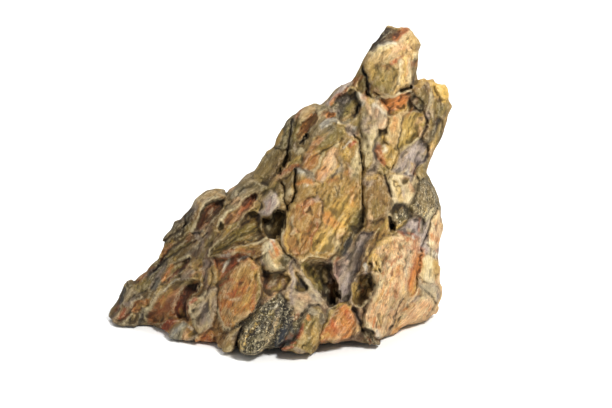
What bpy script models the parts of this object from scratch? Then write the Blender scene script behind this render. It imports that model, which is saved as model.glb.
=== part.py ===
"""Dragon stone: one clay stone of scooped, leaf-shaped cells that stands on a flat spot.

The stone is modelled as a solid field. A wedge between a front and a back surface fills the stone's
outline, the cells of its face are raised on it or scooped out of it, and smaller cells of the same kind
cover its back and sides. Geometry Nodes then turn the field into one closed mesh.
"""

import itertools
import math
from dataclasses import dataclass

import bmesh
import bpy
import numpy as np

STONE_NAME = "dragon_stone"

# One seed for each thing that is drawn at random.
FACE_WANDER_SEED = 11
BACK_CELL_SEED = 12
FLANK_CELL_SEED = 13
SIDE_WAVE_SEED = 14
BACK_WANDER_SEED = 31
GRAIN_SEED = 41
FOOT_SEED = 51
LEDGE_SEED = 61
FINER_SEED_STEP = 10
NOISE_SIDE = 32

# The view that the outline and the cells are given in: a plane upright to the line of sight, in
# photograph pixels, a pixel being this long on the stone at the target.
PIXEL = 0.0008
PLANE_CENTRE = (306.0, 204.0)
VIEW_ELEVATION = math.radians(15.0)
VIEW_DISTANCE = 1.6
VIEW_TARGET = np.array([0.0231, -0.00735, 0.1075])

# Real sizes, in metres.
BLOCK_LOW = np.array([-0.146, -0.105, -0.006])
BLOCK_HIGH = np.array([0.148, 0.090, 0.264])
VOXEL = 0.003
FLANK_TAPER = 0.30
WIDEST_SHARE = 0.35
EDGE_ROUNDING = 0.009
FOOT_PATCH = (0.062, 0.040)
FOOT_RECESS = 0.003
FOOT_ROUNDING = 0.004
FOOT_SNAP = 0.0009
FOOT_RISE_SHARE = 0.5
FOOT_ROUGHNESS = 0.4
FOOT_CELL = 0.022
FOOT_NOISE_START = 9.0
TRIANGLES = 9600

# The clay's grain runs up to the right. Noise cells are longer along it than across it.
GRAIN_LEAN = math.radians(60.0)
GRAIN_CELLS = ((0.030, 0.009, 0.014, 0.0011), (0.013, 0.0045, 0.008, 0.0006))
SIDE_LEDGES = ((0.052, 0.019, 0.024, 0.0060), (0.026, 0.010, 0.016, 0.0025))
GRAIN_NOISE_START = 40.0
BAND = 0.009
FRONT_FADE = 0.010
GROUND_FADE = 0.006
LEDGE_START = 0.004
LEDGE_FADE = 0.012

# The part of the view plane that holds the stone, in pixels, and how far the cells' edges wander.
PLANE_LOW = (90, 10)
PLANE_HIGH = (470, 380)
MAP_MARGIN = 9
WANDER = 1.92
WANDER_LENGTH = 14.0
WANDER_FINER = 2.7
WANDER_FINE_SHARE = 0.5

# The smooth surfaces run through points given in pixels, with a little slack.
SPLINE_UNIT = 100.0
SPLINE_SLACK = 0.002

# How a cell or a groove shapes the face round its line, in pixels, and a millimetre in metres.
CELL_OVERLAP = 0.8
EASY_SIDE = 1.8
STEEP_SIDE = 0.4
MIDDLE_SIZE = 4.0
STEPPED_REACH = 3.6
LEVEL_START = 1.5
LEVEL_REACH = 3.0
RIM_PLACE = 1.4
RIM_WIDTH = 1.5
GROOVE_SHARE = 0.55
CORNER_CUT = 0.25
MILLIMETRE = 0.001

# The back's cells: rows and places along the grain, sizes in pixels, and rises in millimetres.
BACK_ROWS = range(-9, 10)
BACK_PLACES = range(-5, 6)
BACK_PITCH = (50.0, 23.0)
BACK_SHIFT = (9, 4)
BACK_LEAN = 0.25
BACK_LENGTH = (36, 62)
BACK_WIDTH = (17, 27)
BACK_SCOOP = (-7.5, -3.0)
BACK_PLATE = (2.0, 5.0)
BACK_TILT = 0.12
BACK_REACH = (3.0, 7.0)
BACK_RIM = 0.8
LEAF_CORNERS = 14
LEAF_POINT = 0.4

# The sides draw in from the outline by up to about this many pixels, in ledges and scoops.
SIDE_WANDER = 6.0
SIDE_WANDER_DEPTH = 0.030
SIDE_WAVE_LENGTH = 0.070
SIDE_WAVES = 7
SIDE_WAVE_SPREAD = (0.8, 1.6, 0.8)
FLANK_CELLS = 76
FLANK_CELL_LOWEST = 0.034
FLANK_CELL_SIZE = (0.024, 0.0090, 0.014)
FLANK_CELL_SCALE = (0.7, 1.25)
FLANK_CELL_SHIFT = 2
FLANK_CELL_FOREMOST = 0.63
FLANK_CELL_LEAN = 0.3
FLANK_CELL_YAW = 0.5
FLANK_CELL_ROUNDING = 0.002
FLANK_CELL_BOX = 1.3

CLAY_COLOUR = (0.33, 0.20, 0.095, 1.0)
CLAY_ROUGHNESS = 0.86

OUTLINE = [
    (108, 330), (109, 317), (112, 309), (119, 299), (123, 288), (127, 281), (131, 281), (135, 283),
    (139, 278), (148, 273), (152, 265), (157, 260), (160, 250), (162, 246), (160, 240), (164, 233),
    (170, 229), (174, 222), (180, 220), (184, 215), (190, 210), (194, 202), (200, 196), (208, 191),
    (216, 190), (224, 191), (226, 196), (230, 190), (238, 185), (244, 178), (251, 174), (258, 161),
    (265, 151), (273, 146), (275, 138), (281, 129), (290, 119), (297, 114), (300, 111), (306, 107),
    (314, 104), (320, 106), (328, 99), (335, 90), (341, 84), (349, 80), (356, 73), (363, 62),
    (369, 51), (371, 46), (375, 39), (381, 31), (388, 26), (395, 28), (401, 28), (409, 28),
    (414, 30), (419, 36), (422, 45), (418, 51), (418, 60), (416, 72), (417, 82), (424, 79),
    (433, 80), (436, 84), (443, 82), (448, 88), (448, 99), (451, 107), (449, 113), (445, 123),
    (440, 137), (434, 149), (429, 161), (425, 172), (431, 183), (436, 195), (440, 209), (442, 226),
    (440, 242), (438, 257), (439, 271), (441, 287), (440, 300), (437, 309), (433, 318), (426, 325),
    (416, 330), (406, 335), (398, 344), (391, 352), (382, 358), (370, 357), (358, 355), (338, 357),
    (328, 355), (320, 354), (318, 361), (310, 366), (302, 364), (290, 361), (280, 361), (265, 365),
    (250, 364), (231, 363), (216, 361), (214, 355), (202, 354), (187, 355), (173, 353), (163, 350),
    (157, 343), (151, 338), (141, 340), (129, 338), (119, 338), (112, 336),
]

# Points of the front and back surfaces: where they are in the view, and how far back, in metres.
FRONT_POINTS = [
    (110, 322, 0.016), (130, 328, 0.010), (152, 326, 0.008), (164, 338, -0.018), (187, 345, -0.034),
    (214, 345, -0.042), (232, 354, -0.066), (265, 357, -0.074), (290, 354, -0.068), (310, 357, -0.075),
    (340, 350, -0.052), (370, 349, -0.050), (386, 346, -0.042), (404, 328, -0.010), (424, 318, 0.008),
    (128, 290, 0.018), (150, 300, 0.000), (160, 262, 0.018), (175, 238, 0.014), (190, 250, 0.002),
    (205, 202, 0.012), (172, 302, -0.014), (215, 262, -0.014), (240, 293, -0.042), (238, 240, -0.022),
    (235, 210, -0.006), (250, 184, 0.008), (270, 225, -0.024), (275, 255, -0.042), (270, 160, 0.010),
    (290, 130, 0.008), (300, 330, -0.068), (262, 322, -0.064), (320, 285, -0.048), (300, 220, -0.040),
    (330, 230, -0.040), (310, 160, -0.016), (345, 160, -0.024), (340, 110, -0.004), (374, 200, -0.030),
    (370, 250, -0.038), (348, 262, -0.036), (392, 290, -0.046), (365, 345, -0.049), (335, 325, -0.053),
    (420, 290, -0.018), (437, 285, 0.008), (437, 225, 0.010), (418, 200, -0.012), (400, 215, -0.022),
    (395, 130, -0.016), (412, 128, -0.012), (430, 110, -0.002), (446, 105, 0.012), (390, 62, -0.010),
    (416, 48, 0.004), (382, 30, 0.010), (360, 76, 0.008),
]
BACK_POINTS = [
    (110, 322, 0.050), (135, 290, 0.052), (160, 245, 0.050), (200, 200, 0.052), (260, 160, 0.050),
    (200, 300, 0.072), (250, 250, 0.076), (300, 120, 0.048), (300, 300, 0.084), (320, 200, 0.076),
    (360, 80, 0.042), (380, 140, 0.056), (390, 30, 0.036), (415, 50, 0.034), (380, 250, 0.082),
    (380, 340, 0.084), (445, 100, 0.040), (430, 170, 0.052), (438, 240, 0.062), (436, 300, 0.066),
]

# The face's cells, from the largest to the smallest hollows: name, rise in millimetres, how many pixels
# the rise takes from the edge, rim in millimetres, tilt in millimetres a pixel across and down, whether
# the cell levels what is under it, and its outline.
CELLS = [
    ("big_slab", 7.0, 4.0, 0.0, (0.03, 0.03), False,
     [(352, 134), (357, 140), (360, 155), (362, 175), (362, 195), (361, 208), (356, 218), (350, 226),
      (345, 233), (340, 240), (336, 248), (331, 255), (326, 259), (318, 258), (308, 260), (301, 266),
      (293, 256), (283, 252), (281, 243), (282, 232), (284, 222), (287, 212), (291, 204), (294, 195),
      (296, 185), (297, 175), (303, 165), (304, 155), (310, 146), (318, 138), (330, 130), (342, 126)]),
    ("peach_slab", 7.0, 4.0, 0.8, (-0.1, 0.03), False,
     [(392, 234), (382, 240), (376, 247), (368, 255), (364, 262), (366, 272), (373, 279), (374, 287),
      (370, 297), (366, 307), (363, 317), (365, 325), (369, 329), (375, 331), (377, 337), (382, 338),
      (387, 334), (390, 327), (393, 318), (396, 310), (400, 303), (404, 296), (408, 289), (409, 279),
      (412, 269), (415, 258), (418, 248), (418, 239), (411, 235), (403, 232)]),
    ("top_block", 6.0, 3.0, 0.6, (-0.12, 0.04), False,
     [(364, 66), (366, 60), (370, 53), (374, 47), (380, 42), (389, 41), (394, 41), (398, 37),
      (403, 32), (409, 28), (416, 30), (419, 35), (423, 46), (421, 49), (417, 54), (413, 60),
      (411, 74), (411, 84), (405, 88), (400, 89), (397, 93), (392, 96), (385, 97), (377, 95),
      (373, 89), (368, 80), (366, 72)]),
    ("column", 6.0, 8.0, 0.6, (-0.12, 0.06), False,
     [(364, 176), (368, 170), (374, 171), (382, 173), (386, 176), (388, 183), (389, 190), (391, 197),
      (391, 204), (388, 212), (384, 216), (377, 221), (371, 223), (366, 221), (364, 212), (364, 199),
      (363, 186)]),
    ("orange_leaf", 6.0, 5.0, 1.0, (0.09, 0.05), False,
     [(249, 256), (244, 260), (237, 265), (230, 272), (225, 280), (220, 289), (217, 298), (216, 309),
      (217, 320), (222, 328), (231, 330), (240, 322), (248, 315), (255, 308), (260, 298), (263, 286),
      (262, 274), (257, 264)]),
    ("dark_slab", 6.0, 4.0, 0.0, (-0.08, 0.07), False,
     [(276, 292), (270, 297), (262, 304), (256, 310), (253, 317), (246, 323), (242, 329), (241, 341),
      (239, 352), (246, 357), (256, 356), (265, 351), (270, 341), (275, 333), (280, 324), (282, 315),
      (284, 303), (282, 297)]),
    ("foot_slab", 8.0, 4.0, 0.6, (-0.1, 0.05), False,
     [(307, 306), (318, 305), (324, 309), (326, 317), (323, 324), (319, 334), (319, 345), (317, 354),
      (310, 360), (300, 357), (292, 353), (281, 352), (286, 347), (294, 339), (298, 332), (301, 322),
      (305, 314)]),
    ("orange_triangle", 5.0, 3.0, 0.0, (-0.1, 0.06), False,
     [(345, 302), (339, 306), (333, 310), (330, 311), (327, 318), (324, 323), (322, 329), (319, 335),
      (319, 346), (325, 343), (330, 341), (333, 344), (341, 341), (350, 340), (354, 332), (357, 327),
      (356, 318), (353, 311), (350, 306)]),
    ("tan_lump", 5.0, 7.0, 0.0, (0.0, 0.08), False,
     [(217, 345), (221, 339), (227, 332), (236, 329), (241, 327), (239, 339), (234, 345), (233, 352),
      (232, 357), (222, 355), (215, 352)]),
    ("speckled_plate", 5.0, 3.0, 0.6, (-0.15, 0.05), False,
     [(423, 178), (428, 180), (431, 185), (434, 193), (437, 200), (437, 208), (434, 215), (430, 220),
      (426, 222), (421, 218), (416, 214), (412, 210), (412, 204), (414, 197), (416, 190), (416, 184)]),
    ("knob", 7.5, 9.0, 0.0, (0.0, 0.0), False,
     [(267, 239), (274, 239), (280, 245), (282, 252), (288, 253), (292, 258), (291, 266), (287, 271),
      (280, 271), (274, 270), (268, 266), (265, 260), (264, 254), (265, 248)]),
    ("lump_over_cave", 6.0, 8.0, 0.0, (0.0, 0.0), False,
     [(270, 188), (265, 197), (261, 204), (260, 212), (264, 216), (270, 216), (276, 210), (282, 206),
      (280, 199), (275, 194)]),
    ("hood_cap", 4.0, 4.0, 0.0, (-0.05, -0.1), False,
     [(190, 214), (193, 204), (200, 196), (208, 191), (216, 190), (224, 191), (226, 196), (216, 199),
      (208, 204), (200, 212), (194, 224)]),
    ("pale_ridge", 4.0, 6.0, 0.0, (0.1, 0.08), False,
     [(218, 285), (210, 287), (203, 293), (199, 300), (194, 312), (193, 322), (197, 330), (203, 335),
      (210, 330), (214, 318), (215, 305), (218, 295)]),
    ("red_nub", 5.0, 5.0, 0.0, (0.0, 0.0), False,
     [(198, 297), (192, 298), (187, 301), (184, 305), (187, 310), (192, 318), (200, 315), (205, 302),
      (203, 296)]),
    ("ochre_nub", 4.0, 3.0, 0.0, (0.0, 0.0), False,
     [(199, 283), (195, 289), (196, 293), (201, 291), (202, 284)]),
    ("tip_lump", 3.0, 5.0, 0.0, (0.0, 0.08), False,
     [(110, 322), (113, 308), (120, 297), (128, 283), (136, 290), (148, 300), (143, 316), (138, 328),
      (120, 328)]),
    ("flank_ridge", 2.5, 6.0, 0.0, (0.1, 0.0), False,
     [(160, 240), (165, 233), (172, 226), (182, 220), (190, 212), (196, 205), (194, 222), (190, 236),
      (180, 248), (168, 252), (160, 250)]),
    ("striated_ledge", 3.5, 5.0, 0.0, (0.03, 0.15), False,
     [(215, 257), (222, 252), (235, 246), (250, 243), (262, 241), (268, 240), (268, 248), (262, 256),
      (255, 258), (248, 256), (240, 255), (228, 258), (218, 259)]),
    ("khaki_flank", 2.0, 5.0, 0.0, (0.1, -0.05), False,
     [(251, 174), (258, 161), (265, 151), (273, 147), (280, 152), (281, 162), (277, 172), (270, 178),
      (262, 184), (254, 186)]),
    ("grey_flank", 2.0, 5.0, 0.0, (0.1, -0.05), False,
     [(228, 196), (238, 186), (250, 176), (262, 185), (268, 188), (262, 194), (257, 192), (250, 194),
      (240, 202), (230, 208), (226, 205)]),
    ("dark_flank", 2.5, 5.0, 0.0, (-0.15, 0.0), False,
     [(281, 130), (290, 120), (297, 114), (300, 118), (296, 130), (290, 145), (284, 150), (276, 150),
      (274, 140)]),
    ("rust_ridge", 3.0, 3.0, 0.0, (0.0, 0.1), False,
     [(278, 177), (290, 168), (300, 160), (304, 164), (296, 171), (286, 177), (280, 181)]),
    ("tan_knuckle", 4.0, 4.0, 0.0, (0.0, 0.0), False,
     [(300, 110), (306, 106), (314, 105), (319, 108), (316, 114), (308, 120), (300, 127), (298, 118)]),
    ("khaki_face", 1.5, 3.0, 0.0, (-0.05, -0.08), False,
     [(318, 122), (330, 118), (338, 118), (338, 124), (336, 140), (328, 145), (318, 147), (308, 145),
      (310, 136), (315, 128)]),
    ("rust_face", 1.2, 3.0, 0.0, (-0.1, 0.0), False,
     [(304, 155), (310, 147), (318, 146), (323, 152), (320, 162), (312, 172), (304, 170), (302, 164)]),
    ("peach_patch", 1.0, 3.0, 0.0, (0.08, 0.0), False,
     [(322, 160), (330, 150), (335, 155), (338, 165), (333, 175), (325, 180), (316, 180), (314, 175),
      (318, 168)]),
    ("mottled_face", 1.0, 3.0, 0.0, (0.0, 0.0), False,
     [(297, 176), (303, 171), (312, 174), (316, 180), (322, 184), (318, 194), (308, 198), (296, 202),
      (293, 198), (296, 188)]),
    ("rust_plate", 1.6, 5.0, 0.0, (0.09, -0.01), False,
     [(295, 203), (300, 200), (310, 199), (318, 198), (322, 202), (323, 212), (320, 218), (317, 226),
      (314, 234), (310, 243), (307, 252), (300, 255), (292, 252), (284, 250), (282, 240), (284, 226),
      (287, 214), (291, 206)]),
    ("golden_bowl", -2.5, 11.0, 0.0, (0.0, 0.0), False,
     [(322, 205), (330, 200), (340, 196), (350, 192), (359, 194), (360, 205), (354, 217), (346, 226),
      (338, 236), (333, 246), (326, 253), (315, 254), (309, 250), (313, 240), (318, 228), (322, 216)]),
    ("khaki_bump", 4.0, 5.0, 0.0, (0.0, 0.0), False,
     [(363, 132), (372, 128), (378, 135), (372, 148), (376, 160), (372, 168), (366, 170), (362, 160),
      (360, 145)]),
    ("olive_bump", 3.0, 4.0, 0.0, (0.0, 0.0), False,
     [(374, 162), (382, 160), (388, 166), (388, 174), (380, 172), (374, 170)]),
    ("pale_shoulder", 3.5, 4.0, 0.0, (0.0, 0.0), False,
     [(362, 98), (372, 94), (380, 98), (386, 108), (387, 118), (386, 130), (380, 128), (376, 136),
      (370, 148), (365, 140), (362, 125), (360, 110)]),
    ("ochre_column", 3.0, 4.0, 0.0, (-0.1, 0.0), False,
     [(387, 112), (396, 108), (401, 113), (401, 128), (398, 142), (396, 148), (390, 143), (384, 140),
      (387, 133), (388, 122)]),
    ("pitted_nodule", 3.0, 4.0, 0.0, (0.1, 0.0), False,
     [(377, 148), (384, 144), (392, 143), (396, 148), (400, 153), (397, 160), (391, 166), (386, 164),
      (380, 158), (377, 153)]),
    ("cream_field", 2.5, 3.0, 0.0, (0.0, -0.08), False,
     [(391, 174), (400, 172), (408, 177), (411, 184), (414, 192), (411, 200), (408, 206), (404, 203),
      (397, 203), (393, 206), (392, 198), (390, 190), (388, 182)]),
    ("small_khaki", 2.0, 3.0, 0.0, (0.0, 0.0), False,
     [(416, 168), (421, 163), (425, 160), (426, 172), (426, 177), (420, 178), (416, 176)]),
    ("horn_rough", 3.0, 3.0, 0.0, (-0.1, 0.0), False,
     [(417, 84), (424, 80), (430, 84), (432, 96), (428, 112), (424, 110), (418, 108), (412, 105),
      (408, 100), (412, 92)]),
    ("horn_gold", 3.0, 3.0, 0.0, (-0.1, 0.0), False,
     [(433, 81), (442, 83), (448, 90), (448, 99), (441, 98), (437, 92)]),
    ("horn_tip", 2.0, 3.0, 0.0, (0.0, 0.0), False,
     [(437, 98), (446, 100), (451, 107), (449, 113), (444, 122), (438, 115), (435, 108)]),
    ("horn_dark", -1.0, 3.0, 0.0, (-0.3, 0.0), False,
     [(428, 140), (432, 122), (438, 116), (445, 122), (440, 137), (434, 149), (430, 158), (427, 150)]),
    ("edge_strip", 2.0, 3.0, 0.0, (-0.15, 0.0), False,
     [(430, 222), (434, 215), (438, 208), (441, 215), (443, 228), (441, 243), (434, 250), (427, 245),
      (428, 235)]),
    ("ochre_panel", 2.5, 3.0, 0.0, (-0.1, 0.05), False,
     [(418, 255), (425, 252), (432, 255), (440, 262), (440, 275), (436, 282), (425, 283), (420, 278),
      (418, 268)]),
    ("peach_facet", 2.5, 2.5, 0.0, (-0.08, -0.05), False,
     [(414, 300), (424, 295), (434, 300), (432, 311), (426, 320), (412, 324), (402, 329), (395, 330),
      (400, 318), (408, 308)]),
    ("foot_knob", 3.0, 4.0, 0.0, (0.0, 0.08), False,
     [(363, 328), (370, 328), (374, 332), (377, 338), (382, 345), (380, 351), (372, 350), (366, 342),
      (362, 335)]),
    ("sage_facet", 2.0, 2.5, 0.0, (-0.1, 0.08), False,
     [(187, 322), (179, 323), (174, 327), (170, 334), (165, 340), (174, 344), (181, 343), (185, 334),
      (187, 328)]),
    ("rust_toe", 1.5, 3.0, 0.0, (0.0, 0.08), False,
     [(188, 322), (192, 325), (197, 333), (203, 336), (198, 342), (190, 346), (182, 345), (185, 335)]),
    ("clay_channel", -7.0, 3.0, 0.0, (0.12, -0.02), True,
     [(361, 230), (368, 232), (377, 231), (373, 236), (368, 242), (364, 247), (361, 255), (358, 262),
      (357, 269), (354, 277), (351, 285), (350, 293), (348, 301), (340, 303), (337, 296), (336, 285),
      (333, 277), (331, 272), (333, 270), (338, 261), (345, 254), (351, 247), (355, 239), (359, 233)]),
    ("clay_saddle", -4.0, 3.0, 0.0, (-0.1, 0.05), True,
     [(422, 135), (428, 143), (429, 148), (427, 154), (424, 161), (420, 163), (416, 167), (415, 170),
      (413, 176), (411, 184), (408, 176), (403, 174), (399, 172), (393, 170), (398, 162), (401, 154),
      (406, 149), (410, 145), (417, 140)]),
    ("clay_fill", 1.0, 3.0, 0.0, (0.0, 0.0), False,
     [(284, 290), (292, 288), (300, 293), (310, 290), (320, 300), (318, 304), (308, 304), (303, 310),
      (296, 318), (291, 306), (287, 300)]),
    ("clay_strip", -2.0, 3.0, 0.0, (0.0, 0.0), False,
     [(394, 231), (401, 228), (408, 222), (414, 217), (420, 221), (418, 230), (412, 235), (402, 232)]),
    ("clay_foot", -3.0, 3.0, 0.0, (0.0, 0.0), False,
     [(319, 347), (329, 341), (340, 341), (352, 341), (365, 346), (371, 351), (338, 351)]),
    ("clay_wall", 1.0, 3.0, 0.0, (0.2, 0.0), False,
     [(202, 260), (215, 258), (218, 270), (216, 285), (205, 290), (201, 280), (203, 270)]),
    ("clay_mottle", -0.5, 4.0, 0.0, (0.0, 0.0), False,
     [(194, 230), (205, 226), (213, 228), (215, 236), (210, 248), (208, 258), (196, 258), (188, 254),
      (196, 246), (203, 238)]),
    ("edge_clay", 1.0, 3.0, 0.0, (0.0, -0.1), False,
     [(328, 100), (335, 91), (341, 85), (349, 81), (352, 84), (345, 90), (338, 97), (332, 104),
      (324, 107)]),
    ("corner_clay", 0.0, 3.0, 0.0, (0.0, 0.0), False,
     [(420, 284), (436, 283), (441, 290), (439, 300), (430, 296), (422, 292)]),
    ("blue_streak", -2.0, 3.0, 0.0, (0.0, 0.0), False,
     [(166, 258), (160, 266), (155, 275), (150, 288), (153, 292), (160, 280), (165, 270), (169, 262)]),
    ("arch_cave", -19.0, 4.0, 1.0, (-0.5, -0.22), False,
     [(318, 260), (324, 261), (330, 264), (331, 270), (334, 277), (337, 285), (337, 295), (336, 303),
      (331, 308), (325, 300), (318, 290), (308, 278), (303, 269), (309, 262)]),
    ("oval_cave", -13.0, 7.0, 1.0, (-0.35, 0.0), False,
     [(360, 274), (356, 279), (353, 285), (350, 292), (350, 297), (353, 304), (358, 308), (365, 302),
      (368, 297), (369, 292), (373, 286), (374, 281), (371, 275), (369, 272), (365, 274)]),
    ("square_cave", -17.0, 4.0, 0.8, (-0.4, 0.0), False,
     [(261, 216), (267, 217), (271, 216), (275, 211), (280, 210), (286, 212), (285, 219), (283, 227),
      (281, 236), (279, 240), (272, 240), (266, 239), (262, 234), (261, 225)]),
    ("olive_fan", -6.0, 6.0, 1.2, (-0.1, 0.02), False,
     [(210, 258), (210, 253), (215, 246), (219, 241), (225, 237), (232, 232), (239, 226), (242, 219),
      (248, 213), (254, 212), (261, 215), (260, 223), (261, 232), (265, 239), (258, 242), (251, 242),
      (244, 245), (235, 246), (228, 249), (222, 252), (216, 255)]),
    ("red_slot", -3.5, 4.0, 0.9, (-0.06, 0.04), False,
     [(257, 193), (258, 198), (254, 202), (251, 208), (246, 212), (240, 216), (237, 221), (232, 223),
      (227, 225), (223, 225), (224, 221), (228, 215), (234, 209), (241, 203), (246, 198), (252, 194)]),
    ("green_pit", -4.0, 2.0, 0.0, (0.0, 0.0), False,
     [(218, 222), (221, 221), (224, 226), (223, 229), (219, 230), (217, 227)]),
    ("hood_scoop", -5.0, 6.0, 0.6, (-0.08, -0.05), False,
     [(225, 197), (216, 200), (208, 204), (203, 210), (199, 215), (196, 222), (194, 231), (200, 227),
      (207, 222), (213, 218), (218, 214), (222, 209), (224, 203)]),
    ("leaf_scoop", -4.0, 4.0, 0.8, (-0.06, 0.02), False,
     [(190, 257), (189, 263), (184, 269), (178, 273), (173, 275), (168, 280), (163, 281), (160, 278),
      (165, 271), (171, 265), (177, 261), (183, 259)]),
    ("red_bowl", -5.0, 7.0, 0.9, (-0.05, 0.0), False,
     [(200, 281), (194, 280), (178, 280), (168, 285), (160, 291), (152, 303), (146, 313), (147, 319),
      (160, 324), (170, 321), (178, 320), (190, 319), (188, 311), (187, 304), (190, 296), (198, 288)]),
    ("red_cave", -6.0, 5.0, 0.0, (-0.2, 0.0), False,
     [(199, 283), (192, 284), (185, 288), (180, 295), (176, 303), (174, 312), (178, 318), (188, 318),
      (188, 311), (186, 304), (189, 296), (196, 291)]),
    ("under_knob", -5.5, 4.0, 0.0, (-0.08, 0.15), False,
     [(262, 262), (266, 269), (274, 273), (284, 274), (289, 276), (288, 284), (284, 292), (270, 297),
      (263, 290), (261, 275)]),
    ("triangle_pocket", -4.0, 3.0, 0.6, (0.0, 0.0), False,
     [(296, 271), (300, 276), (306, 284), (308, 290), (302, 292), (296, 290), (294, 280)]),
    ("blue_scoop", -8.0, 6.0, 0.8, (-0.2, 0.05), False,
     [(357, 91), (348, 91), (342, 95), (338, 100), (335, 105), (336, 110), (338, 115), (339, 121),
      (344, 125), (351, 121), (354, 115), (359, 109), (361, 104), (358, 98)]),
    ("rust_leaf", -3.5, 4.0, 0.8, (0.0, -0.15), False,
     [(318, 113), (319, 119), (313, 127), (306, 136), (299, 140), (297, 138), (301, 130), (308, 121),
      (314, 116)]),
    ("black_slit", -10.0, 1.5, 0.0, (0.0, 0.0), False,
     [(299, 143), (302, 139), (308, 135), (309, 137), (305, 140), (301, 143)]),
    ("flank_slit", -9.0, 2.0, 0.0, (0.0, 0.0), False,
     [(285, 152), (288, 155), (287, 165), (283, 171), (278, 174), (281, 167), (283, 158)]),
    ("yellow_lens", -4.5, 9.0, 1.0, (-0.1, 0.03), False,
     [(403, 114), (411, 111), (421, 112), (427, 119), (426, 126), (421, 133), (413, 140), (407, 145),
      (403, 151), (400, 151), (398, 146), (400, 138), (402, 128), (402, 119)]),
    ("orange_hollow", -3.5, 5.0, 0.5, (0.0, -0.12), False,
     [(379, 103), (384, 98), (392, 97), (401, 95), (407, 93), (411, 93), (408, 98), (406, 103),
      (404, 108), (398, 111), (393, 115), (388, 117), (385, 111), (381, 107)]),
    ("block_crevice", -8.0, 1.5, 0.0, (0.0, 0.0), False,
     [(398, 92), (404, 89), (411, 85), (412, 88), (406, 92), (401, 94)]),
    ("cap_shade", -3.0, 3.0, 0.0, (0.0, 0.0), False,
     [(371, 46), (375, 39), (381, 31), (388, 26), (395, 28), (403, 29), (398, 36), (392, 41),
      (384, 41), (376, 46), (371, 51)]),
    ("block_side", -3.0, 2.5, 0.0, (0.0, 0.0), False,
     [(412, 62), (418, 57), (417, 72), (418, 83), (411, 85), (411, 73)]),
    ("dark_rhombus", -2.0, 2.0, 0.0, (0.0, 0.0), False,
     [(381, 129), (387, 128), (388, 133), (381, 137), (377, 138), (378, 134)]),
    ("nodule_hole", -14.0, 1.5, 0.0, (0.0, 0.0), False,
     [(387, 216), (390, 216), (391, 221), (394, 226), (392, 231), (390, 228), (388, 222)]),
    ("nodule_moat", -1.0, 3.0, 0.0, (0.0, 0.0), False,
     [(392, 207), (399, 203), (404, 203), (410, 208), (412, 214), (414, 217), (410, 219), (408, 223),
      (401, 228), (395, 230), (391, 222), (390, 214)]),
    ("dark_nodule", 3.5, 5.0, 0.0, (0.0, 0.0), False,
     [(394, 210), (399, 206), (404, 206), (408, 211), (409, 217), (406, 221), (401, 225), (396, 227),
      (393, 221), (392, 215)]),
    ("olive_patch", -2.0, 2.0, 0.0, (0.0, 0.0), False,
     [(402, 180), (405, 178), (409, 178), (408, 183), (404, 185), (401, 184)]),
    ("orange_strip", -3.0, 3.0, 0.0, (-0.1, 0.0), False,
     [(419, 250), (421, 262), (418, 275), (418, 290), (414, 297), (408, 298), (406, 290), (409, 278),
      (412, 268), (414, 258)]),
    ("slab_notch", -3.0, 3.0, 0.0, (0.0, 0.0), False,
     [(364, 262), (370, 258), (373, 265), (371, 272), (366, 273)]),
    ("rust_trough", -2.0, 4.0, 0.0, (0.0, 0.1), False,
     [(216, 259), (228, 259), (240, 257), (248, 258), (240, 264), (230, 272), (222, 280), (219, 285),
      (216, 275), (214, 265)]),
    ("tip_streak", -2.0, 3.0, 0.0, (0.0, 0.0), False,
     [(131, 309), (133, 303), (140, 300), (150, 298), (148, 306), (142, 311), (136, 312)]),
    ("red_streak", -2.0, 3.0, 0.0, (0.0, 0.0), False,
     [(159, 330), (166, 322), (176, 319), (172, 326), (168, 334), (164, 340), (159, 335)]),
    ("block_lower", -0.5, 3.5, 0.0, (0.0, 0.08), False,
     [(369, 68), (378, 62), (390, 64), (397, 72), (396, 92), (385, 96), (377, 93), (371, 84)]),
    ("block_right", 1.5, 1.5, 0.0, (-0.15, 0.0), False,
     [(399, 57), (408, 52), (411, 62), (411, 84), (400, 88), (397, 75)]),
    ("block_shoulder", -1.0, 2.0, 0.0, (0.0, 0.0), False,
     [(411, 46), (417, 42), (421, 44), (423, 48), (418, 51), (412, 51)]),
    ("cap_strip", 0.5, 2.0, 0.0, (0.0, 0.0), False,
     [(408, 28), (402, 30), (396, 34), (390, 39), (391, 42), (396, 41), (401, 37), (407, 31)]),
    ("block_shard", 3.0, 2.0, 0.0, (0.0, 0.0), False,
     [(368, 84), (371, 83), (374, 88), (378, 95), (377, 98), (371, 97), (368, 92)]),
    ("block_wedge", 1.0, 3.0, 0.0, (0.1, 0.0), False,
     [(351, 80), (357, 72), (363, 64), (366, 74), (366, 90), (358, 90), (351, 86)]),
    ("orange_lens", -1.5, 2.0, 0.0, (0.0, 0.0), False,
     [(326, 117), (329, 112), (335, 111), (336, 115), (330, 119)]),
    ("horn_shadow", -4.0, 3.0, 0.0, (0.1, 0.0), False,
     [(407, 98), (414, 93), (422, 96), (425, 104), (423, 112), (414, 110), (408, 112), (405, 106)]),
    ("horn_stripe", 1.0, 2.0, 0.0, (-0.2, 0.0), False,
     [(431, 95), (437, 94), (436, 108), (434, 122), (431, 124), (430, 110)]),
    ("knob_moss", -1.5, 2.0, 0.0, (0.0, 0.0), False,
     [(280, 253), (287, 253), (291, 258), (290, 264), (284, 266), (279, 261)]),
    ("rust_heel", 1.5, 3.0, 0.0, (0.0, 0.0), False,
     [(196, 334), (204, 330), (212, 331), (217, 338), (214, 345), (200, 346), (192, 345)]),
    ("cave_fold", 3.0, 3.0, 0.0, (0.0, 0.0), False,
     [(322, 270), (326, 267), (329, 276), (328, 285), (324, 284)]),
    ("blue_black_facet", 1.0, 2.5, 0.0, (0.0, 0.0), False,
     [(276, 338), (279, 331), (285, 326), (291, 325), (293, 331), (291, 340), (288, 347), (281, 350),
      (275, 347)]),
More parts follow.
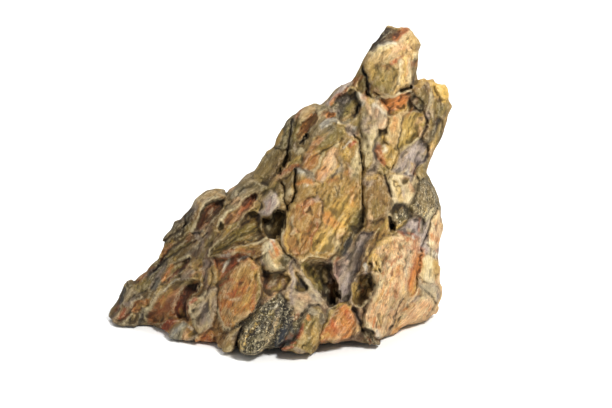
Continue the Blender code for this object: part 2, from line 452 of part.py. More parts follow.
    ("side_wall", -1.0, 5.0, 0.0, (-0.25, 0.0), False,
     [(361, 212), (362, 222), (359, 232), (352, 243), (344, 252), (338, 260), (333, 267), (330, 259),
      (337, 248), (344, 236), (352, 226)]),
    ("channel_bank", 1.0, 3.0, 0.0, (-0.2, 0.0), False,
     [(384, 217), (386, 222), (380, 235), (374, 248), (368, 258), (364, 268), (360, 274), (355, 277),
      (358, 266), (361, 256), (366, 246), (372, 236), (378, 226)]),
]

# Grooves and ridges: name, width in pixels, rise in millimetres, and the line they follow.
CREASES = [
    ("slab_groove", 2.4, -5.0, [(354, 136), (358, 142), (360, 155), (363, 168), (362, 182), (363, 195),
     (363, 208), (361, 219)]),
    ("left_crevice", 3.2, -7.0, [(297, 172), (294, 182), (295, 190), (292, 200), (288, 206), (286, 213)]),
    ("inner_crevice", 3.0, -5.0, [(283, 183), (286, 192), (285, 200), (287, 210)]),
    ("block_crack", 3.0, -6.0, [(363, 65), (366, 74), (368, 81), (367, 87), (367, 93), (370, 96)]),
    ("shard_crack", 1.6, -3.0, [(369, 83), (374, 88), (377, 95)]),
    ("lens_crack", 1.8, -3.5, [(402, 116), (401, 130), (398, 146), (400, 153), (396, 160), (392, 169)]),
    ("horn_crack", 2.4, -5.0, [(424, 112), (427, 120), (426, 130), (422, 137)]),
    ("flank_groove", 3.0, -4.0, [(293, 120), (291, 132), (288, 145), (286, 152)]),
    ("furrow_a", 3.0, -3.5, [(184, 215), (184, 224), (182, 234)]),
    ("furrow_b", 2.4, -2.5, [(191, 232), (198, 232)]),
    ("triangle_groove", 4.0, -5.0, [(353, 309), (357, 314), (360, 322), (362, 330)]),
    ("slab_seam", 2.2, -4.0, [(382, 340), (390, 329), (393, 319), (397, 310), (403, 300)]),
    ("edge_seam", 2.2, -4.0, [(437, 200), (437, 209), (432, 220), (427, 233), (423, 243), (420, 250)]),
    ("corner_seam", 1.6, -2.0, [(420, 288), (428, 294), (437, 303)]),
    ("lump_seam", 4.0, -5.0, [(241, 329), (238, 340), (236, 350), (234, 356)]),
    ("plate_step", 1.6, -2.0, [(318, 198), (322, 201), (323, 210), (321, 217), (317, 226)]),
    ("scoop_slit", 3.0, -4.0, [(354, 116), (357, 109), (360, 103)]),
    ("column_edge", 2.0, -3.0, [(385, 174), (388, 181), (389, 190), (392, 197)]),
    ("foot_crack", 1.6, -3.0, [(300, 317), (304, 312), (309, 307), (319, 305)]),
    ("cave_rim", 3.6, 1.2, [(292, 256), (294, 262), (299, 271), (306, 280), (312, 290), (318, 299),
     (325, 307)]),
    ("hood_rim", 2.2, 1.0, [(192, 231), (196, 219), (201, 210), (208, 203), (217, 198)]),
    ("slot_rim", 2.0, 1.2, [(214, 231), (219, 221), (228, 211), (238, 204), (247, 196)]),
    ("fan_rim", 2.4, 1.8, [(209, 258), (210, 251), (216, 245), (225, 236), (236, 229), (243, 221)]),
    ("bowl_rim", 2.4, 1.5, [(147, 312), (152, 302), (161, 294), (169, 285), (178, 280)]),
    ("leaf_rim", 2.2, 1.5, [(159, 284), (166, 274), (175, 264), (187, 256)]),
    ("pale_streak", 1.8, 1.2, [(313, 174), (317, 166), (321, 159), (326, 153)]),
    ("hollow_rim", 2.0, 1.5, [(379, 98), (392, 97), (402, 95), (410, 91)]),
    ("pit_a", 2.5, -3.0, [(376, 263), (377, 266)]),
    ("pit_b", 3.0, -4.0, [(375, 271), (377, 271)]),
    ("pit_c", 2.5, -3.0, [(380, 270), (380, 272)]),
    ("pit_d", 3.0, -3.0, [(369, 262), (371, 264), (371, 269)]),
    ("slab_pit", 2.2, -1.5, [(335, 188), (338, 194)]),
    ("corner_line", 2.0, -2.0, [(424, 289), (430, 294), (437, 302)]),
    ("flank_furrow_a", 2.6, -2.4, [(153, 271), (169, 258), (188, 244), (208, 233)]),
    ("flank_furrow_b", 2.4, -2.0, [(157, 265), (173, 247), (190, 231)]),
    ("flank_furrow_c", 2.6, -2.4, [(164, 243), (182, 227), (190, 216)]),
    ("flank_furrow_d", 2.2, -2.0, [(150, 289), (160, 275), (166, 267)]),
    ("flank_furrow_e", 2.4, -2.2, [(140, 289), (151, 274), (163, 260)]),
    ("fan_furrow_a", 1.8, -1.2, [(215, 246), (229, 234), (248, 220), (258, 215)]),
    ("fan_furrow_b", 1.8, -1.4, [(216, 252), (236, 240), (257, 226)]),
    ("fan_furrow_c", 1.8, -1.2, [(222, 254), (241, 246), (260, 239)]),
    ("hood_furrow", 1.8, -1.4, [(199, 226), (206, 215), (217, 204)]),
    ("upper_furrow", 2.4, -2.0, [(226, 207), (240, 192), (252, 182)]),
    ("ridge_furrow_a", 2.2, -2.0, [(191, 316), (204, 298), (211, 280), (213, 270)]),
    ("ridge_furrow_b", 2.2, -1.8, [(202, 281), (212, 264)]),
    ("tip_furrow_a", 2.4, -2.0, [(127, 303), (134, 295), (146, 289)]),
    ("tip_furrow_b", 2.4, -2.0, [(117, 320), (128, 314), (139, 301)]),
    ("slab_ridge", 3.5, 1.2, [(314, 252), (332, 231), (349, 204), (358, 186)]),
    ("slab_fold", 2.6, -1.4, [(303, 168), (313, 158), (330, 148), (342, 138)]),
    ("bank_edge", 2.0, 1.2, [(331, 272), (336, 264), (343, 256)]),
]


@dataclass
class Cell:
    """One cell of the face. Lengths on the view plane are in pixels, rises in millimetres."""

    name: str
    rise: float
    reach: float
    rim: float
    tilt: tuple
    levels: bool
    outline: list


def view_axes():
    """Right, forward and up of the view, as unit vectors."""
    sine, cosine = math.sin(VIEW_ELEVATION), math.cos(VIEW_ELEVATION)
    right = np.array([1.0, 0.0, 0.0])
    forward = np.array([0.0, cosine, -sine])
    up = np.array([0.0, sine, cosine])
    return right, forward, up


def to_plane(points):
    """Where points of the stone are seen on the view plane, in pixels."""
    right, forward, up = view_axes()
    away = points - VIEW_TARGET
    shrink = VIEW_DISTANCE / (VIEW_DISTANCE + away @ forward)
    across = PLANE_CENTRE[0] + (away @ right) * shrink / PIXEL
    down = PLANE_CENTRE[1] - (away @ up) * shrink / PIXEL
    return across, down


def from_plane(across, down, back_way):
    """The point seen at a place of the view plane that lies this far back from the target."""
    right, forward, up = view_axes()
    ray = forward * VIEW_DISTANCE
    ray = ray + right * ((across - PLANE_CENTRE[0]) * PIXEL) - up * ((down - PLANE_CENTRE[1]) * PIXEL)
    eye = VIEW_TARGET - forward * VIEW_DISTANCE
    return eye + ray * ((VIEW_TARGET[1] + back_way - eye[1]) / ray[1])


def plane_grid():
    """Pixel coordinates of every point of the view plane's map."""
    across = np.arange(PLANE_LOW[0], PLANE_HIGH[0] + 1, dtype=float)
    down = np.arange(PLANE_LOW[1], PLANE_HIGH[1] + 1, dtype=float)
    return np.meshgrid(across, down, indexing="ij")


def read_map(values, across, down):
    """The map's value at each place of the view plane, between its points in proportion."""
    a = np.clip(across - PLANE_LOW[0], 0, values.shape[0] - 1.001)
    d = np.clip(down - PLANE_LOW[1], 0, values.shape[1] - 1.001)
    i, j = a.astype(int), d.astype(int)
    s, t = a - i, d - j
    near = values[i, j] * (1 - s) + values[i + 1, j] * s
    far = values[i, j + 1] * (1 - s) + values[i + 1, j + 1] * s
    return near * (1 - t) + far * t


def soft_step(share):
    """A smooth rise from 0 to 1."""
    share = np.clip(share, 0.0, 1.0)
    return share * share * (3 - 2 * share)


def noise(places, seed):
    """Smooth noise from -1 to 1 at places that are counted in noise cells, one row each."""
    count = places.shape[1]
    table = np.random.default_rng(seed).uniform(-1, 1, (NOISE_SIDE,) * count)
    base = np.floor(places).astype(int)
    share = places - base
    share = share * share * (3 - 2 * share)
    total = np.zeros(len(places))
    for corner in itertools.product((0, 1), repeat=count):
        step = np.array(corner)
        weight = np.where(step == 1, share, 1 - share).prod(axis=1)
        total += weight * table[tuple(((base + step) % NOISE_SIDE).T)]
    return total


def spline_surface(points, across, down):
    """A thin-plate spline through points of (across, down, value)."""
    points = np.array(points, float)
    at, value = points[:, :2] / SPLINE_UNIT, points[:, 2]

    def bend(gap):
        return gap * np.log(np.maximum(gap, 1e-12)) / 2

    count = len(at)
    gaps = ((at[:, None] - at[None]) ** 2).sum(-1)
    system = np.zeros((count + 3, count + 3))
    system[:count, :count] = bend(gaps) + np.eye(count) * SPLINE_SLACK
    system[:count, count] = system[count, :count] = 1
    system[:count, count + 1:] = at
    system[count + 1:, :count] = at.T
    weights = np.linalg.solve(system, np.concatenate([value, np.zeros(3)]))
    a, d = across / SPLINE_UNIT, down / SPLINE_UNIT
    surface = weights[count] + weights[count + 1] * a + weights[count + 2] * d
    for (x, y), weight in zip(at, weights):
        surface = surface + weight * bend((a - x) ** 2 + (d - y) ** 2)
    return surface


def line_distance(corners, across, down):
    """Distance in pixels to a line through corners."""
    nearest = np.full(across.shape, 1e12)
    for (x0, y0), (x1, y1) in zip(corners, corners[1:]):
        ex, ey = x1 - x0, y1 - y0
        px, py = across - x0, down - y0
        along = np.clip((px * ex + py * ey) / max(ex * ex + ey * ey, 1e-12), 0, 1)
        nearest = np.minimum(nearest, (px - along * ex) ** 2 + (py - along * ey) ** 2)
    return np.sqrt(nearest)


def outline_distance(corners, across, down):
    """Distance to a closed outline in pixels, negative inside it."""
    closed = list(corners) + [corners[0]]
    inside = np.zeros(across.shape, bool)
    for (x0, y0), (x1, y1) in zip(closed, closed[1:]):
        crosses = (y0 > down) != (y1 > down)
        height = (y1 - y0) or 1e-12
        inside ^= crosses & (across - x0 < (x1 - x0) * (down - y0) / height)
    return np.where(inside, -1.0, 1.0) * line_distance(closed, across, down)


def rounded_corners(corners, times=2):
    """The outline with its corners cut off again and again, which rounds it."""
    points = np.array(corners, float)
    for _ in range(times):
        following = np.roll(points, -1, axis=0)
        before = points + CORNER_CUT * (following - points)
        after = following + CORNER_CUT * (points - following)
        points = np.stack([before, after], 1).reshape(-1, 2)
    return [tuple(point) for point in points]


def leaf_outline(centre, length, width, lean):
    """A leaf-shaped outline, pointed at both ends, leaning up to the right."""
    turn = np.linspace(0, 2 * math.pi, LEAF_CORNERS, endpoint=False)
    along = np.cos(turn) * length / 2
    aside = np.sin(turn) * np.abs(np.sin(turn)) ** LEAF_POINT * width / 2
    across = centre[0] + along * math.cos(lean) + aside * math.sin(lean)
    down = centre[1] - along * math.sin(lean) + aside * math.cos(lean)
    return list(zip(across, down))


def window(corners):
    """The slice of the view plane's map around some corners."""
    points = np.array(corners)
    low = np.maximum(points.min(axis=0) - MAP_MARGIN - PLANE_LOW, 0).astype(int)
    high = np.maximum(points.max(axis=0) + MAP_MARGIN - PLANE_LOW, 1).astype(int)
    return slice(low[0], high[0]), slice(low[1], high[1])


def wandering_grid(seed):
    """The view plane's grid with every place moved a little, so that straight edges wander."""
    across, down = plane_grid()
    places = np.stack([across.ravel(), down.ravel()], axis=1) / WANDER_LENGTH
    moved = []
    for number, values in enumerate((across, down)):
        finer = noise(places * WANDER_FINER, seed + number + FINER_SEED_STEP)
        shift = noise(places, seed + number) + WANDER_FINE_SHARE * finer
        moved.append(values + WANDER * shift.reshape(values.shape))
    return moved


def reach_of_side(away):
    """How much longer a cell's rise takes on its easy upper left side, and shorter on its steep one."""
    side = -(0.8 * away[0] + 0.6 * away[1]) / (np.hypot(*away) + MIDDLE_SIZE)
    return 1 + np.where(side > 0, EASY_SIDE, STEEP_SIDE) * side


def add_cell(relief, cell, across, down):
    """Raise or scoop one cell on the relief, which is in metres."""
    corners = rounded_corners(cell.outline)
    part = window(corners)
    inner = -outline_distance(corners, across[part], down[part])
    middle = np.array(corners).mean(axis=0)
    away = across[part] - middle[0], down[part] - middle[1]
    share = (inner + CELL_OVERLAP) / (cell.reach * reach_of_side(away))
    swell = 1 - (1 - np.clip(share, 0, 1)) ** 2
    profile = soft_step(share) if cell.reach < STEPPED_REACH else swell
    lean = cell.tilt[0] * away[0] + cell.tilt[1] * away[1]
    if cell.levels:
        relief[part] *= 1 - soft_step((inner + LEVEL_START) / LEVEL_REACH)
    rim = cell.rim * np.exp(-((inner + RIM_PLACE) / RIM_WIDTH) ** 2)
    relief[part] += MILLIMETRE * ((cell.rise + lean) * profile + rim)


def add_crease(relief, crease, across, down):
    """Cut a groove, or raise a ridge, along a line on the relief."""
    _, width, rise, corners = crease
    part = window(corners)
    gap = line_distance(corners, across[part], down[part])
    relief[part] += MILLIMETRE * rise * np.exp(-(gap / (GROOVE_SHARE * width)) ** 2)


def face_relief():
    """How far the face stands out of its smooth form, in metres, on the view plane's map."""
    across, down = wandering_grid(FACE_WANDER_SEED)
    relief = np.zeros(across.shape)
    for row in CELLS:
        add_cell(relief, Cell(*row), across, down)
    for crease in CREASES:
        add_crease(relief, crease, across, down)
    return relief


def back_relief():
    """The same for the back, whose cells are laid out in rows along the grain."""
    random = np.random.default_rng(BACK_CELL_SEED)
    across, down = wandering_grid(BACK_WANDER_SEED)
    relief = np.zeros(across.shape)
    low = np.array(PLANE_LOW)
    high = np.array(PLANE_HIGH)
    middle = (low + high) / 2
    cosine, sine = math.cos(GRAIN_LEAN), math.sin(GRAIN_LEAN)
    for row, column in itertools.product(BACK_ROWS, BACK_PLACES):
        along = (column + 0.5 * (row % 2)) * BACK_PITCH[0] + random.uniform(-BACK_SHIFT[0], BACK_SHIFT[0])
        aside = row * BACK_PITCH[1] + random.uniform(-BACK_SHIFT[1], BACK_SHIFT[1])
        lean = math.pi - GRAIN_LEAN + random.uniform(-BACK_LEAN, BACK_LEAN)
        place = middle - np.array([along * cosine - aside * sine, along * sine + aside * cosine])
        length = random.uniform(*BACK_LENGTH)
        width = random.uniform(*BACK_WIDTH)
        rise = random.uniform(*(BACK_SCOOP if random.random() < 0.5 else BACK_PLATE))
        tilt = tuple(random.uniform(-BACK_TILT, BACK_TILT, 2))
        reach = random.uniform(*BACK_REACH)
        if (place > low + MAP_MARGIN).all() and (place < high - MAP_MARGIN).all():
            outline = leaf_outline(place, length, width, lean)
            add_cell(relief, Cell("back", rise, reach, BACK_RIM, tilt, False, outline), across, down)
    return relief


def rounded_max(first, second, radius):
    """The larger of two fields, with the edge between them rounded."""
    gap = np.maximum(radius - np.abs(first - second), 0.0) / radius
    return np.maximum(first, second) + gap * gap * radius / 4


def grain_noise(points, cells, seed):
    """Rough ledges that run along the grain, in metres."""
    along = points[:, 0] * math.cos(GRAIN_LEAN) + points[:, 2] * math.sin(GRAIN_LEAN)
    aside = points[:, 0] * math.sin(GRAIN_LEAN) - points[:, 2] * math.cos(GRAIN_LEAN)
    total = np.zeros(len(points))
    for number, (length, width, depth, height) in enumerate(cells):
        places = np.stack([along / length, aside / width, points[:, 1] / depth], axis=1)
        total += height * (1 - 2 * np.abs(noise(places + GRAIN_NOISE_START, seed + number)))
    return total


def side_wander(points, away):
    """How far the sides wander from the outline, in pixels, growing away from the outline's own depth."""
    random = np.random.default_rng(SIDE_WAVE_SEED)
    share = soft_step(np.abs(away) / SIDE_WANDER_DEPTH)
    shifts = []
    for _ in range(2):
        shift = np.zeros(len(points))
        for _ in range(SIDE_WAVES):
            way = random.normal(size=3) * np.array(SIDE_WAVE_SPREAD)
            wave = 2 * math.pi * way / SIDE_WAVE_LENGTH
            shift += np.sin(points @ wave + random.uniform(0, 2 * math.pi))
        shifts.append(shift * share * SIDE_WANDER / math.sqrt(SIDE_WAVES / 2))
    return shifts


def shape_flanks(field, points, front_map, back_map):
    """Cut leaf-shaped scoops in the sides, behind the edge that makes the outline."""
    random = np.random.default_rng(FLANK_CELL_SEED)
    corners = np.array(OUTLINE, float)
    for _ in range(FLANK_CELLS):
        spot = random.integers(len(corners))
        across, down = corners[spot] + random.uniform(-FLANK_CELL_SHIFT, FLANK_CELL_SHIFT, 2)
        front = read_map(front_map, across, down)
        back = read_map(back_map, across, down)
        share = random.uniform(FLANK_CELL_FOREMOST, 1.0)
        size = np.array(FLANK_CELL_SIZE) * random.uniform(*FLANK_CELL_SCALE)
        lean = GRAIN_LEAN + random.uniform(-FLANK_CELL_LEAN, FLANK_CELL_LEAN)
        centre = from_plane(across, down, front + share * (back - front))
        if centre[2] < FLANK_CELL_LOWEST:
            continue
        long_way = np.array([math.cos(lean), random.uniform(-FLANK_CELL_YAW, FLANK_CELL_YAW), math.sin(lean)])
        long_way /= np.linalg.norm(long_way)
        wide_way = np.cross(long_way, [0.0, 1.0, 0.0])
        wide_way /= np.linalg.norm(wide_way)
        deep_way = np.cross(long_way, wide_way)
        away = points - centre
        near = np.flatnonzero((np.abs(away) < FLANK_CELL_BOX * size.max()).all(axis=1))
        axes = np.stack([long_way / size[0], wide_way / size[1], deep_way / size[2]], axis=1)
        reach = np.linalg.norm(away[near] @ axes, axis=1)
        field[near] = rounded_max(field[near], (1 - reach) * size[1], FLANK_CELL_ROUNDING)


def foot_field(points):
    """The underside: flat on a patch round the origin, and a little higher beyond it."""
    places = points[:, :2]
    beyond = np.linalg.norm(places / np.array(FOOT_PATCH), axis=1) - 1
    rough = 1 - FOOT_ROUGHNESS + FOOT_ROUGHNESS * noise(places / FOOT_CELL + FOOT_NOISE_START, FOOT_SEED)
    return FOOT_RECESS * soft_step(beyond / FOOT_RISE_SHARE) * rough - points[:, 2]


def grid_points(voxel):
    """The number of grid points each way, and the points, one row each."""
    size = np.round((BLOCK_HIGH - BLOCK_LOW) / voxel).astype(int) + 1
    axes = [BLOCK_LOW[n] + voxel * np.arange(size[n]) for n in range(3)]
    return size, np.stack(np.meshgrid(*axes, indexing="ij"), -1).reshape(-1, 3)


def stone_field(points):
    """The field at each point: below zero in the stone, and about its distance to the surface in metres."""
    plane_across, plane_down = plane_grid()
    front_map = spline_surface(FRONT_POINTS, plane_across, plane_down)
    back_map = spline_surface(BACK_POINTS, plane_across, plane_down)
    edge_map = outline_distance(OUTLINE, plane_across, plane_down) * PIXEL
    across, down = to_plane(points)
    back_way = points[:, 1] - VIEW_TARGET[1]
    front = read_map(front_map, across, down)
    back = read_map(back_map, across, down)
    face = read_map(face_relief(), across, down)
    rear = read_map(back_relief(), across, down)
    widest = front + WIDEST_SHARE * (back - front)
    shift_across, shift_down = side_wander(points, back_way - widest)
    drawn_in = read_map(edge_map, across + shift_across, down + shift_down)
    edge = np.maximum(read_map(edge_map, across, down), drawn_in)
    flank = edge + FLANK_TAPER * np.abs(back_way - widest)
    frontness = np.clip((widest - back_way) / FRONT_FADE, 0, 1)
    field = rounded_max(front - back_way - face, flank - face * frontness, EDGE_ROUNDING)
    field = rounded_max(field, back_way - back - rear, EDGE_ROUNDING)
    shape_flanks(field, points, front_map, back_map)
    field = rounded_max(field, foot_field(points), FOOT_ROUNDING)
    band = np.flatnonzero((np.abs(field) < BAND) & (points[:, 2] > 0))
    lift = soft_step(points[band, 2] / GROUND_FADE)
    field[band] -= grain_noise(points[band], GRAIN_CELLS, GRAIN_SEED) * lift
    behind = soft_step((back_way[band] - widest[band] - LEDGE_START) / LEDGE_FADE)
    field[band] += np.maximum(grain_noise(points[band], SIDE_LEDGES, LEDGE_SEED), 0) * lift * behind
    return field


def add_node(tree, kind, settings=None, **inputs):
    """A node with its settings, and its inputs set to values or linked to sockets."""
    node = tree.nodes.new(kind)
    for name, value in (settings or {}).items():
        setattr(node, name, value)
    for name, value in inputs.items():
        socket = node.inputs[int(name[1:])] if name[1:].isdigit() else node.inputs[name]
        if isinstance(value, bpy.types.NodeSocket):
            tree.links.new(value, socket)
        else:
            socket.default_value = value
    return node


def field_to_mesh_tree(size, voxel):
    """A node tree that reads a value from each vertex of a block of vertices and meshes where it is zero."""
    tree = bpy.data.node_groups.new("field_to_mesh", "GeometryNodeTree")
    tree.interface.new_socket("Geometry", in_out="INPUT", socket_type="NodeSocketGeometry")
    tree.interface.new_socket("Geometry", in_out="OUTPUT", socket_type="NodeSocketGeometry")
    block = tree.nodes.new("NodeGroupInput")
    low, high = BLOCK_LOW, BLOCK_LOW + (size - 1) * voxel
    place = tree.nodes.new("GeometryNodeInputPosition").outputs[0]
    from_low = add_node(tree, "ShaderNodeVectorMath", {"operation": "SUBTRACT"}, _0=place, _1=tuple(low))
    steps = add_node(tree, "ShaderNodeVectorMath", {"operation": "SCALE"},
                     _0=from_low.outputs[0], Scale=1 / voxel)
    whole = add_node(tree, "ShaderNodeVectorMath", {"operation": "ADD"}, _0=steps.outputs[0], _1=(0.5,) * 3)
    floor = add_node(tree, "ShaderNodeVectorMath", {"operation": "FLOOR"}, _0=whole.outputs[0])
    strides = (float(size[1] * size[2]), float(size[2]), 1.0)
    index = add_node(tree, "ShaderNodeVectorMath", {"operation": "DOT_PRODUCT"},
                     _0=floor.outputs[0], _1=strides)
    value = add_node(tree, "GeometryNodeInputNamedAttribute", {"data_type": "FLOAT"}, Name="depth")
    sample = add_node(tree, "GeometryNodeSampleIndex", {"data_type": "FLOAT", "clamp": True},
                      Geometry=block.outputs[0], Value=value.outputs[0], Index=index.outputs["Value"])
    volume = add_node(tree, "GeometryNodeVolumeCube", None, Density=sample.outputs[0], Background=-1.0,
                      Min=tuple(low), Max=tuple(high))
    for name, count in zip(("Resolution X", "Resolution Y", "Resolution Z"), size):
        volume.inputs[name].default_value = int(count)
    mesh = add_node(tree, "GeometryNodeVolumeToMesh", None, Volume=volume.outputs[0], Threshold=0.0)
    output = tree.nodes.new("NodeGroupOutput")
    tree.links.new(mesh.outputs[0], output.inputs[0])
    return tree


def block_of_vertices(size, field):
    """A mesh of loose vertices, one for each point of the grid, that carries the field."""
    mesh = bpy.data.meshes.new("block")
    mesh.vertices.add(int(size.prod()))
    depth = mesh.attributes.new("depth", "FLOAT", "POINT")
    depth.data.foreach_set("value", (-field).astype(np.float32))
    block = bpy.data.objects.new("block", mesh)
    bpy.context.scene.collection.objects.link(block)
    return block


def evaluated_copy(thing):
    """A new mesh of an object with its modifiers applied. The object is removed."""
    graph = bpy.context.evaluated_depsgraph_get()
    mesh = bpy.data.meshes.new_from_object(thing.evaluated_get(graph))
    bpy.data.objects.remove(thing)
    return mesh


def mesh_of_field(size, field, voxel):
    """The closed surface where the field is zero."""
    block = block_of_vertices(size, field)
    mesher = block.modifiers.new("mesher", "NODES")
    mesher.node_group = field_to_mesh_tree(size, voxel)
    mesh = evaluated_copy(block)
    bpy.data.node_groups.remove(bpy.data.node_groups["field_to_mesh"])
    return mesh


def keep_largest_body(mesh):
    """Remove every loose crumb, so that the mesh is one body."""
    work = bmesh.new()
    work.from_mesh(mesh)
    bodies = []
    unseen = set(work.verts)
    while unseen:
        body, border = [], [unseen.pop()]
        while border:
            vertex = border.pop()
            body.append(vertex)
            linked = {edge.other_vert(vertex) for edge in vertex.link_edges} & unseen
            unseen -= linked
            border.extend(linked)
        bodies.append(body)
    bodies.sort(key=len)
    crumbs = [vertex for body in bodies[:-1] for vertex in body]
    bmesh.ops.delete(work, geom=crumbs, context="VERTS")
    bmesh.ops.triangulate(work, faces=work.faces)
    work.to_mesh(mesh)
    work.free()


def thinned(mesh):
    """The mesh with its triangles brought down to the number wanted."""
    stone = bpy.data.objects.new("thinning", mesh)
    bpy.context.scene.collection.objects.link(stone)
    thinner = stone.modifiers.new("thinner", "DECIMATE")
    thinner.ratio = TRIANGLES / len(mesh.polygons)
    return evaluated_copy(stone)


def flatten_foot(mesh):
    """Bring what is just above the ground down to it, so that the foot is truly flat."""
    for vertex in mesh.vertices:
        if vertex.co.z < FOOT_SNAP:
            vertex.co.z = 0.0


def clay_material():
    """Fired-looking ochre clay."""
    material = bpy.data.materials.new("ochre_clay")
    material.use_nodes = True
    shader = material.node_tree.nodes["Principled BSDF"]
    shader.inputs["Base Color"].default_value = CLAY_COLOUR
    shader.inputs["Roughness"].default_value = CLAY_ROUGHNESS
    shader.inputs["Metallic"].default_value = 0.0
    return material


def main():
    """Clear the scene and build the stone in a collection of its own."""
    for thing in list(bpy.data.objects):
        bpy.data.objects.remove(thing)
    collection = bpy.data.collections.new(STONE_NAME)
    bpy.context.scene.collection.children.link(collection)
    size, points = grid_points(VOXEL)
    mesh = mesh_of_field(size, stone_field(points), VOXEL)
    keep_largest_body(mesh)
    mesh = thinned(mesh)
    flatten_foot(mesh)
    mesh.name = STONE_NAME
    mesh.materials.clear()
    mesh.materials.append(clay_material())
    mesh.shade_smooth()
    collection.objects.link(bpy.data.objects.new(STONE_NAME, mesh))


if __name__ == "__main__":
    main()
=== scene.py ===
"""The look of a dragon stone: a wedge of weathered clay, scooped and slabbed along one grain.

The stone's surface is worked out again here from the same few forms as its solid, at a finer grain: a front
and a back surface, an outline, and the cells of the face. Each cell also names the clay it is made
of, and a procedural material breaks those clays up into mottle, streaks, specks and dust.
"""

import itertools
import logging
import math
from dataclasses import dataclass, field
from enum import Enum

import bmesh
import bpy
import numpy as np
from mathutils import Matrix, Vector


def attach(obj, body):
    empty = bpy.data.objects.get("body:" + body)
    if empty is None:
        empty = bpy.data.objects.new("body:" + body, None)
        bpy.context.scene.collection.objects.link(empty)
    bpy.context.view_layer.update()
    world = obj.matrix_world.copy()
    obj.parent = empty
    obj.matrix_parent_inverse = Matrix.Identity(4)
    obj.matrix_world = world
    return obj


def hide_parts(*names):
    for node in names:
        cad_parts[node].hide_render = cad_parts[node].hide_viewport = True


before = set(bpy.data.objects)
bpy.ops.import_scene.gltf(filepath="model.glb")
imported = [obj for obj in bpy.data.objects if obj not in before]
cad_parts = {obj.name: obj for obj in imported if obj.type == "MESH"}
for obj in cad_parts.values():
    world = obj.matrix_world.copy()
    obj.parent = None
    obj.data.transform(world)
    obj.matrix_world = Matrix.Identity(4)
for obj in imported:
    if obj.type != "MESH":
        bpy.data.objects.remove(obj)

LOG = logging.getLogger("dragon_stone")
STONE_NODE = "dragon_stone"
SEED = 11
MM = 0.001


@dataclass(frozen=True)
class Finish:
    """One clay's colours as sRGB hex, and how much streak and speck its surface shows, from 0 to 1."""

    base: str
    partner: str
    accent: str
    streak: float
    speck: float


class Clay(Enum):
    """The kinds of clay that the stone is made of. BLACK is no clay but painted shade, laid into the deepest
    slits, crevices and holes.
    """

    BLACK = Finish("#1C150D", "#281F13", "#0F0B07", 0.1, 0.2)
    BLUE_BLACK = Finish("#2F3031", "#444543", "#1D1E1E", 0.2, 0.2)
    BROWN = Finish("#694C26", "#7F5E30", "#483017", 0.6, 0.3)
    BROWN_OCHRE = Finish("#73552D", "#876737", "#573C1D", 0.5, 0.3)
    CAVE_BROWN = Finish("#5A3B1D", "#6F4E26", "#33200E", 0.7, 0.2)
    CAVE_OCHRE = Finish("#866530", "#A17B3B", "#412F16", 0.4, 0.5)
    CAVE_OLIVE = Finish("#524220", "#6A5529", "#2C2210", 0.4, 0.3)
    CAVE_RED = Finish("#5F260F", "#7B3214", "#321409", 0.5, 0.2)
    CLAY_OLIVE = Finish("#5E4A32", "#6F5A3B", "#453720", 0.4, 0.3)
    CREAM = Finish("#C0A87C", "#CFBA91", "#A58754", 0.4, 0.15)
    CREAM_ORANGE = Finish("#B9965F", "#C7AA76", "#A8612D", 0.6, 0.15)
    DARK_BROWN = Finish("#402D19", "#533A1F", "#23190E", 0.5, 0.3)
    DARK_KHAKI = Finish("#574727", "#6A5832", "#3B301B", 0.5, 0.3)
    DARK_MOTTLE = Finish("#4E3D25", "#8B7146", "#251E12", 0.2, 0.9)
    DARK_OLIVE = Finish("#3D3118", "#514422", "#231F0E", 0.4, 0.3)
    GOLD = Finish("#A9823C", "#B99653", "#8C652A", 0.2, 0.2)
    KHAKI = Finish("#7B6537", "#907846", "#5D4A26", 0.5, 0.3)
    KHAKI_GREY = Finish("#756442", "#867250", "#5C4D2B", 0.5, 0.3)
    LILAC = Finish("#9A8980", "#AD9D91", "#7F6E62", 0.5, 0.15)
    LILAC_BROWN = Finish("#6A513B", "#7C6149", "#533826", 0.6, 0.25)
    OCHRE = Finish("#937038", "#A28148", "#775527", 0.5, 0.3)
    OLIVE = Finish("#6A5529", "#806937", "#4A3A1D", 0.5, 0.3)
    OLIVE_OCHRE = Finish("#6E5120", "#805F28", "#4A3415", 0.8, 0.2)
    ORANGE = Finish("#AA6B32", "#BB8948", "#8D3C1A", 0.9, 0.1)
    ORANGE_RUST = Finish("#B16C33", "#C28847", "#93401F", 0.7, 0.1)
    PALE_LILAC = Finish("#9A836A", "#AC9676", "#7A644D", 0.4, 0.15)
    PEACH = Finish("#C89E6E", "#D6B88C", "#B26937", 0.9, 0.1)
    RUST = Finish("#823F1E", "#9A5A32", "#5E2410", 0.6, 0.2)
    RUST_OCHRE = Finish("#916331", "#A37942", "#773C1B", 0.6, 0.25)
    SAGE = Finish("#8D8260", "#9D906B", "#746949", 0.3, 0.15)
    SLATE = Finish("#595346", "#6D6553", "#3D392F", 0.6, 0.25)
    SPECKLED = Finish("#74613F", "#8D784D", "#362D1D", 0.2, 0.85)
    SPECKLED_DARK = Finish("#463D29", "#6F6442", "#1D1B15", 0.3, 1.0)
    TAN = Finish("#967547", "#A78858", "#785931", 0.5, 0.2)
    TOP_CREAM = Finish("#BA965D", "#CAAA74", "#9C733E", 0.7, 0.15)
    YELLOW_KHAKI = Finish("#9C7F3E", "#B19555", "#7F622C", 0.15, 0.15)


# How the grain leans, up to the right from level, on the slabs and on the arm left of LEFT_LIMIT.
GRAIN_LEAN = math.radians(64.0)
LEFT_LEAN = math.radians(47.0)
LEFT_LIMIT = 225.0
# The arm's colours are darkened, from nothing at ARM_LIMIT to all of it ARM_FADE pixels further left.
ARM_LIMIT = 262.0
ARM_FADE = 60.0
ARM_DARKENING = 0.30
# How many small forms and faint washes are scattered over the face and the back.
FACE_CHIPS = 620
BACK_CHIPS = 520
FACE_WASHES = 210
BACK_WASHES = 150
SHARDS = 150


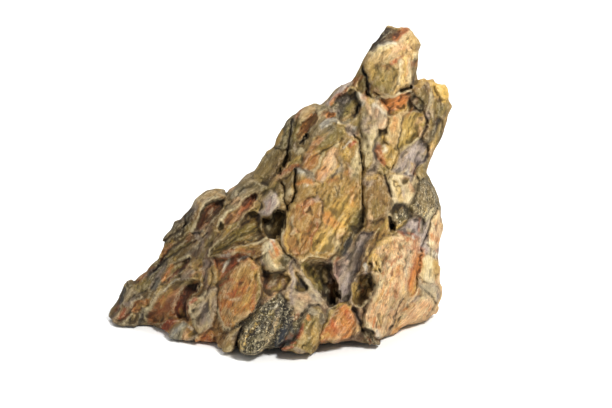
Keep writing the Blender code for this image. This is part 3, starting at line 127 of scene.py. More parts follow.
class Stain(Enum):
    """The colours of small streaks and patches, as sRGB hex."""

    BLACK = "#1B1610"
    BLUE_BLACK = "#2E3238"
    CREAM = "#DCC99C"
    DARK_BROWN = "#4A3520"
    DARK_OLIVE = "#4A3F24"
    GOLD = "#D3AC58"
    GREY = "#847D6E"
    LILAC = "#94847A"
    OCHRE = "#BE9850"
    OLIVE = "#857338"
    ORANGE = "#C67C3C"
    PALE_BLUE = "#9D9C94"
    PEACH = "#DDAF80"
    RED = "#A04424"
    RUST = "#9C562E"
    TAN = "#B49766"
    WHITE = "#EFE6CE"


CHIP_STAINS = (Stain.CREAM, Stain.OCHRE, Stain.GOLD, Stain.OLIVE, Stain.RUST, Stain.TAN, Stain.DARK_OLIVE,
               Stain.DARK_BROWN, Stain.PEACH, Stain.LILAC, Stain.OCHRE, Stain.OLIVE)
# Pale rim of cells and ridges: partly pale clay, partly painted highlight.
PALE_RIM_AND_HIGHLIGHT = "#D2BF95"
# Painted shade: the dark brown laid into grooves and hollows, where shade falls.
PAINTED_SHADE_BROWN = "#1A130B"
# Pale dust, and the painted highlight on small raised edges.
DUST_AND_HIGHLIGHT_CREAM = "#D9C9A2"
SPECK_BLACK = "#1D1A16"
PARTING_BROWN = "#4A371F"
MOSS_TINT = "#E8E2BE"


def srgb(code: str) -> tuple[float, float, float, float]:
    """Turn an sRGB hex code into Blender's linear colour.

    Args:
        code: The colour as #RRGGBB.

    Returns:
        Linear red, green, blue and an alpha of 1.
    """
    shares = [int(code[n:n + 2], 16) / 255 for n in (1, 3, 5)]
    linear = [s / 12.92 if s <= 0.04045 else ((s + 0.055) / 1.055) ** 2.4 for s in shares]
    return (linear[0], linear[1], linear[2], 1.0)


@dataclass(frozen=True)
class Cell:
    """One cell of the face. Lengths on the view plane are in photograph pixels, rises in millimetres."""

    name: str
    clay: Clay
    rise: float
    reach: float
    rim: float
    tilt: tuple[float, float]
    outline: list[tuple[float, float]]
    levels: bool = False


@dataclass(frozen=True)
class Crease:
    """A groove or ridge along a line: width in pixels and rise in millimetres."""

    name: str
    width: float
    rise: float
    line: list[tuple[float, float]]


@dataclass(frozen=True)
class Stroke:
    """A streak or patch of another colour: width in pixels and how well it covers, from 0 to 1."""

    stain: Stain
    width: float
    cover: float
    line: list[tuple[float, float]]


@dataclass(frozen=True)
class Ground:
    """A patch of clay that shows between the cells: its clay, place and radius in pixels."""

    clay: Clay
    at: tuple[float, float]
    radius: float


# The stone's outline as the photograph shows it, in pixels.
OUTLINE: list[tuple[float, float]] = [
    (108, 330), (109, 317), (112, 309), (119, 299), (123, 288), (127, 281), (131, 281), (135, 283),
    (139, 278), (148, 273), (152, 265), (157, 260), (160, 250), (162, 246), (160, 240), (164, 233),
    (170, 229), (174, 222), (180, 220), (184, 215), (190, 210), (194, 202), (200, 196), (208, 191),
    (216, 190), (224, 191), (226, 196), (230, 190), (238, 185), (244, 178), (251, 174), (258, 161),
    (265, 151), (273, 146), (275, 138), (281, 129), (290, 119), (297, 114), (300, 111), (306, 107),
    (314, 104), (320, 106), (328, 99), (335, 90), (341, 84), (349, 80), (356, 73), (363, 62),
    (369, 51), (371, 46), (375, 39), (381, 31), (388, 26), (395, 28), (401, 28), (409, 28),
    (414, 30), (419, 36), (422, 45), (418, 51), (418, 60), (416, 72), (417, 82), (424, 79),
    (433, 80), (436, 84), (443, 82), (448, 88), (448, 99), (451, 107), (449, 113), (445, 123),
    (440, 137), (434, 149), (429, 161), (425, 172), (431, 183), (436, 195), (440, 209), (442, 226),
    (440, 242), (438, 257), (439, 271), (441, 287), (440, 300), (437, 309), (433, 318), (426, 325),
    (416, 330), (406, 335), (398, 344), (391, 352), (382, 358), (370, 357), (358, 355), (338, 357),
    (328, 355), (320, 354), (318, 361), (310, 366), (302, 364), (290, 361), (280, 361), (265, 365),
    (250, 364), (231, 363), (216, 361), (214, 355), (202, 354), (187, 355), (173, 353), (163, 350),
    (157, 343), (151, 338), (141, 340), (129, 338), (119, 338), (112, 336),
]

# Points of the front and back surfaces: where they are in the view, and how far back, in metres.
FRONT_POINTS: list[tuple[float, float, float]] = [
    (110, 322, 0.016), (130, 328, 0.010), (152, 326, 0.008), (164, 338, -0.018), (187, 345, -0.034),
    (214, 345, -0.042), (232, 354, -0.066), (265, 357, -0.074), (290, 354, -0.068), (310, 357, -0.075),
    (340, 350, -0.052), (370, 349, -0.050), (386, 346, -0.042), (404, 328, -0.010), (424, 318, 0.008),
    (128, 290, 0.018), (150, 300, 0.000), (160, 262, 0.018), (175, 238, 0.014), (190, 250, 0.002),
    (205, 202, 0.012), (172, 302, -0.014), (215, 262, -0.014), (240, 293, -0.042), (238, 240, -0.022),
    (235, 210, -0.006), (250, 184, 0.008), (270, 225, -0.024), (275, 255, -0.042), (270, 160, 0.010),
    (290, 130, 0.008), (300, 330, -0.068), (262, 322, -0.064), (320, 285, -0.048), (300, 220, -0.040),
    (330, 230, -0.040), (310, 160, -0.016), (345, 160, -0.024), (340, 110, -0.004), (374, 200, -0.030),
    (370, 250, -0.038), (348, 262, -0.036), (392, 290, -0.046), (365, 345, -0.049), (335, 325, -0.053),
    (420, 290, -0.018), (437, 285, 0.008), (437, 225, 0.010), (418, 200, -0.012), (400, 215, -0.022),
    (395, 130, -0.016), (412, 128, -0.012), (430, 110, -0.002), (446, 105, 0.012), (390, 62, -0.010),
    (416, 48, 0.004), (382, 30, 0.010), (360, 76, 0.008),
]
BACK_POINTS: list[tuple[float, float, float]] = [
    (110, 322, 0.050), (135, 290, 0.052), (160, 245, 0.050), (200, 200, 0.052), (260, 160, 0.050),
    (200, 300, 0.072), (250, 250, 0.076), (300, 120, 0.048), (300, 300, 0.084), (320, 200, 0.076),
    (360, 80, 0.042), (380, 140, 0.056), (390, 30, 0.036), (415, 50, 0.034), (380, 250, 0.082),
    (380, 340, 0.084), (445, 100, 0.040), (430, 170, 0.052), (438, 240, 0.062), (436, 300, 0.066),
]

# The face's cells, from the largest forms to the smallest hollows.
CELLS: list[Cell] = [
    Cell("big_slab", Clay.OCHRE, 7, 4, 0, (0.03, 0.03), [(352, 134), (357, 140), (360, 155), (362, 175),
        (362, 195), (361, 208), (356, 218), (350, 226), (345, 233), (340, 240), (336, 248), (331, 255),
        (326, 259), (318, 258), (308, 260), (301, 266), (293, 256), (283, 252), (281, 243), (282, 232),
        (284, 222), (287, 212), (291, 204), (294, 195), (296, 185), (297, 175), (303, 165), (304, 155),
        (310, 146), (318, 138), (330, 130), (342, 126)]),
    Cell("peach_slab", Clay.PEACH, 7, 4, 0.8, (-0.1, 0.03), [(392, 234), (382, 240), (376, 247), (368, 255),
        (364, 262), (366, 272), (373, 279), (374, 287), (370, 297), (366, 307), (363, 317), (365, 325),
        (369, 329), (375, 331), (377, 337), (382, 338), (387, 334), (390, 327), (393, 318), (396, 310),
        (400, 303), (404, 296), (408, 289), (409, 279), (412, 269), (415, 258), (418, 248), (418, 239),
        (411, 235), (403, 232)]),
    Cell("top_block", Clay.TOP_CREAM, 6, 3, 0.6, (-0.12, 0.04), [(364, 66), (366, 60), (370, 53), (374, 47),
        (380, 42), (389, 41), (394, 41), (398, 37), (403, 32), (409, 28), (416, 30), (419, 35), (423, 46),
        (421, 49), (417, 54), (413, 60), (411, 74), (411, 84), (405, 88), (400, 89), (397, 93), (392, 96),
        (385, 97), (377, 95), (373, 89), (368, 80), (366, 72)]),
    Cell("column", Clay.BROWN_OCHRE, 6, 8, 0.6, (-0.12, 0.06), [(364, 176), (368, 170), (374, 171),
        (382, 173), (386, 176), (388, 183), (389, 190), (391, 197), (391, 204), (388, 212), (384, 216),
        (377, 221), (371, 223), (366, 221), (364, 212), (364, 199), (363, 186)]),
    Cell("orange_leaf", Clay.ORANGE, 6, 5, 1, (0.09, 0.05), [(249, 256), (244, 260), (237, 265), (230, 272),
        (225, 280), (220, 289), (217, 298), (216, 309), (217, 320), (222, 328), (231, 330), (240, 322),
        (248, 315), (255, 308), (260, 298), (263, 286), (262, 274), (257, 264)]),
    Cell("dark_slab", Clay.SPECKLED_DARK, 6, 4, 0, (-0.08, 0.07), [(276, 292), (270, 297), (262, 304),
        (256, 310), (253, 317), (246, 323), (242, 329), (241, 341), (239, 352), (246, 357), (256, 356),
        (265, 351), (270, 341), (275, 333), (280, 324), (282, 315), (284, 303), (282, 297)]),
    Cell("foot_slab", Clay.KHAKI, 8, 4, 0.6, (-0.1, 0.05), [(307, 306), (318, 305), (324, 309), (326, 317),
        (323, 324), (319, 334), (319, 345), (317, 354), (310, 360), (300, 357), (292, 353), (281, 352),
        (286, 347), (294, 339), (298, 332), (301, 322), (305, 314)]),
    Cell("orange_triangle", Clay.ORANGE_RUST, 5, 3, 0, (-0.1, 0.06), [(345, 302), (339, 306), (333, 310),
        (330, 311), (327, 318), (324, 323), (322, 329), (319, 335), (319, 346), (325, 343), (330, 341),
        (333, 344), (341, 341), (350, 340), (354, 332), (357, 327), (356, 318), (353, 311), (350, 306)]),
    Cell("tan_lump", Clay.TAN, 5, 7, 0, (0, 0.08), [(217, 345), (221, 339), (227, 332), (236, 329),
        (241, 327), (239, 339), (234, 345), (233, 352), (232, 357), (222, 355), (215, 352)]),
    Cell("speckled_plate", Clay.SPECKLED, 5, 3, 0.6, (-0.15, 0.05), [(423, 178), (428, 180), (431, 185),
        (434, 193), (437, 200), (437, 208), (434, 215), (430, 220), (426, 222), (421, 218), (416, 214),
        (412, 210), (412, 204), (414, 197), (416, 190), (416, 184)]),
    Cell("knob", Clay.CREAM_ORANGE, 7.5, 9, 0, (0, 0), [(267, 239), (274, 239), (280, 245), (282, 252),
        (288, 253), (292, 258), (291, 266), (287, 271), (280, 271), (274, 270), (268, 266), (265, 260),
        (264, 254), (265, 248)]),
    Cell("lump_over_cave", Clay.LILAC, 6, 8, 0, (0, 0), [(270, 188), (265, 197), (261, 204), (260, 212),
        (264, 216), (270, 216), (276, 210), (282, 206), (280, 199), (275, 194)]),
    Cell("hood_cap", Clay.TAN, 4, 4, 0, (-0.05, -0.1), [(190, 214), (193, 204), (200, 196), (208, 191),
        (216, 190), (224, 191), (226, 196), (216, 199), (208, 204), (200, 212), (194, 224)]),
    Cell("pale_ridge", Clay.PALE_LILAC, 4, 6, 0, (0.1, 0.08), [(218, 285), (210, 287), (203, 293),
        (199, 300), (194, 312), (193, 322), (197, 330), (203, 335), (210, 330), (214, 318), (215, 305),
        (218, 295)]),
    Cell("red_nub", Clay.CREAM, 5, 5, 0, (0, 0), [(198, 297), (192, 298), (187, 301), (184, 305), (187, 310),
        (192, 318), (200, 315), (205, 302), (203, 296)]),
    Cell("ochre_nub", Clay.OCHRE, 4, 3, 0, (0, 0), [(199, 283), (195, 289), (196, 293), (201, 291),
        (202, 284)]),
    Cell("tip_lump", Clay.CLAY_OLIVE, 3, 5, 0, (0, 0.08), [(110, 322), (113, 308), (120, 297), (128, 283),
        (136, 290), (148, 300), (143, 316), (138, 328), (120, 328)]),
    Cell("flank_ridge", Clay.OLIVE, 2.5, 6, 0, (0.1, 0), [(160, 240), (165, 233), (172, 226), (182, 220),
        (190, 212), (196, 205), (194, 222), (190, 236), (180, 248), (168, 252), (160, 250)]),
    Cell("striated_ledge", Clay.BROWN, 3.5, 5, 0, (0.03, 0.15), [(215, 257), (222, 252), (235, 246),
        (250, 243), (262, 241), (268, 240), (268, 248), (262, 256), (255, 258), (248, 256), (240, 255),
        (228, 258), (218, 259)]),
    Cell("khaki_flank", Clay.KHAKI, 2, 5, 0, (0.1, -0.05), [(251, 174), (258, 161), (265, 151), (273, 147),
        (280, 152), (281, 162), (277, 172), (270, 178), (262, 184), (254, 186)]),
    Cell("grey_flank", Clay.KHAKI_GREY, 2, 5, 0, (0.1, -0.05), [(228, 196), (238, 186), (250, 176),
        (262, 185), (268, 188), (262, 194), (257, 192), (250, 194), (240, 202), (230, 208), (226, 205)]),
    Cell("dark_flank", Clay.DARK_OLIVE, 2.5, 5, 0, (-0.15, 0), [(281, 130), (290, 120), (297, 114),
        (300, 118), (296, 130), (290, 145), (284, 150), (276, 150), (274, 140)]),
    Cell("rust_ridge", Clay.BROWN, 3, 3, 0, (0, 0.1), [(278, 177), (290, 168), (300, 160), (304, 164),
        (296, 171), (286, 177), (280, 181)]),
    Cell("tan_knuckle", Clay.TAN, 4, 4, 0, (0, 0), [(300, 110), (306, 106), (314, 105), (319, 108),
        (316, 114), (308, 120), (300, 127), (298, 118)]),
    Cell("khaki_face", Clay.KHAKI_GREY, 1.5, 3, 0, (-0.05, -0.08), [(318, 122), (330, 118), (338, 118),
        (338, 124), (336, 140), (328, 145), (318, 147), (308, 145), (310, 136), (315, 128)]),
    Cell("rust_face", Clay.RUST_OCHRE, 1.2, 3, 0, (-0.1, 0), [(304, 155), (310, 147), (318, 146), (323, 152),
        (320, 162), (312, 172), (304, 170), (302, 164)]),
    Cell("peach_patch", Clay.PEACH, 1, 3, 0, (0.08, 0), [(322, 160), (330, 150), (335, 155), (338, 165),
        (333, 175), (325, 180), (316, 180), (314, 175), (318, 168)]),
    Cell("mottled_face", Clay.OCHRE, 1, 3, 0, (0, 0), [(297, 176), (303, 171), (312, 174), (316, 180),
        (322, 184), (318, 194), (308, 198), (296, 202), (293, 198), (296, 188)]),
    Cell("rust_plate", Clay.RUST_OCHRE, 1.6, 5, 0, (0.09, -0.01), [(295, 203), (300, 200), (310, 199),
        (318, 198), (322, 202), (323, 212), (320, 218), (317, 226), (314, 234), (310, 243), (307, 252),
        (300, 255), (292, 252), (284, 250), (282, 240), (284, 226), (287, 214), (291, 206)]),
    Cell("golden_bowl", Clay.GOLD, -2.5, 11, 0, (0, 0), [(322, 205), (330, 200), (340, 196), (350, 192),
        (359, 194), (360, 205), (354, 217), (346, 226), (338, 236), (333, 246), (326, 253), (315, 254),
        (309, 250), (313, 240), (318, 228), (322, 216)]),
    Cell("khaki_bump", Clay.KHAKI, 4, 5, 0, (0, 0), [(363, 132), (372, 128), (378, 135), (372, 148),
        (376, 160), (372, 168), (366, 170), (362, 160), (360, 145)]),
    Cell("olive_bump", Clay.KHAKI, 3, 4, 0, (0, 0), [(374, 162), (382, 160), (388, 166), (388, 174),
        (380, 172), (374, 170)]),
    Cell("pale_shoulder", Clay.PALE_LILAC, 3.5, 4, 0, (0, 0), [(362, 98), (372, 94), (380, 98), (386, 108),
        (387, 118), (386, 130), (380, 128), (376, 136), (370, 148), (365, 140), (362, 125), (360, 110)]),
    Cell("ochre_column", Clay.CREAM_ORANGE, 3, 4, 0, (-0.1, 0), [(387, 112), (396, 108), (401, 113),
        (401, 128), (398, 142), (396, 148), (390, 143), (384, 140), (387, 133), (388, 122)]),
    Cell("pitted_nodule", Clay.GOLD, 3, 4, 0, (0.1, 0), [(377, 148), (384, 144), (392, 143), (396, 148),
        (400, 153), (397, 160), (391, 166), (386, 164), (380, 158), (377, 153)]),
    Cell("cream_field", Clay.CREAM, 2.5, 3, 0, (0, -0.08), [(391, 174), (400, 172), (408, 177), (411, 184),
        (414, 192), (411, 200), (408, 206), (404, 203), (397, 203), (393, 206), (392, 198), (390, 190),
        (388, 182)]),
    Cell("small_khaki", Clay.KHAKI, 2, 3, 0, (0, 0), [(416, 168), (421, 163), (425, 160), (426, 172),
        (426, 177), (420, 178), (416, 176)]),
    Cell("horn_rough", Clay.BROWN_OCHRE, 3, 3, 0, (-0.1, 0), [(417, 84), (424, 80), (430, 84), (432, 96),
        (428, 112), (424, 110), (418, 108), (412, 105), (408, 100), (412, 92)]),
    Cell("horn_gold", Clay.GOLD, 3, 3, 0, (-0.1, 0), [(433, 81), (442, 83), (448, 90), (448, 99), (441, 98),
        (437, 92)]),
    Cell("horn_tip", Clay.KHAKI, 2, 3, 0, (0, 0), [(437, 98), (446, 100), (451, 107), (449, 113), (444, 122),
        (438, 115), (435, 108)]),
    Cell("horn_dark", Clay.DARK_KHAKI, -1, 3, 0, (-0.3, 0), [(428, 140), (432, 122), (438, 116), (445, 122),
        (440, 137), (434, 149), (430, 158), (427, 150)]),
    Cell("edge_strip", Clay.PEACH, 2, 3, 0, (-0.15, 0), [(430, 222), (434, 215), (438, 208), (441, 215),
        (443, 228), (441, 243), (434, 250), (427, 245), (428, 235)]),
    Cell("ochre_panel", Clay.GOLD, 2.5, 3, 0, (-0.1, 0.05), [(418, 255), (425, 252), (432, 255), (440, 262),
        (440, 275), (436, 282), (425, 283), (420, 278), (418, 268)]),
    Cell("peach_facet", Clay.PEACH, 2.5, 2.5, 0, (-0.08, -0.05), [(414, 300), (424, 295), (434, 300),
        (432, 311), (426, 320), (412, 324), (402, 329), (395, 330), (400, 318), (408, 308)]),
    Cell("foot_knob", Clay.DARK_MOTTLE, 3, 4, 0, (0, 0.08), [(363, 328), (370, 328), (374, 332), (377, 338),
        (382, 345), (380, 351), (372, 350), (366, 342), (362, 335)]),
    Cell("sage_facet", Clay.SAGE, 2, 2.5, 0, (-0.1, 0.08), [(187, 322), (179, 323), (174, 327), (170, 334),
        (165, 340), (174, 344), (181, 343), (185, 334), (187, 328)]),
    Cell("rust_toe", Clay.RUST_OCHRE, 1.5, 3, 0, (0, 0.08), [(188, 322), (192, 325), (197, 333), (203, 336),
        (198, 342), (190, 346), (182, 345), (185, 335)]),
    Cell("clay_channel", Clay.LILAC, -7, 3, 0, (0.12, -0.02), [(361, 230), (368, 232), (377, 231),
        (373, 236), (368, 242), (364, 247), (361, 255), (358, 262), (357, 269), (354, 277), (351, 285),
        (350, 293), (348, 301), (340, 303), (337, 296), (336, 285), (333, 277), (331, 272), (333, 270),
        (338, 261), (345, 254), (351, 247), (355, 239), (359, 233)], levels=True),
    Cell("clay_saddle", Clay.LILAC, -4, 3, 0, (-0.1, 0.05), [(422, 135), (428, 143), (429, 148), (427, 154),
        (424, 161), (420, 163), (416, 167), (415, 170), (413, 176), (411, 184), (408, 176), (403, 174),
        (399, 172), (393, 170), (398, 162), (401, 154), (406, 149), (410, 145), (417, 140)], levels=True),
    Cell("clay_fill", Clay.PALE_LILAC, 1, 3, 0, (0, 0), [(284, 290), (292, 288), (300, 293), (310, 290),
        (320, 300), (318, 304), (308, 304), (303, 310), (296, 318), (291, 306), (287, 300)]),
    Cell("clay_strip", Clay.LILAC, -2, 3, 0, (0, 0), [(394, 231), (401, 228), (408, 222), (414, 217),
        (420, 221), (418, 230), (412, 235), (402, 232)]),
    Cell("clay_foot", Clay.LILAC_BROWN, -3, 3, 0, (0, 0), [(319, 347), (329, 341), (340, 341), (352, 341),
        (365, 346), (371, 351), (338, 351)]),
    Cell("clay_wall", Clay.LILAC_BROWN, 1, 3, 0, (0.2, 0), [(202, 260), (215, 258), (218, 270), (216, 285),
        (205, 290), (201, 280), (203, 270)]),
    Cell("clay_mottle", Clay.LILAC_BROWN, -0.5, 4, 0, (0, 0), [(194, 230), (205, 226), (213, 228),
        (215, 236), (210, 248), (208, 258), (196, 258), (188, 254), (196, 246), (203, 238)]),
    Cell("edge_clay", Clay.LILAC, 1, 3, 0, (0, -0.1), [(328, 100), (335, 91), (341, 85), (349, 81),
        (352, 84), (345, 90), (338, 97), (332, 104), (324, 107)]),
    Cell("corner_clay", Clay.PALE_LILAC, 0, 3, 0, (0, 0), [(420, 284), (436, 283), (441, 290), (439, 300),
        (430, 296), (422, 292)]),
    Cell("blue_streak", Clay.SLATE, -2, 3, 0, (0, 0), [(166, 258), (160, 266), (155, 275), (150, 288),
        (153, 292), (160, 280), (165, 270), (169, 262)]),
    Cell("arch_cave", Clay.CAVE_OLIVE, -19, 4, 1, (-0.5, -0.22), [(318, 260), (324, 261), (330, 264),
        (331, 270), (334, 277), (337, 285), (337, 295), (336, 303), (331, 308), (325, 300), (318, 290),
        (308, 278), (303, 269), (309, 262)]),
    Cell("oval_cave", Clay.CAVE_OCHRE, -13, 7, 1, (-0.35, 0), [(360, 274), (356, 279), (353, 285),
        (350, 292), (350, 297), (353, 304), (358, 308), (365, 302), (368, 297), (369, 292), (373, 286),
        (374, 281), (371, 275), (369, 272), (365, 274)]),
    Cell("square_cave", Clay.CAVE_OLIVE, -17, 4, 0.8, (-0.4, 0), [(261, 216), (267, 217), (271, 216),
        (275, 211), (280, 210), (286, 212), (285, 219), (283, 227), (281, 236), (279, 240), (272, 240),
        (266, 239), (262, 234), (261, 225)]),
    Cell("olive_fan", Clay.OLIVE_OCHRE, -6, 6, 1.2, (-0.1, 0.02), [(210, 258), (210, 253), (215, 246),
        (219, 241), (225, 237), (232, 232), (239, 226), (242, 219), (248, 213), (254, 212), (261, 215),
        (260, 223), (261, 232), (265, 239), (258, 242), (251, 242), (244, 245), (235, 246), (228, 249),
        (222, 252), (216, 255)]),
    Cell("red_slot", Clay.RUST, -3.5, 4, 0.9, (-0.06, 0.04), [(257, 193), (258, 198), (254, 202), (251, 208),
        (246, 212), (240, 216), (237, 221), (232, 223), (227, 225), (223, 225), (224, 221), (228, 215),
        (234, 209), (241, 203), (246, 198), (252, 194)]),
    Cell("green_pit", Clay.DARK_OLIVE, -4, 2, 0, (0, 0), [(218, 222), (221, 221), (224, 226), (223, 229),
        (219, 230), (217, 227)]),
    Cell("hood_scoop", Clay.CAVE_BROWN, -5, 6, 0.6, (-0.08, -0.05), [(225, 197), (216, 200), (208, 204),
        (203, 210), (199, 215), (196, 222), (194, 231), (200, 227), (207, 222), (213, 218), (218, 214),
        (222, 209), (224, 203)]),
    Cell("leaf_scoop", Clay.RUST, -4, 4, 0.8, (-0.06, 0.02), [(190, 257), (189, 263), (184, 269), (178, 273),
        (173, 275), (168, 280), (163, 281), (160, 278), (165, 271), (171, 265), (177, 261), (183, 259)]),
    Cell("red_bowl", Clay.RUST_OCHRE, -5, 7, 0.9, (-0.05, 0), [(200, 281), (194, 280), (178, 280),
        (168, 285), (160, 291), (152, 303), (146, 313), (147, 319), (160, 324), (170, 321), (178, 320),
        (190, 319), (188, 311), (187, 304), (190, 296), (198, 288)]),
    Cell("red_cave", Clay.CAVE_RED, -6, 5, 0, (-0.2, 0), [(199, 283), (192, 284), (185, 288), (180, 295),
        (176, 303), (174, 312), (178, 318), (188, 318), (188, 311), (186, 304), (189, 296), (196, 291)]),
    Cell("under_knob", Clay.CAVE_BROWN, -5.5, 4, 0, (-0.08, 0.15), [(262, 262), (266, 269), (274, 273),
        (284, 274), (289, 276), (288, 284), (284, 292), (270, 297), (263, 290), (261, 275)]),
    Cell("triangle_pocket", Clay.DARK_OLIVE, -4, 3, 0.6, (0, 0), [(296, 271), (300, 276), (306, 284),
        (308, 290), (302, 292), (296, 290), (294, 280)]),
    Cell("blue_scoop", Clay.SLATE, -8, 6, 0.8, (-0.2, 0.05), [(357, 91), (348, 91), (342, 95), (338, 100),
        (335, 105), (336, 110), (338, 115), (339, 121), (344, 125), (351, 121), (354, 115), (359, 109),
        (361, 104), (358, 98)]),
    Cell("rust_leaf", Clay.RUST_OCHRE, -3.5, 4, 0.8, (0, -0.15), [(318, 113), (319, 119), (313, 127),
        (306, 136), (299, 140), (297, 138), (301, 130), (308, 121), (314, 116)]),
    # Painted shade: black in the deep slits.
    Cell("black_slit", Clay.BLACK, -10, 1.5, 0, (0, 0), [(299, 143), (302, 139), (308, 135), (309, 137),
        (305, 140), (301, 143)]),
    Cell("flank_slit", Clay.BLACK, -9, 2, 0, (0, 0), [(285, 152), (288, 155), (287, 165), (283, 171),
        (278, 174), (281, 167), (283, 158)]),
    Cell("yellow_lens", Clay.YELLOW_KHAKI, -4.5, 9, 1, (-0.1, 0.03), [(403, 114), (411, 111), (421, 112),
        (427, 119), (426, 126), (421, 133), (413, 140), (407, 145), (403, 151), (400, 151), (398, 146),
        (400, 138), (402, 128), (402, 119)]),
    Cell("orange_hollow", Clay.ORANGE, -3.5, 5, 0.5, (0, -0.12), [(379, 103), (384, 98), (392, 97),
        (401, 95), (407, 93), (411, 93), (408, 98), (406, 103), (404, 108), (398, 111), (393, 115),
        (388, 117), (385, 111), (381, 107)]),
    # Painted shade: black in the crevice under the block.
    Cell("block_crevice", Clay.BLACK, -8, 1.5, 0, (0, 0), [(398, 92), (404, 89), (411, 85), (412, 88),
        (406, 92), (401, 94)]),
    Cell("cap_shade", Clay.DARK_BROWN, -3, 3, 0, (0, 0), [(371, 46), (375, 39), (381, 31), (388, 26),
        (395, 28), (403, 29), (398, 36), (392, 41), (384, 41), (376, 46), (371, 51)]),
    Cell("block_side", Clay.KHAKI_GREY, -3, 2.5, 0, (0, 0), [(412, 62), (418, 57), (417, 72), (418, 83),
        (411, 85), (411, 73)]),
    Cell("dark_rhombus", Clay.DARK_OLIVE, -2, 2, 0, (0, 0), [(381, 129), (387, 128), (388, 133), (381, 137),
        (377, 138), (378, 134)]),
    # Painted shade: black in the hole by the nodule.
    Cell("nodule_hole", Clay.BLACK, -14, 1.5, 0, (0, 0), [(387, 216), (390, 216), (391, 221), (394, 226),
        (392, 231), (390, 228), (388, 222)]),
    Cell("nodule_moat", Clay.DARK_OLIVE, -1, 3, 0, (0, 0), [(392, 207), (399, 203), (404, 203), (410, 208),
        (412, 214), (414, 217), (410, 219), (408, 223), (401, 228), (395, 230), (391, 222), (390, 214)]),
    Cell("dark_nodule", Clay.DARK_MOTTLE, 3.5, 5, 0, (0, 0), [(394, 210), (399, 206), (404, 206), (408, 211),
        (409, 217), (406, 221), (401, 225), (396, 227), (393, 221), (392, 215)]),
    Cell("olive_patch", Clay.OLIVE, -2, 2, 0, (0, 0), [(402, 180), (405, 178), (409, 178), (408, 183),
        (404, 185), (401, 184)]),
    Cell("orange_strip", Clay.ORANGE, -3, 3, 0, (-0.1, 0), [(419, 250), (421, 262), (418, 275), (418, 290),
        (414, 297), (408, 298), (406, 290), (409, 278), (412, 268), (414, 258)]),
    Cell("slab_notch", Clay.TAN, -3, 3, 0, (0, 0), [(364, 262), (370, 258), (373, 265), (371, 272),
        (366, 273)]),
    Cell("rust_trough", Clay.RUST, -2, 4, 0, (0, 0.1), [(216, 259), (228, 259), (240, 257), (248, 258),
        (240, 264), (230, 272), (222, 280), (219, 285), (216, 275), (214, 265)]),
    Cell("tip_streak", Clay.ORANGE_RUST, -2, 3, 0, (0, 0), [(131, 309), (133, 303), (140, 300), (150, 298),
        (148, 306), (142, 311), (136, 312)]),
    Cell("red_streak", Clay.RUST, -2, 3, 0, (0, 0), [(159, 330), (166, 322), (176, 319), (172, 326),
        (168, 334), (164, 340), (159, 335)]),
    Cell("block_lower", Clay.KHAKI, -0.5, 3.5, 0, (0, 0.08), [(369, 68), (378, 62), (390, 64), (397, 72),
        (396, 92), (385, 96), (377, 93), (371, 84)]),
    Cell("block_right", Clay.TOP_CREAM, 1.5, 1.5, 0, (-0.15, 0), [(399, 57), (408, 52), (411, 62), (411, 84),
        (400, 88), (397, 75)]),
    Cell("block_shoulder", Clay.LILAC_BROWN, -1, 2, 0, (0, 0), [(411, 46), (417, 42), (421, 44), (423, 48),
        (418, 51), (412, 51)]),
    Cell("cap_strip", Clay.RUST, 0.5, 2, 0, (0, 0), [(408, 28), (402, 30), (396, 34), (390, 39), (391, 42),
        (396, 41), (401, 37), (407, 31)]),
    Cell("block_shard", Clay.OCHRE, 3, 2, 0, (0, 0), [(368, 84), (371, 83), (374, 88), (378, 95), (377, 98),
        (371, 97), (368, 92)]),
    Cell("block_wedge", Clay.OLIVE, 1, 3, 0, (0.1, 0), [(351, 80), (357, 72), (363, 64), (366, 74),
        (366, 90), (358, 90), (351, 86)]),
    Cell("orange_lens", Clay.ORANGE_RUST, -1.5, 2, 0, (0, 0), [(326, 117), (329, 112), (335, 111),
        (336, 115), (330, 119)]),
    Cell("horn_shadow", Clay.DARK_BROWN, -4, 3, 0, (0.1, 0), [(407, 98), (414, 93), (422, 96), (425, 104),
        (423, 112), (414, 110), (408, 112), (405, 106)]),
    Cell("horn_stripe", Clay.PALE_LILAC, 1, 2, 0, (-0.2, 0), [(431, 95), (437, 94), (436, 108), (434, 122),
        (431, 124), (430, 110)]),
    Cell("knob_moss", Clay.DARK_OLIVE, -1.5, 2, 0, (0, 0), [(280, 253), (287, 253), (291, 258), (290, 264),
        (284, 266), (279, 261)]),
    Cell("rust_heel", Clay.ORANGE_RUST, 1.5, 3, 0, (0, 0), [(196, 334), (204, 330), (212, 331), (217, 338),
        (214, 345), (200, 346), (192, 345)]),
    Cell("cave_fold", Clay.KHAKI, 3, 3, 0, (0, 0), [(322, 270), (326, 267), (329, 276), (328, 285),
        (324, 284)]),
    Cell("blue_black_facet", Clay.BLUE_BLACK, 1, 2.5, 0, (0, 0), [(276, 338), (279, 331), (285, 326),
        (291, 325), (293, 331), (291, 340), (288, 347), (281, 350), (275, 347)]),
    Cell("side_wall", Clay.DARK_KHAKI, -1, 5, 0, (-0.25, 0), [(361, 212), (362, 222), (359, 232), (352, 243),
        (344, 252), (338, 260), (333, 267), (330, 259), (337, 248), (344, 236), (352, 226)]),
    Cell("channel_bank", Clay.BROWN, 1, 3, 0, (-0.2, 0), [(384, 217), (386, 222), (380, 235), (374, 248),
        (368, 258), (364, 268), (360, 274), (355, 277), (358, 266), (361, 256), (366, 246), (372, 236),
        (378, 226)]),
]

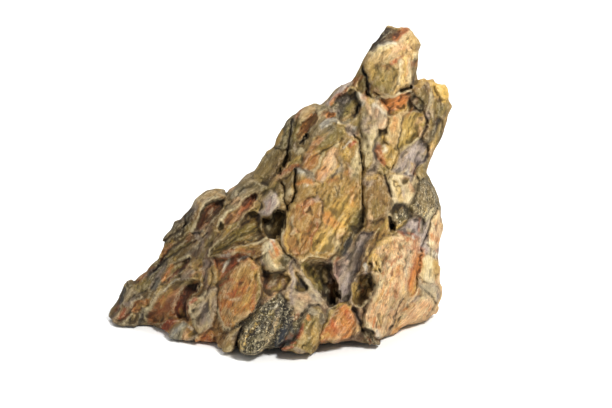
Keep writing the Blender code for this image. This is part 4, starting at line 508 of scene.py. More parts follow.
# Grooves and ridges of the face.
CREASES: list[Crease] = [
    Crease("slab_groove", 2.4, -5, [(354, 136), (358, 142), (360, 155), (363, 168), (362, 182), (363, 195),
        (363, 208), (361, 219)]),
    Crease("left_crevice", 3.2, -7, [(297, 172), (294, 182), (295, 190), (292, 200), (288, 206),
        (286, 213)]),
    Crease("inner_crevice", 3, -5, [(283, 183), (286, 192), (285, 200), (287, 210)]),
    Crease("block_crack", 3, -6, [(363, 65), (366, 74), (368, 81), (367, 87), (367, 93), (370, 96)]),
    Crease("shard_crack", 1.6, -3, [(369, 83), (374, 88), (377, 95)]),
    Crease("lens_crack", 1.8, -3.5, [(402, 116), (401, 130), (398, 146), (400, 153), (396, 160),
        (392, 169)]),
    Crease("horn_crack", 2.4, -5, [(424, 112), (427, 120), (426, 130), (422, 137)]),
    Crease("flank_groove", 3, -4, [(293, 120), (291, 132), (288, 145), (286, 152)]),
    Crease("furrow_a", 3, -3.5, [(184, 215), (184, 224), (182, 234)]),
    Crease("furrow_b", 2.4, -2.5, [(191, 232), (198, 232)]),
    Crease("triangle_groove", 4, -5, [(353, 309), (357, 314), (360, 322), (362, 330)]),
    Crease("slab_seam", 2.2, -4, [(382, 340), (390, 329), (393, 319), (397, 310), (403, 300)]),
    Crease("edge_seam", 2.2, -4, [(437, 200), (437, 209), (432, 220), (427, 233), (423, 243), (420, 250)]),
    Crease("corner_seam", 1.6, -2, [(420, 288), (428, 294), (437, 303)]),
    Crease("lump_seam", 4, -5, [(241, 329), (238, 340), (236, 350), (234, 356)]),
    Crease("plate_step", 1.6, -2, [(318, 198), (322, 201), (323, 210), (321, 217), (317, 226)]),
    Crease("scoop_slit", 3, -4, [(354, 116), (357, 109), (360, 103)]),
    Crease("column_edge", 2, -3, [(385, 174), (388, 181), (389, 190), (392, 197)]),
    Crease("foot_crack", 1.6, -3, [(300, 317), (304, 312), (309, 307), (319, 305)]),
    Crease("cave_rim", 3.6, 1.2, [(292, 256), (294, 262), (299, 271), (306, 280), (312, 290), (318, 299),
        (325, 307)]),
    Crease("hood_rim", 2.2, 1, [(192, 231), (196, 219), (201, 210), (208, 203), (217, 198)]),
    Crease("slot_rim", 2, 1.2, [(214, 231), (219, 221), (228, 211), (238, 204), (247, 196)]),
    Crease("fan_rim", 2.4, 1.8, [(209, 258), (210, 251), (216, 245), (225, 236), (236, 229), (243, 221)]),
    Crease("bowl_rim", 2.4, 1.5, [(147, 312), (152, 302), (161, 294), (169, 285), (178, 280)]),
    Crease("leaf_rim", 2.2, 1.5, [(159, 284), (166, 274), (175, 264), (187, 256)]),
    Crease("pale_streak", 1.8, 1.2, [(313, 174), (317, 166), (321, 159), (326, 153)]),
    Crease("hollow_rim", 2, 1.5, [(379, 98), (392, 97), (402, 95), (410, 91)]),
    Crease("pit_a", 2.5, -3, [(376, 263), (377, 266)]),
    Crease("pit_b", 3, -4, [(375, 271), (377, 271)]),
    Crease("pit_c", 2.5, -3, [(380, 270), (380, 272)]),
    Crease("pit_d", 3, -3, [(369, 262), (371, 264), (371, 269)]),
    Crease("slab_pit", 2.2, -1.5, [(335, 188), (338, 194)]),
    Crease("corner_line", 2, -2, [(424, 289), (430, 294), (437, 302)]),
    Crease("flank_furrow_a", 2.6, -2.4, [(153, 271), (169, 258), (188, 244), (208, 233)]),
    Crease("flank_furrow_b", 2.4, -2, [(157, 265), (173, 247), (190, 231)]),
    Crease("flank_furrow_c", 2.6, -2.4, [(164, 243), (182, 227), (190, 216)]),
    Crease("flank_furrow_d", 2.2, -2, [(150, 289), (160, 275), (166, 267)]),
    Crease("flank_furrow_e", 2.4, -2.2, [(140, 289), (151, 274), (163, 260)]),
    Crease("fan_furrow_a", 1.8, -1.2, [(215, 246), (229, 234), (248, 220), (258, 215)]),
    Crease("fan_furrow_b", 1.8, -1.4, [(216, 252), (236, 240), (257, 226)]),
    Crease("fan_furrow_c", 1.8, -1.2, [(222, 254), (241, 246), (260, 239)]),
    Crease("hood_furrow", 1.8, -1.4, [(199, 226), (206, 215), (217, 204)]),
    Crease("upper_furrow", 2.4, -2, [(226, 207), (240, 192), (252, 182)]),
    Crease("ridge_furrow_a", 2.2, -2, [(191, 316), (204, 298), (211, 280), (213, 270)]),
    Crease("ridge_furrow_b", 2.2, -1.8, [(202, 281), (212, 264)]),
    Crease("tip_furrow_a", 2.4, -2, [(127, 303), (134, 295), (146, 289)]),
    Crease("tip_furrow_b", 2.4, -2, [(117, 320), (128, 314), (139, 301)]),
    Crease("slab_ridge", 3.5, 1.2, [(314, 252), (332, 231), (349, 204), (358, 186)]),
    Crease("slab_fold", 2.6, -1.4, [(303, 168), (313, 158), (330, 148), (342, 138)]),
    Crease("bank_edge", 2, 1.2, [(331, 272), (336, 264), (343, 256)]),
]

# Streaks and patches of other colours: stain, width, cover, and the places that the streak runs through. Some
# of the dark ones, under the knob and in the caves, are painted shade.
STROKES: list[tuple] = [
    ("CREAM", 9, 0.6, (374, 52), (382, 45), (392, 44)),
    ("WHITE", 4, 0.5, (380, 43), (388, 41), (394, 43)),
    ("TAN", 6, 0.5, (374, 58), (378, 54)),
    ("PEACH", 8, 0.6, (394, 50), (402, 47), (408, 49)),
    ("ORANGE", 3, 0.4, (403, 50), (406, 47)),
    ("RED", 3, 0.7, (391, 64), (394, 63), (396, 62)),
    ("RUST", 2, 0.6, (396, 60), (399, 58), (402, 56)),
    ("GOLD", 7, 0.5, (370, 64), (373, 72), (370, 78)),
    ("OLIVE", 8, 0.35, (378, 74), (385, 80), (388, 90)),
    ("OLIVE", 3, 0.5, (374, 84), (380, 91), (388, 95)),
    ("RUST", 4, 0.35, (383, 66), (387, 68)),
    ("DARK_OLIVE", 2, 0.35, (396, 64), (394, 74), (393, 84)),
    ("CREAM", 3, 0.6, (400, 62), (399, 74), (399, 86)),
    ("GOLD", 3, 0.6, (404, 58), (405, 72), (403, 86)),
    ("ORANGE", 2, 0.5, (408, 57), (407, 66), (406, 76)),
    ("CREAM", 3, 0.6, (409, 60), (409, 74), (409, 84)),
    ("TAN", 8, 0.5, (404, 38), (412, 34)),
    ("CREAM", 3, 0.5, (402, 40), (407, 33), (410, 30)),
    ("OCHRE", 2, 0.5, (413, 36), (416, 42), (414, 50)),
    ("DARK_OLIVE", 6, 0.6, (382, 37), (388, 32)),
    ("TAN", 3, 0.6, (385, 28), (391, 27), (396, 29)),
    ("OLIVE", 3, 0.5, (396, 31), (404, 29)),
    ("DARK_BROWN", 5, 0.6, (383, 91), (386, 95)),
    ("CREAM", 3, 0.7, (392, 98), (398, 95), (406, 91)),
    ("LILAC", 2, 0.5, (369, 82), (369, 86)),
    ("RUST", 5, 0.5, (353, 86), (356, 80)),
    ("RUST", 4, 0.4, (359, 78), (362, 75)),
    ("BLACK", 3, 0.85, (364, 68), (366, 76), (367, 86), (368, 93)),
    ("WHITE", 5, 0.55, (358, 94), (363, 99), (361, 103)),
    ("ORANGE", 3, 0.5, (363, 97), (367, 99)),
    ("GOLD", 4, 0.5, (369, 101), (374, 102)),
    ("WHITE", 4, 0.4, (375, 106), (381, 108), (385, 112)),
    ("OLIVE", 5, 0.35, (372, 122), (377, 120)),
    ("OLIVE", 6, 0.45, (366, 136), (371, 138)),
    ("PEACH", 3, 0.6, (382, 128), (384, 124), (386, 120)),
    ("BLACK", 1.5, 0.6, (384, 115), (387, 120)),
    ("ORANGE", 6, 0.35, (395, 120), (393, 130)),
    ("GOLD", 5, 0.6, (383, 140), (390, 138)),
    ("RUST", 6, 0.75, (379, 149), (380, 155), (384, 163)),
    ("WHITE", 2, 0.5, (385, 146), (388, 149), (384, 151)),
    ("BLACK", 1.2, 0.5, (390, 150), (388, 154)),
    ("OCHRE", 6, 0.6, (416, 84), (422, 81)),
    ("DARK_BROWN", 4, 0.7, (425, 84), (428, 94), (427, 106), (425, 114)),
    ("GOLD", 5, 0.6, (431, 83), (434, 90)),
    ("DARK_BROWN", 2, 0.6, (432, 88), (433, 93)),
    ("GOLD", 6, 0.7, (442, 86), (446, 94), (446, 100)),
    ("DARK_BROWN", 5, 0.55, (440, 98), (442, 105), (438, 110)),
    ("OLIVE", 4, 0.5, (444, 108), (438, 115)),
    ("DARK_BROWN", 5, 0.6, (446, 116), (440, 122), (434, 124)),
    ("GOLD", 4, 0.35, (440, 126), (434, 136), (432, 146)),
    ("OLIVE", 5, 0.4, (408, 108), (413, 105)),
    ("BLACK", 4, 0.5, (419, 101), (423, 107)),
    ("DARK_BROWN", 2.5, 0.75, (424, 112), (427, 119), (426, 130), (422, 137)),
    ("CREAM", 2, 0.6, (401, 150), (404, 147), (411, 143), (420, 137)),
    ("GOLD", 6, 0.3, (406, 120), (405, 130)),
    ("DARK_BROWN", 5, 0.3, (401, 152), (404, 158), (402, 165)),
    ("OCHRE", 2, 0.7, (411, 163), (412, 164)),
    ("WHITE", 3, 0.35, (404, 170), (411, 176)),
    ("OCHRE", 3, 0.6, (393, 173), (397, 173)),
    ("RUST", 3, 0.45, (410, 185), (412, 192)),
    ("GOLD", 5, 0.4, (399, 192), (402, 200)),
    ("LILAC", 2.5, 0.5, (404, 190), (403, 198)),
    ("BLACK", 5, 0.7, (418, 184), (423, 180), (427, 183)),
    ("DARK_OLIVE", 4, 0.6, (415, 186), (418, 190)),
    ("BLUE_BLACK", 4, 0.45, (414, 199), (415, 204)),
    ("BLACK", 1.6, 0.8, (428, 183), (433, 192), (436, 202), (434, 212)),
    ("CREAM", 3, 0.6, (425, 219), (430, 215), (432, 209)),
    ("BLACK", 3, 0.7, (393, 206), (400, 203), (406, 207), (409, 215), (411, 218)),
    ("BLACK", 2, 0.6, (398, 211), (402, 214), (400, 218)),
    ("GOLD", 3, 0.75, (393, 229), (399, 226), (406, 221)),
    ("GOLD", 3, 0.5, (386, 222), (387, 228)),
    ("RUST", 2, 0.7, (419, 219), (418, 231)),
    ("DARK_OLIVE", 3.5, 0.7, (423, 220), (421, 233)),
    ("ORANGE", 6, 0.55, (432, 236), (438, 240)),
    ("WHITE", 2, 0.7, (428, 242), (432, 243)),
    ("WHITE", 2, 0.6, (432, 252), (437, 254)),
    ("RUST", 3, 0.5, (434, 247), (437, 250)),
    ("DARK_BROWN", 3, 0.7, (387, 178), (389, 186), (391, 196)),
    ("DARK_OLIVE", 4, 0.5, (370, 222), (375, 225)),
    ("OLIVE", 8, 0.35, (376, 202), (370, 212)),
    ("GOLD", 4, 0.4, (368, 177), (376, 176)),
    ("CREAM", 2, 0.6, (313, 173), (318, 165), (322, 158), (325, 153)),
    ("GREY", 8, 0.6, (299, 172), (306, 173), (312, 178)),
    ("WHITE", 3, 0.6, (298, 172), (304, 172)),
    ("ORANGE", 6, 0.6, (298, 183), (305, 182), (311, 184)),
    ("WHITE", 3, 0.7, (305, 187), (308, 186)),
    ("DARK_OLIVE", 2.5, 0.6, (315, 186), (316, 191)),
    ("PEACH", 8, 0.6, (326, 168), (331, 160), (334, 152)),
    ("ORANGE", 8, 0.4, (318, 176), (324, 171)),
    ("LILAC", 3, 0.5, (322, 180), (325, 175)),
    ("BLUE_BLACK", 3, 0.6, (332, 175), (337, 174)),
    ("GREY", 4, 0.6, (337, 172), (341, 166), (342, 160)),
    ("BLACK", 2, 0.6, (344, 162), (348, 161)),
    ("BLACK", 2, 0.5, (346, 166), (350, 165)),
    ("RUST", 6, 0.3, (345, 172), (350, 170)),
    ("OLIVE", 9, 0.3, (355, 160), (356, 175)),
    ("RED", 4, 0.85, (351, 147), (354, 143)),
    ("WHITE", 1.6, 0.7, (344, 149), (351, 141)),
    ("DARK_BROWN", 3, 0.5, (340, 152), (336, 158)),
    ("RUST", 6, 0.4, (329, 182), (337, 181)),
    ("DARK_BROWN", 2, 0.5, (330, 187), (334, 188)),
    ("CREAM", 2, 0.4, (335, 187), (337, 193)),
    ("DARK_BROWN", 2, 0.5, (340, 188), (337, 196)),
    ("ORANGE", 10, 0.35, (353, 190), (354, 204)),
    ("OLIVE", 8, 0.3, (328, 196), (326, 204)),
    ("ORANGE", 9, 0.5, (327, 217), (334, 222), (340, 226)),
    ("CREAM", 3, 0.6, (338, 231), (343, 231)),
    ("GOLD", 8, 0.6, (322, 236), (326, 246)),
    ("CREAM", 8, 0.45, (332, 236), (328, 247)),
    ("CREAM", 2, 0.6, (315, 252), (323, 251), (330, 252)),
    ("CREAM", 2, 0.6, (300, 262), (308, 257), (318, 256)),
    ("DARK_OLIVE", 2, 0.5, (306, 252), (310, 256)),
    ("CREAM", 2, 0.7, (284, 222), (283, 236), (282, 248)),
    ("GOLD", 3, 0.6, (288, 214), (287, 230), (286, 250)),
    ("RUST", 8, 0.5, (300, 206), (312, 203)),
    ("RED", 3, 0.5, (303, 212), (306, 214)),
    ("RED", 2.5, 0.5, (299, 219), (300, 222)),
    ("RUST", 2, 0.75, (316, 221), (315, 229), (311, 238), (310, 246)),
    ("OCHRE", 9, 0.5, (302, 224), (298, 238)),
    ("DARK_OLIVE", 4, 0.6, (290, 224), (292, 227)),
    ("DARK_OLIVE", 3, 0.65, (310, 222), (311, 228)),
    ("DARK_OLIVE", 3, 0.65, (306, 235), (310, 232)),
    ("RUST", 3, 0.55, (294, 231), (299, 233)),
    ("RUST", 4, 0.4, (293, 249), (296, 253)),
    ("DARK_BROWN", 2, 0.75, (319, 199), (322, 205), (323, 214)),
    ("OLIVE", 7, 0.5, (357, 218), (350, 226)),
    ("BLUE_BLACK", 5, 0.6, (345, 246), (344, 251)),
    ("DARK_BROWN", 6, 0.5, (358, 228), (350, 238), (342, 250)),
    ("RUST", 4, 0.5, (337, 258), (335, 264)),
    ("TAN", 4, 0.5, (366, 190), (364, 206)),
    ("DARK_BROWN", 4, 0.65, (310, 118), (317, 114)),
    ("TAN", 7, 0.5, (303, 115), (310, 108)),
    ("BLACK", 5, 0.55, (293, 120), (292, 132)),
    ("OLIVE", 5, 0.5, (296, 138), (297, 130)),
    ("ORANGE", 3, 0.7, (331, 103), (338, 97), (346, 90)),
    ("RED", 3, 0.5, (336, 98), (341, 94)),
    ("BLUE_BLACK", 7, 0.6, (340, 100), (345, 94)),
    ("DARK_OLIVE", 7, 0.7, (337, 106), (341, 105)),
    ("OLIVE", 6, 0.4, (348, 104), (347, 114)),
    ("DARK_BROWN", 5, 0.7, (353, 116), (356, 108)),
    ("BLACK", 5, 0.75, (358, 106), (360, 102)),
    ("ORANGE", 5, 0.7, (328, 116), (334, 113)),
    ("PALE_BLUE", 5, 0.5, (322, 124), (332, 120), (339, 122)),
    ("WHITE", 1.5, 0.7, (327, 125), (332, 125)),
    ("CREAM", 2.5, 0.75, (341, 124), (346, 123), (350, 120)),
    ("OCHRE", 1.5, 0.5, (312, 140), (322, 134), (329, 132)),
    ("OLIVE", 8, 0.35, (318, 140), (328, 138)),
    ("LILAC", 8, 0.6, (350, 126), (353, 134)),
    ("WHITE", 2, 0.5, (352, 125), (356, 130)),
    ("DARK_BROWN", 2, 0.55, (354, 118), (358, 112)),
    ("LILAC", 6, 0.4, (366, 118), (366, 128)),
    ("BLACK", 4, 0.5, (367, 110), (365, 116)),
    ("OLIVE", 6, 0.5, (292, 165), (300, 162)),
    ("RUST", 4, 0.6, (281, 174), (290, 170), (300, 167)),
    ("RUST", 7, 0.4, (310, 163), (315, 158)),
    ("OLIVE", 5, 0.4, (312, 152), (318, 147)),
    ("CREAM", 3, 0.7, (199, 210), (206, 203), (216, 197)),
    ("TAN", 5, 0.6, (203, 198), (210, 194)),
    ("OCHRE", 4, 0.5, (197, 212), (200, 205)),
    ("RUST", 3, 0.5, (199, 224), (205, 214), (213, 207)),
    ("DARK_BROWN", 5, 0.6, (212, 214), (219, 206), (223, 200)),
    ("RUST", 6, 0.6, (243, 210), (250, 203), (255, 199)),
    ("PEACH", 4, 0.4, (226, 222), (232, 214)),
    ("BLACK", 5, 0.75, (254, 196), (257, 198)),
    ("CREAM", 2, 0.8, (217, 225), (224, 216), (232, 209)),
    ("OLIVE", 5, 0.5, (228, 226), (238, 222)),
    ("TAN", 3, 0.5, (238, 216), (246, 212)),
    ("CREAM", 2.5, 0.6, (209, 257), (212, 251), (219, 243)),
    ("TAN", 3, 0.7, (222, 240), (232, 232), (240, 226)),
    ("OLIVE", 3, 0.6, (222, 246), (238, 240), (252, 238)),
    ("DARK_OLIVE", 2, 0.6, (226, 236), (240, 230), (252, 226)),
    ("DARK_BROWN", 7, 0.6, (254, 232), (259, 236)),
    ("CREAM", 1.4, 0.75, (252, 243), (260, 242), (266, 239)),
    ("RUST", 3, 0.6, (226, 251), (240, 251), (252, 252)),
    ("RUST", 4, 0.7, (222, 258), (236, 257), (246, 256)),
    ("LILAC", 4, 0.6, (222, 256), (230, 255)),
    ("RUST", 7, 0.65, (218, 262), (222, 270)),
    ("WHITE", 2, 0.85, (223, 272), (226, 266), (231, 260)),
    ("WHITE", 1.6, 0.7, (239, 261), (244, 258), (248, 257)),
    ("RED", 2, 0.6, (231, 268), (236, 264)),
    ("GREY", 4, 0.5, (186, 256), (192, 250), (198, 246)),
    ("CREAM", 2, 0.6, (170, 268), (178, 262), (187, 256)),
    ("OLIVE", 4, 0.5, (172, 272), (184, 264)),
    ("OCHRE", 4, 0.5, (160, 256), (166, 248), (174, 242)),
    ("ORANGE", 4, 0.5, (160, 254), (164, 249)),
    ("DARK_BROWN", 3, 0.6, (174, 245), (180, 241)),
    ("CREAM", 3, 0.45, (170, 234), (176, 233)),
    ("DARK_BROWN", 3, 0.5, (182, 230), (186, 218)),
    ("RUST", 4, 0.4, (186, 240), (190, 232)),
    ("DARK_BROWN", 2, 0.7, (191, 232), (197, 232)),
    ("LILAC", 5, 0.4, (164, 262), (160, 268)),
    ("GREY", 6, 0.5, (232, 196), (242, 190)),
    ("GREY", 5, 0.5, (272, 200), (276, 194)),
    ("RUST", 4, 0.35, (196, 266), (202, 270)),
    ("LILAC", 6, 0.4, (206, 262), (204, 275)),
    ("BLACK", 2.5, 0.75, (120, 302), (124, 292), (128, 282)),
    ("DARK_OLIVE", 5, 0.6, (126, 294), (130, 284)),
    ("LILAC", 8, 0.5, (125, 304), (130, 294), (138, 290)),
    ("RUST", 3, 0.5, (113, 312), (118, 306)),
    ("RED", 4, 0.65, (119, 317), (123, 312)),
    ("RUST", 2, 0.6, (122, 316), (128, 315)),
    ("CREAM", 2, 0.6, (121, 323), (127, 319), (133, 314)),
    ("DARK_OLIVE", 6, 0.6, (127, 325), (133, 321)),
    ("OLIVE", 3, 0.5, (137, 319), (144, 311), (150, 303)),
    ("ORANGE", 3, 0.7, (133, 311), (134, 305), (139, 302)),
    ("OLIVE", 5, 0.5, (138, 308), (142, 306)),
    ("CREAM", 1.5, 0.7, (131, 308), (134, 302), (140, 299)),
    ("RUST", 4, 0.6, (140, 281), (146, 277)),
    ("OLIVE", 6, 0.5, (138, 288), (146, 285)),
    ("DARK_OLIVE", 5, 0.6, (152, 284), (155, 273)),
    ("GREY", 4, 0.55, (152, 296), (155, 286), (158, 278)),
    ("OCHRE", 3, 0.5, (150, 298), (154, 290)),
    ("RUST", 3, 0.5, (152, 302), (158, 296)),
    ("GREY", 5, 0.6, (142, 322), (145, 310)),
    ("CREAM", 2.5, 0.7, (147, 326), (147, 314), (151, 306)),
    ("TAN", 3, 0.6, (152, 305), (162, 297), (170, 288)),
    ("PALE_BLUE", 3, 0.5, (164, 291), (170, 284), (176, 280)),
    ("OCHRE", 7, 0.5, (158, 304), (168, 294), (172, 287)),
    ("OLIVE", 6, 0.5, (176, 284), (188, 283)),
    ("RED", 6, 0.45, (160, 313), (168, 305), (178, 297)),
    ("ORANGE", 5, 0.5, (153, 314), (156, 321)),
    ("RUST", 5, 0.6, (172, 314), (180, 312)),
    ("DARK_BROWN", 8, 0.5, (184, 292), (190, 288)),
    ("OCHRE", 3, 0.5, (180, 310), (183, 316)),
    ("CREAM", 1.5, 0.5, (172, 301), (180, 301)),
    ("RED", 4, 0.8, (190, 304), (195, 300)),
    ("CREAM", 5, 0.6, (192, 312), (194, 324)),
    ("GOLD", 5, 0.3, (196, 326), (199, 330)),
    ("CREAM", 3, 0.5, (197, 288), (199, 284)),
    ("RED", 5, 0.6, (163, 334), (169, 326), (176, 321)),
    ("ORANGE", 3, 0.6, (163, 338), (167, 335)),
    ("GREY", 5, 0.4, (172, 338), (180, 341)),
    ("PALE_BLUE", 6, 0.4, (178, 330), (182, 325)),
    ("PEACH", 5, 0.6, (187, 332), (186, 340)),
    ("WHITE", 1.5, 0.6, (189, 326), (195, 330)),
    ("ORANGE", 5, 0.6, (196, 342), (206, 340)),
    ("RED", 5, 0.5, (206, 336), (213, 342)),
    ("GREY", 4, 0.6, (207, 310), (208, 322)),
    ("CREAM", 4, 0.5, (206, 291), (201, 298)),
    ("LILAC", 5, 0.5, (204, 305), (204, 320)),
    ("RUST", 2.5, 0.65, (229, 284), (236, 282), (246, 280)),
    ("RED", 2, 0.6, (232, 296), (238, 290), (246, 286)),
    ("RUST", 2, 0.6, (222, 292), (230, 288)),
    ("ORANGE", 6, 0.45, (222, 306), (232, 300)),
    ("RUST", 2, 0.5, (219, 302), (228, 308)),
    ("OCHRE", 7, 0.4, (238, 302), (248, 296)),
    ("CREAM", 2, 0.8, (216, 310), (218, 320), (223, 328), (230, 330)),
    ("TAN", 7, 0.6, (236, 322), (244, 316), (248, 314)),
    ("RUST", 5, 0.6, (253, 268), (254, 286), (252, 300)),
    ("OLIVE", 3.5, 0.6, (259, 270), (260, 286), (257, 298)),
    ("RUST", 3, 0.6, (254, 304), (251, 312)),
    ("CREAM", 1.6, 0.5, (221, 316), (224, 320)),
    ("DARK_BROWN", 2, 0.6, (240, 300), (246, 296), (249, 293)),
    ("LILAC", 7, 0.6, (264, 262), (266, 252)),
    ("WHITE", 3, 0.6, (268, 250), (274, 242)),
    ("GOLD", 4, 0.5, (270, 257), (275, 260)),
    ("CREAM", 4, 0.5, (276, 268), (284, 269)),
    ("DARK_OLIVE", 5, 0.7, (284, 256), (287, 260)),
    ("BLACK", 2, 0.5, (281, 259), (285, 263)),
    # Painted shadow under the knob.
    ("BLACK", 3, 0.85, (266, 271), (275, 273), (284, 272)),
    ("DARK_BROWN", 8, 0.5, (268, 278), (276, 280)),
    ("RUST", 4, 0.5, (265, 284), (270, 287)),
    ("GREY", 3, 0.6, (269, 286), (274, 284)),
    ("OCHRE", 5, 0.5, (286, 276), (288, 284)),
    ("OLIVE", 3, 0.5, (272, 290), (281, 288)),
    ("PEACH", 4, 0.6, (264, 301), (270, 298), (276, 294)),
    ("BLACK", 5, 0.6, (262, 306), (270, 307), (276, 304)),
    ("WHITE", 2, 0.6, (269, 309), (275, 308), (279, 304)),
    ("OLIVE", 6, 0.5, (262, 314), (272, 314)),
    ("BLACK", 5, 0.6, (260, 321), (268, 324)),
    ("GREY", 4, 0.6, (256, 326), (262, 325)),
    ("WHITE", 2, 0.6, (257, 331), (260, 327)),
    ("TAN", 6, 0.6, (265, 330), (268, 338)),
    ("TAN", 4, 0.6, (276, 322), (273, 332)),
    ("BLACK", 2.5, 0.7, (268, 332), (269, 334)),
    ("DARK_OLIVE", 9, 0.5, (250, 330), (250, 345)),
    ("GOLD", 3, 0.8, (241, 350), (243, 343)),
    ("CREAM", 2.5, 0.6, (262, 350), (267, 345), (268, 338)),
    ("TAN", 3, 0.5, (254, 310), (255, 318)),
    ("GREY", 6, 0.35, (252, 352), (262, 356)),
    ("DARK_BROWN", 6, 0.6, (236, 346), (238, 336)),
    ("BLUE_BLACK", 9, 0.75, (279, 334), (281, 342), (275, 350)),
    ("DARK_OLIVE", 7, 0.5, (284, 304), (286, 316)),
    ("GOLD", 2.5, 0.6, (285, 325), (287, 328)),
    ("GREY", 5, 0.5, (284, 330), (289, 338)),
    ("RED", 3.5, 0.75, (280, 352), (286, 350), (292, 347)),
    ("BLACK", 2, 0.85, (309, 305), (315, 304), (321, 305)),
    ("BLACK", 3, 0.8, (301, 313), (304, 309)),
    ("GREY", 6, 0.5, (308, 309), (316, 312)),
    ("BLUE_BLACK", 4, 0.6, (322, 315), (322, 321)),
    ("ORANGE", 3, 0.7, (308, 316), (310, 319)),
    ("RED", 3.5, 0.8, (296, 336), (300, 330), (304, 324)),
    ("ORANGE", 2, 0.6, (298, 337), (302, 331)),
    ("WHITE", 2, 0.5, (295, 333), (298, 328)),
    ("OCHRE", 8, 0.5, (313, 330), (315, 342)),
    ("OLIVE", 9, 0.45, (305, 342), (308, 352)),
    ("OLIVE", 7, 0.4, (306, 325), (312, 322)),
    ("RED", 3, 0.6, (291, 343), (295, 342)),
    ("LILAC", 6, 0.5, (296, 350), (302, 353)),
    ("RUST", 4, 0.5, (294, 318), (297, 314)),
    ("CREAM", 4, 0.65, (328, 318), (331, 311), (334, 308)),
    ("GOLD", 2.5, 0.75, (334, 309), (341, 304), (346, 302), (350, 307)),
    ("RED", 6, 0.45, (333, 322), (336, 330)),
    ("RED", 5, 0.4, (347, 312), (350, 320)),
    ("GOLD", 4, 0.6, (322, 340), (327, 335)),
    ("PEACH", 5, 0.5, (340, 318), (338, 326)),
    ("RUST", 3, 0.5, (342, 325), (345, 330)),
    ("PEACH", 4, 0.5, (355, 334), (358, 328)),
    ("BLACK", 3, 0.85, (345, 301), (349, 305)),
    ("DARK_BROWN", 3, 0.55, (355, 311), (356, 322), (354, 330)),
    ("LILAC", 4, 0.5, (358, 314), (359, 324)),
    ("OLIVE", 7, 0.6, (306, 265), (310, 275), (314, 283)),
    ("TAN", 3.5, 0.7, (302, 264), (304, 270), (307, 276)),
    # Painted shade in the arch cave.
    ("BLACK", 7, 0.6, (325, 262), (329, 266)),
    ("BLACK", 6, 0.7, (324, 288), (329, 298), (333, 306)),
    ("TAN", 2, 0.35, (325, 271), (326, 277), (327, 283)),
    ("TAN", 2, 0.65, (334, 288), (333, 294), (335, 299)),
    ("DARK_BROWN", 6, 0.5, (317, 287), (322, 294)),
    ("LILAC", 4, 0.4, (294, 258), (299, 268), (306, 278), (314, 289), (321, 299)),
    ("CREAM", 1.3, 0.6, (300, 262), (305, 271), (312, 282), (320, 294)),
    ("GREY", 6, 0.45, (312, 296), (318, 300)),
    ("PEACH", 6, 0.35, (300, 296), (307, 300)),
    ("LILAC", 4, 0.6, (292, 262), (293, 276), (292, 290), (292, 302)),
    ("GOLD", 2, 0.7, (296, 286), (300, 289), (303, 290)),
    ("GOLD", 2, 0.6, (296, 275), (298, 280)),
    ("BLUE_BLACK", 4, 0.5, (300, 279), (304, 285)),
    ("GOLD", 6, 0.6, (355, 286), (353, 294), (355, 302)),
    ("OCHRE", 4, 0.5, (358, 278), (360, 276)),
    # Painted shade in the right of the oval cave.
    ("BLACK", 6, 0.6, (369, 276), (371, 284)),
    ("DARK_BROWN", 7, 0.5, (364, 288), (366, 296)),
    ("RUST", 4, 0.4, (361, 285), (362, 291)),
    ("CREAM", 2.5, 0.5, (356, 307), (362, 306), (367, 302)),
    ("WHITE", 3, 0.6, (364, 263), (365, 269)),
    ("DARK_BROWN", 4, 0.7, (369, 263), (371, 270)),
    ("BLACK", 1.6, 0.8, (376, 264), (377, 266)),
    ("BLACK", 2.2, 0.9, (376, 271), (377, 272)),
    ("BLACK", 1.6, 0.8, (380, 270), (380, 272)),
    ("DARK_BROWN", 1.6, 0.6, (380, 255), (382, 259)),
    ("GOLD", 7, 0.5, (372, 256), (379, 262), (376, 268)),
    ("RUST", 3, 0.5, (377, 279), (381, 277)),
    ("RUST", 5, 0.6, (402, 233), (406, 238)),
    ("RUST", 5, 0.6, (411, 236), (416, 240)),
    ("WHITE", 1.8, 0.7, (412, 236), (413, 238)),
    ("RUST", 4, 0.5, (411, 247), (415, 245)),
    ("GOLD", 7, 0.45, (382, 244), (388, 238)),
    ("OLIVE", 5, 0.35, (388, 234), (394, 234)),
    ("RUST", 3, 0.6, (390, 263), (396, 261), (402, 258)),
    ("CREAM", 3, 0.7, (391, 268), (396, 265), (401, 262)),
    ("PEACH", 6, 0.5, (388, 252), (396, 248)),
    ("RUST", 2.5, 0.6, (397, 275), (399, 268)),
    ("RUST", 2, 0.5, (386, 262), (389, 252)),
    ("GREY", 3, 0.45, (408, 244), (408, 260), (406, 276), (404, 292)),
    ("RUST", 3, 0.65, (394, 298), (394, 290), (396, 283)),
    ("CREAM", 5, 0.5, (372, 298), (376, 288), (380, 278)),
    ("CREAM", 3, 0.7, (364, 318), (366, 325), (372, 329)),
    ("ORANGE", 6, 0.4, (367, 317), (374, 319)),
    ("PEACH", 7, 0.5, (380, 312), (386, 306)),
    ("RUST", 3, 0.4, (376, 326), (382, 327)),
    ("RED", 2, 0.4, (382, 298), (386, 294)),
    ("TAN", 6, 0.5, (388, 312), (390, 302)),
    ("GOLD", 3, 0.5, (403, 284), (403, 294)),
    ("PALE_BLUE", 4, 0.6, (378, 331), (380, 336)),
    ("DARK_BROWN", 2, 0.65, (391, 328), (394, 318), (398, 308), (402, 300)),
    ("RED", 2, 0.8, (416, 250), (421, 248), (424, 250)),
    ("ORANGE", 5, 0.7, (417, 253), (414, 262)),
    ("ORANGE", 4, 0.6, (411, 272), (410, 286)),
    ("GOLD", 5, 0.5, (413, 284), (412, 295)),
    ("LILAC", 4, 0.6, (421, 236), (424, 244)),
    ("GOLD", 8, 0.5, (426, 260), (432, 266)),
    ("LILAC", 8, 0.55, (428, 278), (434, 282)),
    ("GREY", 3, 0.4, (420, 282), (421, 288)),
    ("DARK_BROWN", 1.6, 0.7, (423, 288), (430, 294), (437, 302)),
    ("DARK_BROWN", 1.4, 0.5, (421, 291), (426, 297)),
    ("LILAC", 5, 0.55, (435, 292), (438, 297)),
    ("LILAC", 5, 0.5, (413, 302), (417, 300)),
    ("ORANGE", 6, 0.4, (424, 308), (429, 302)),
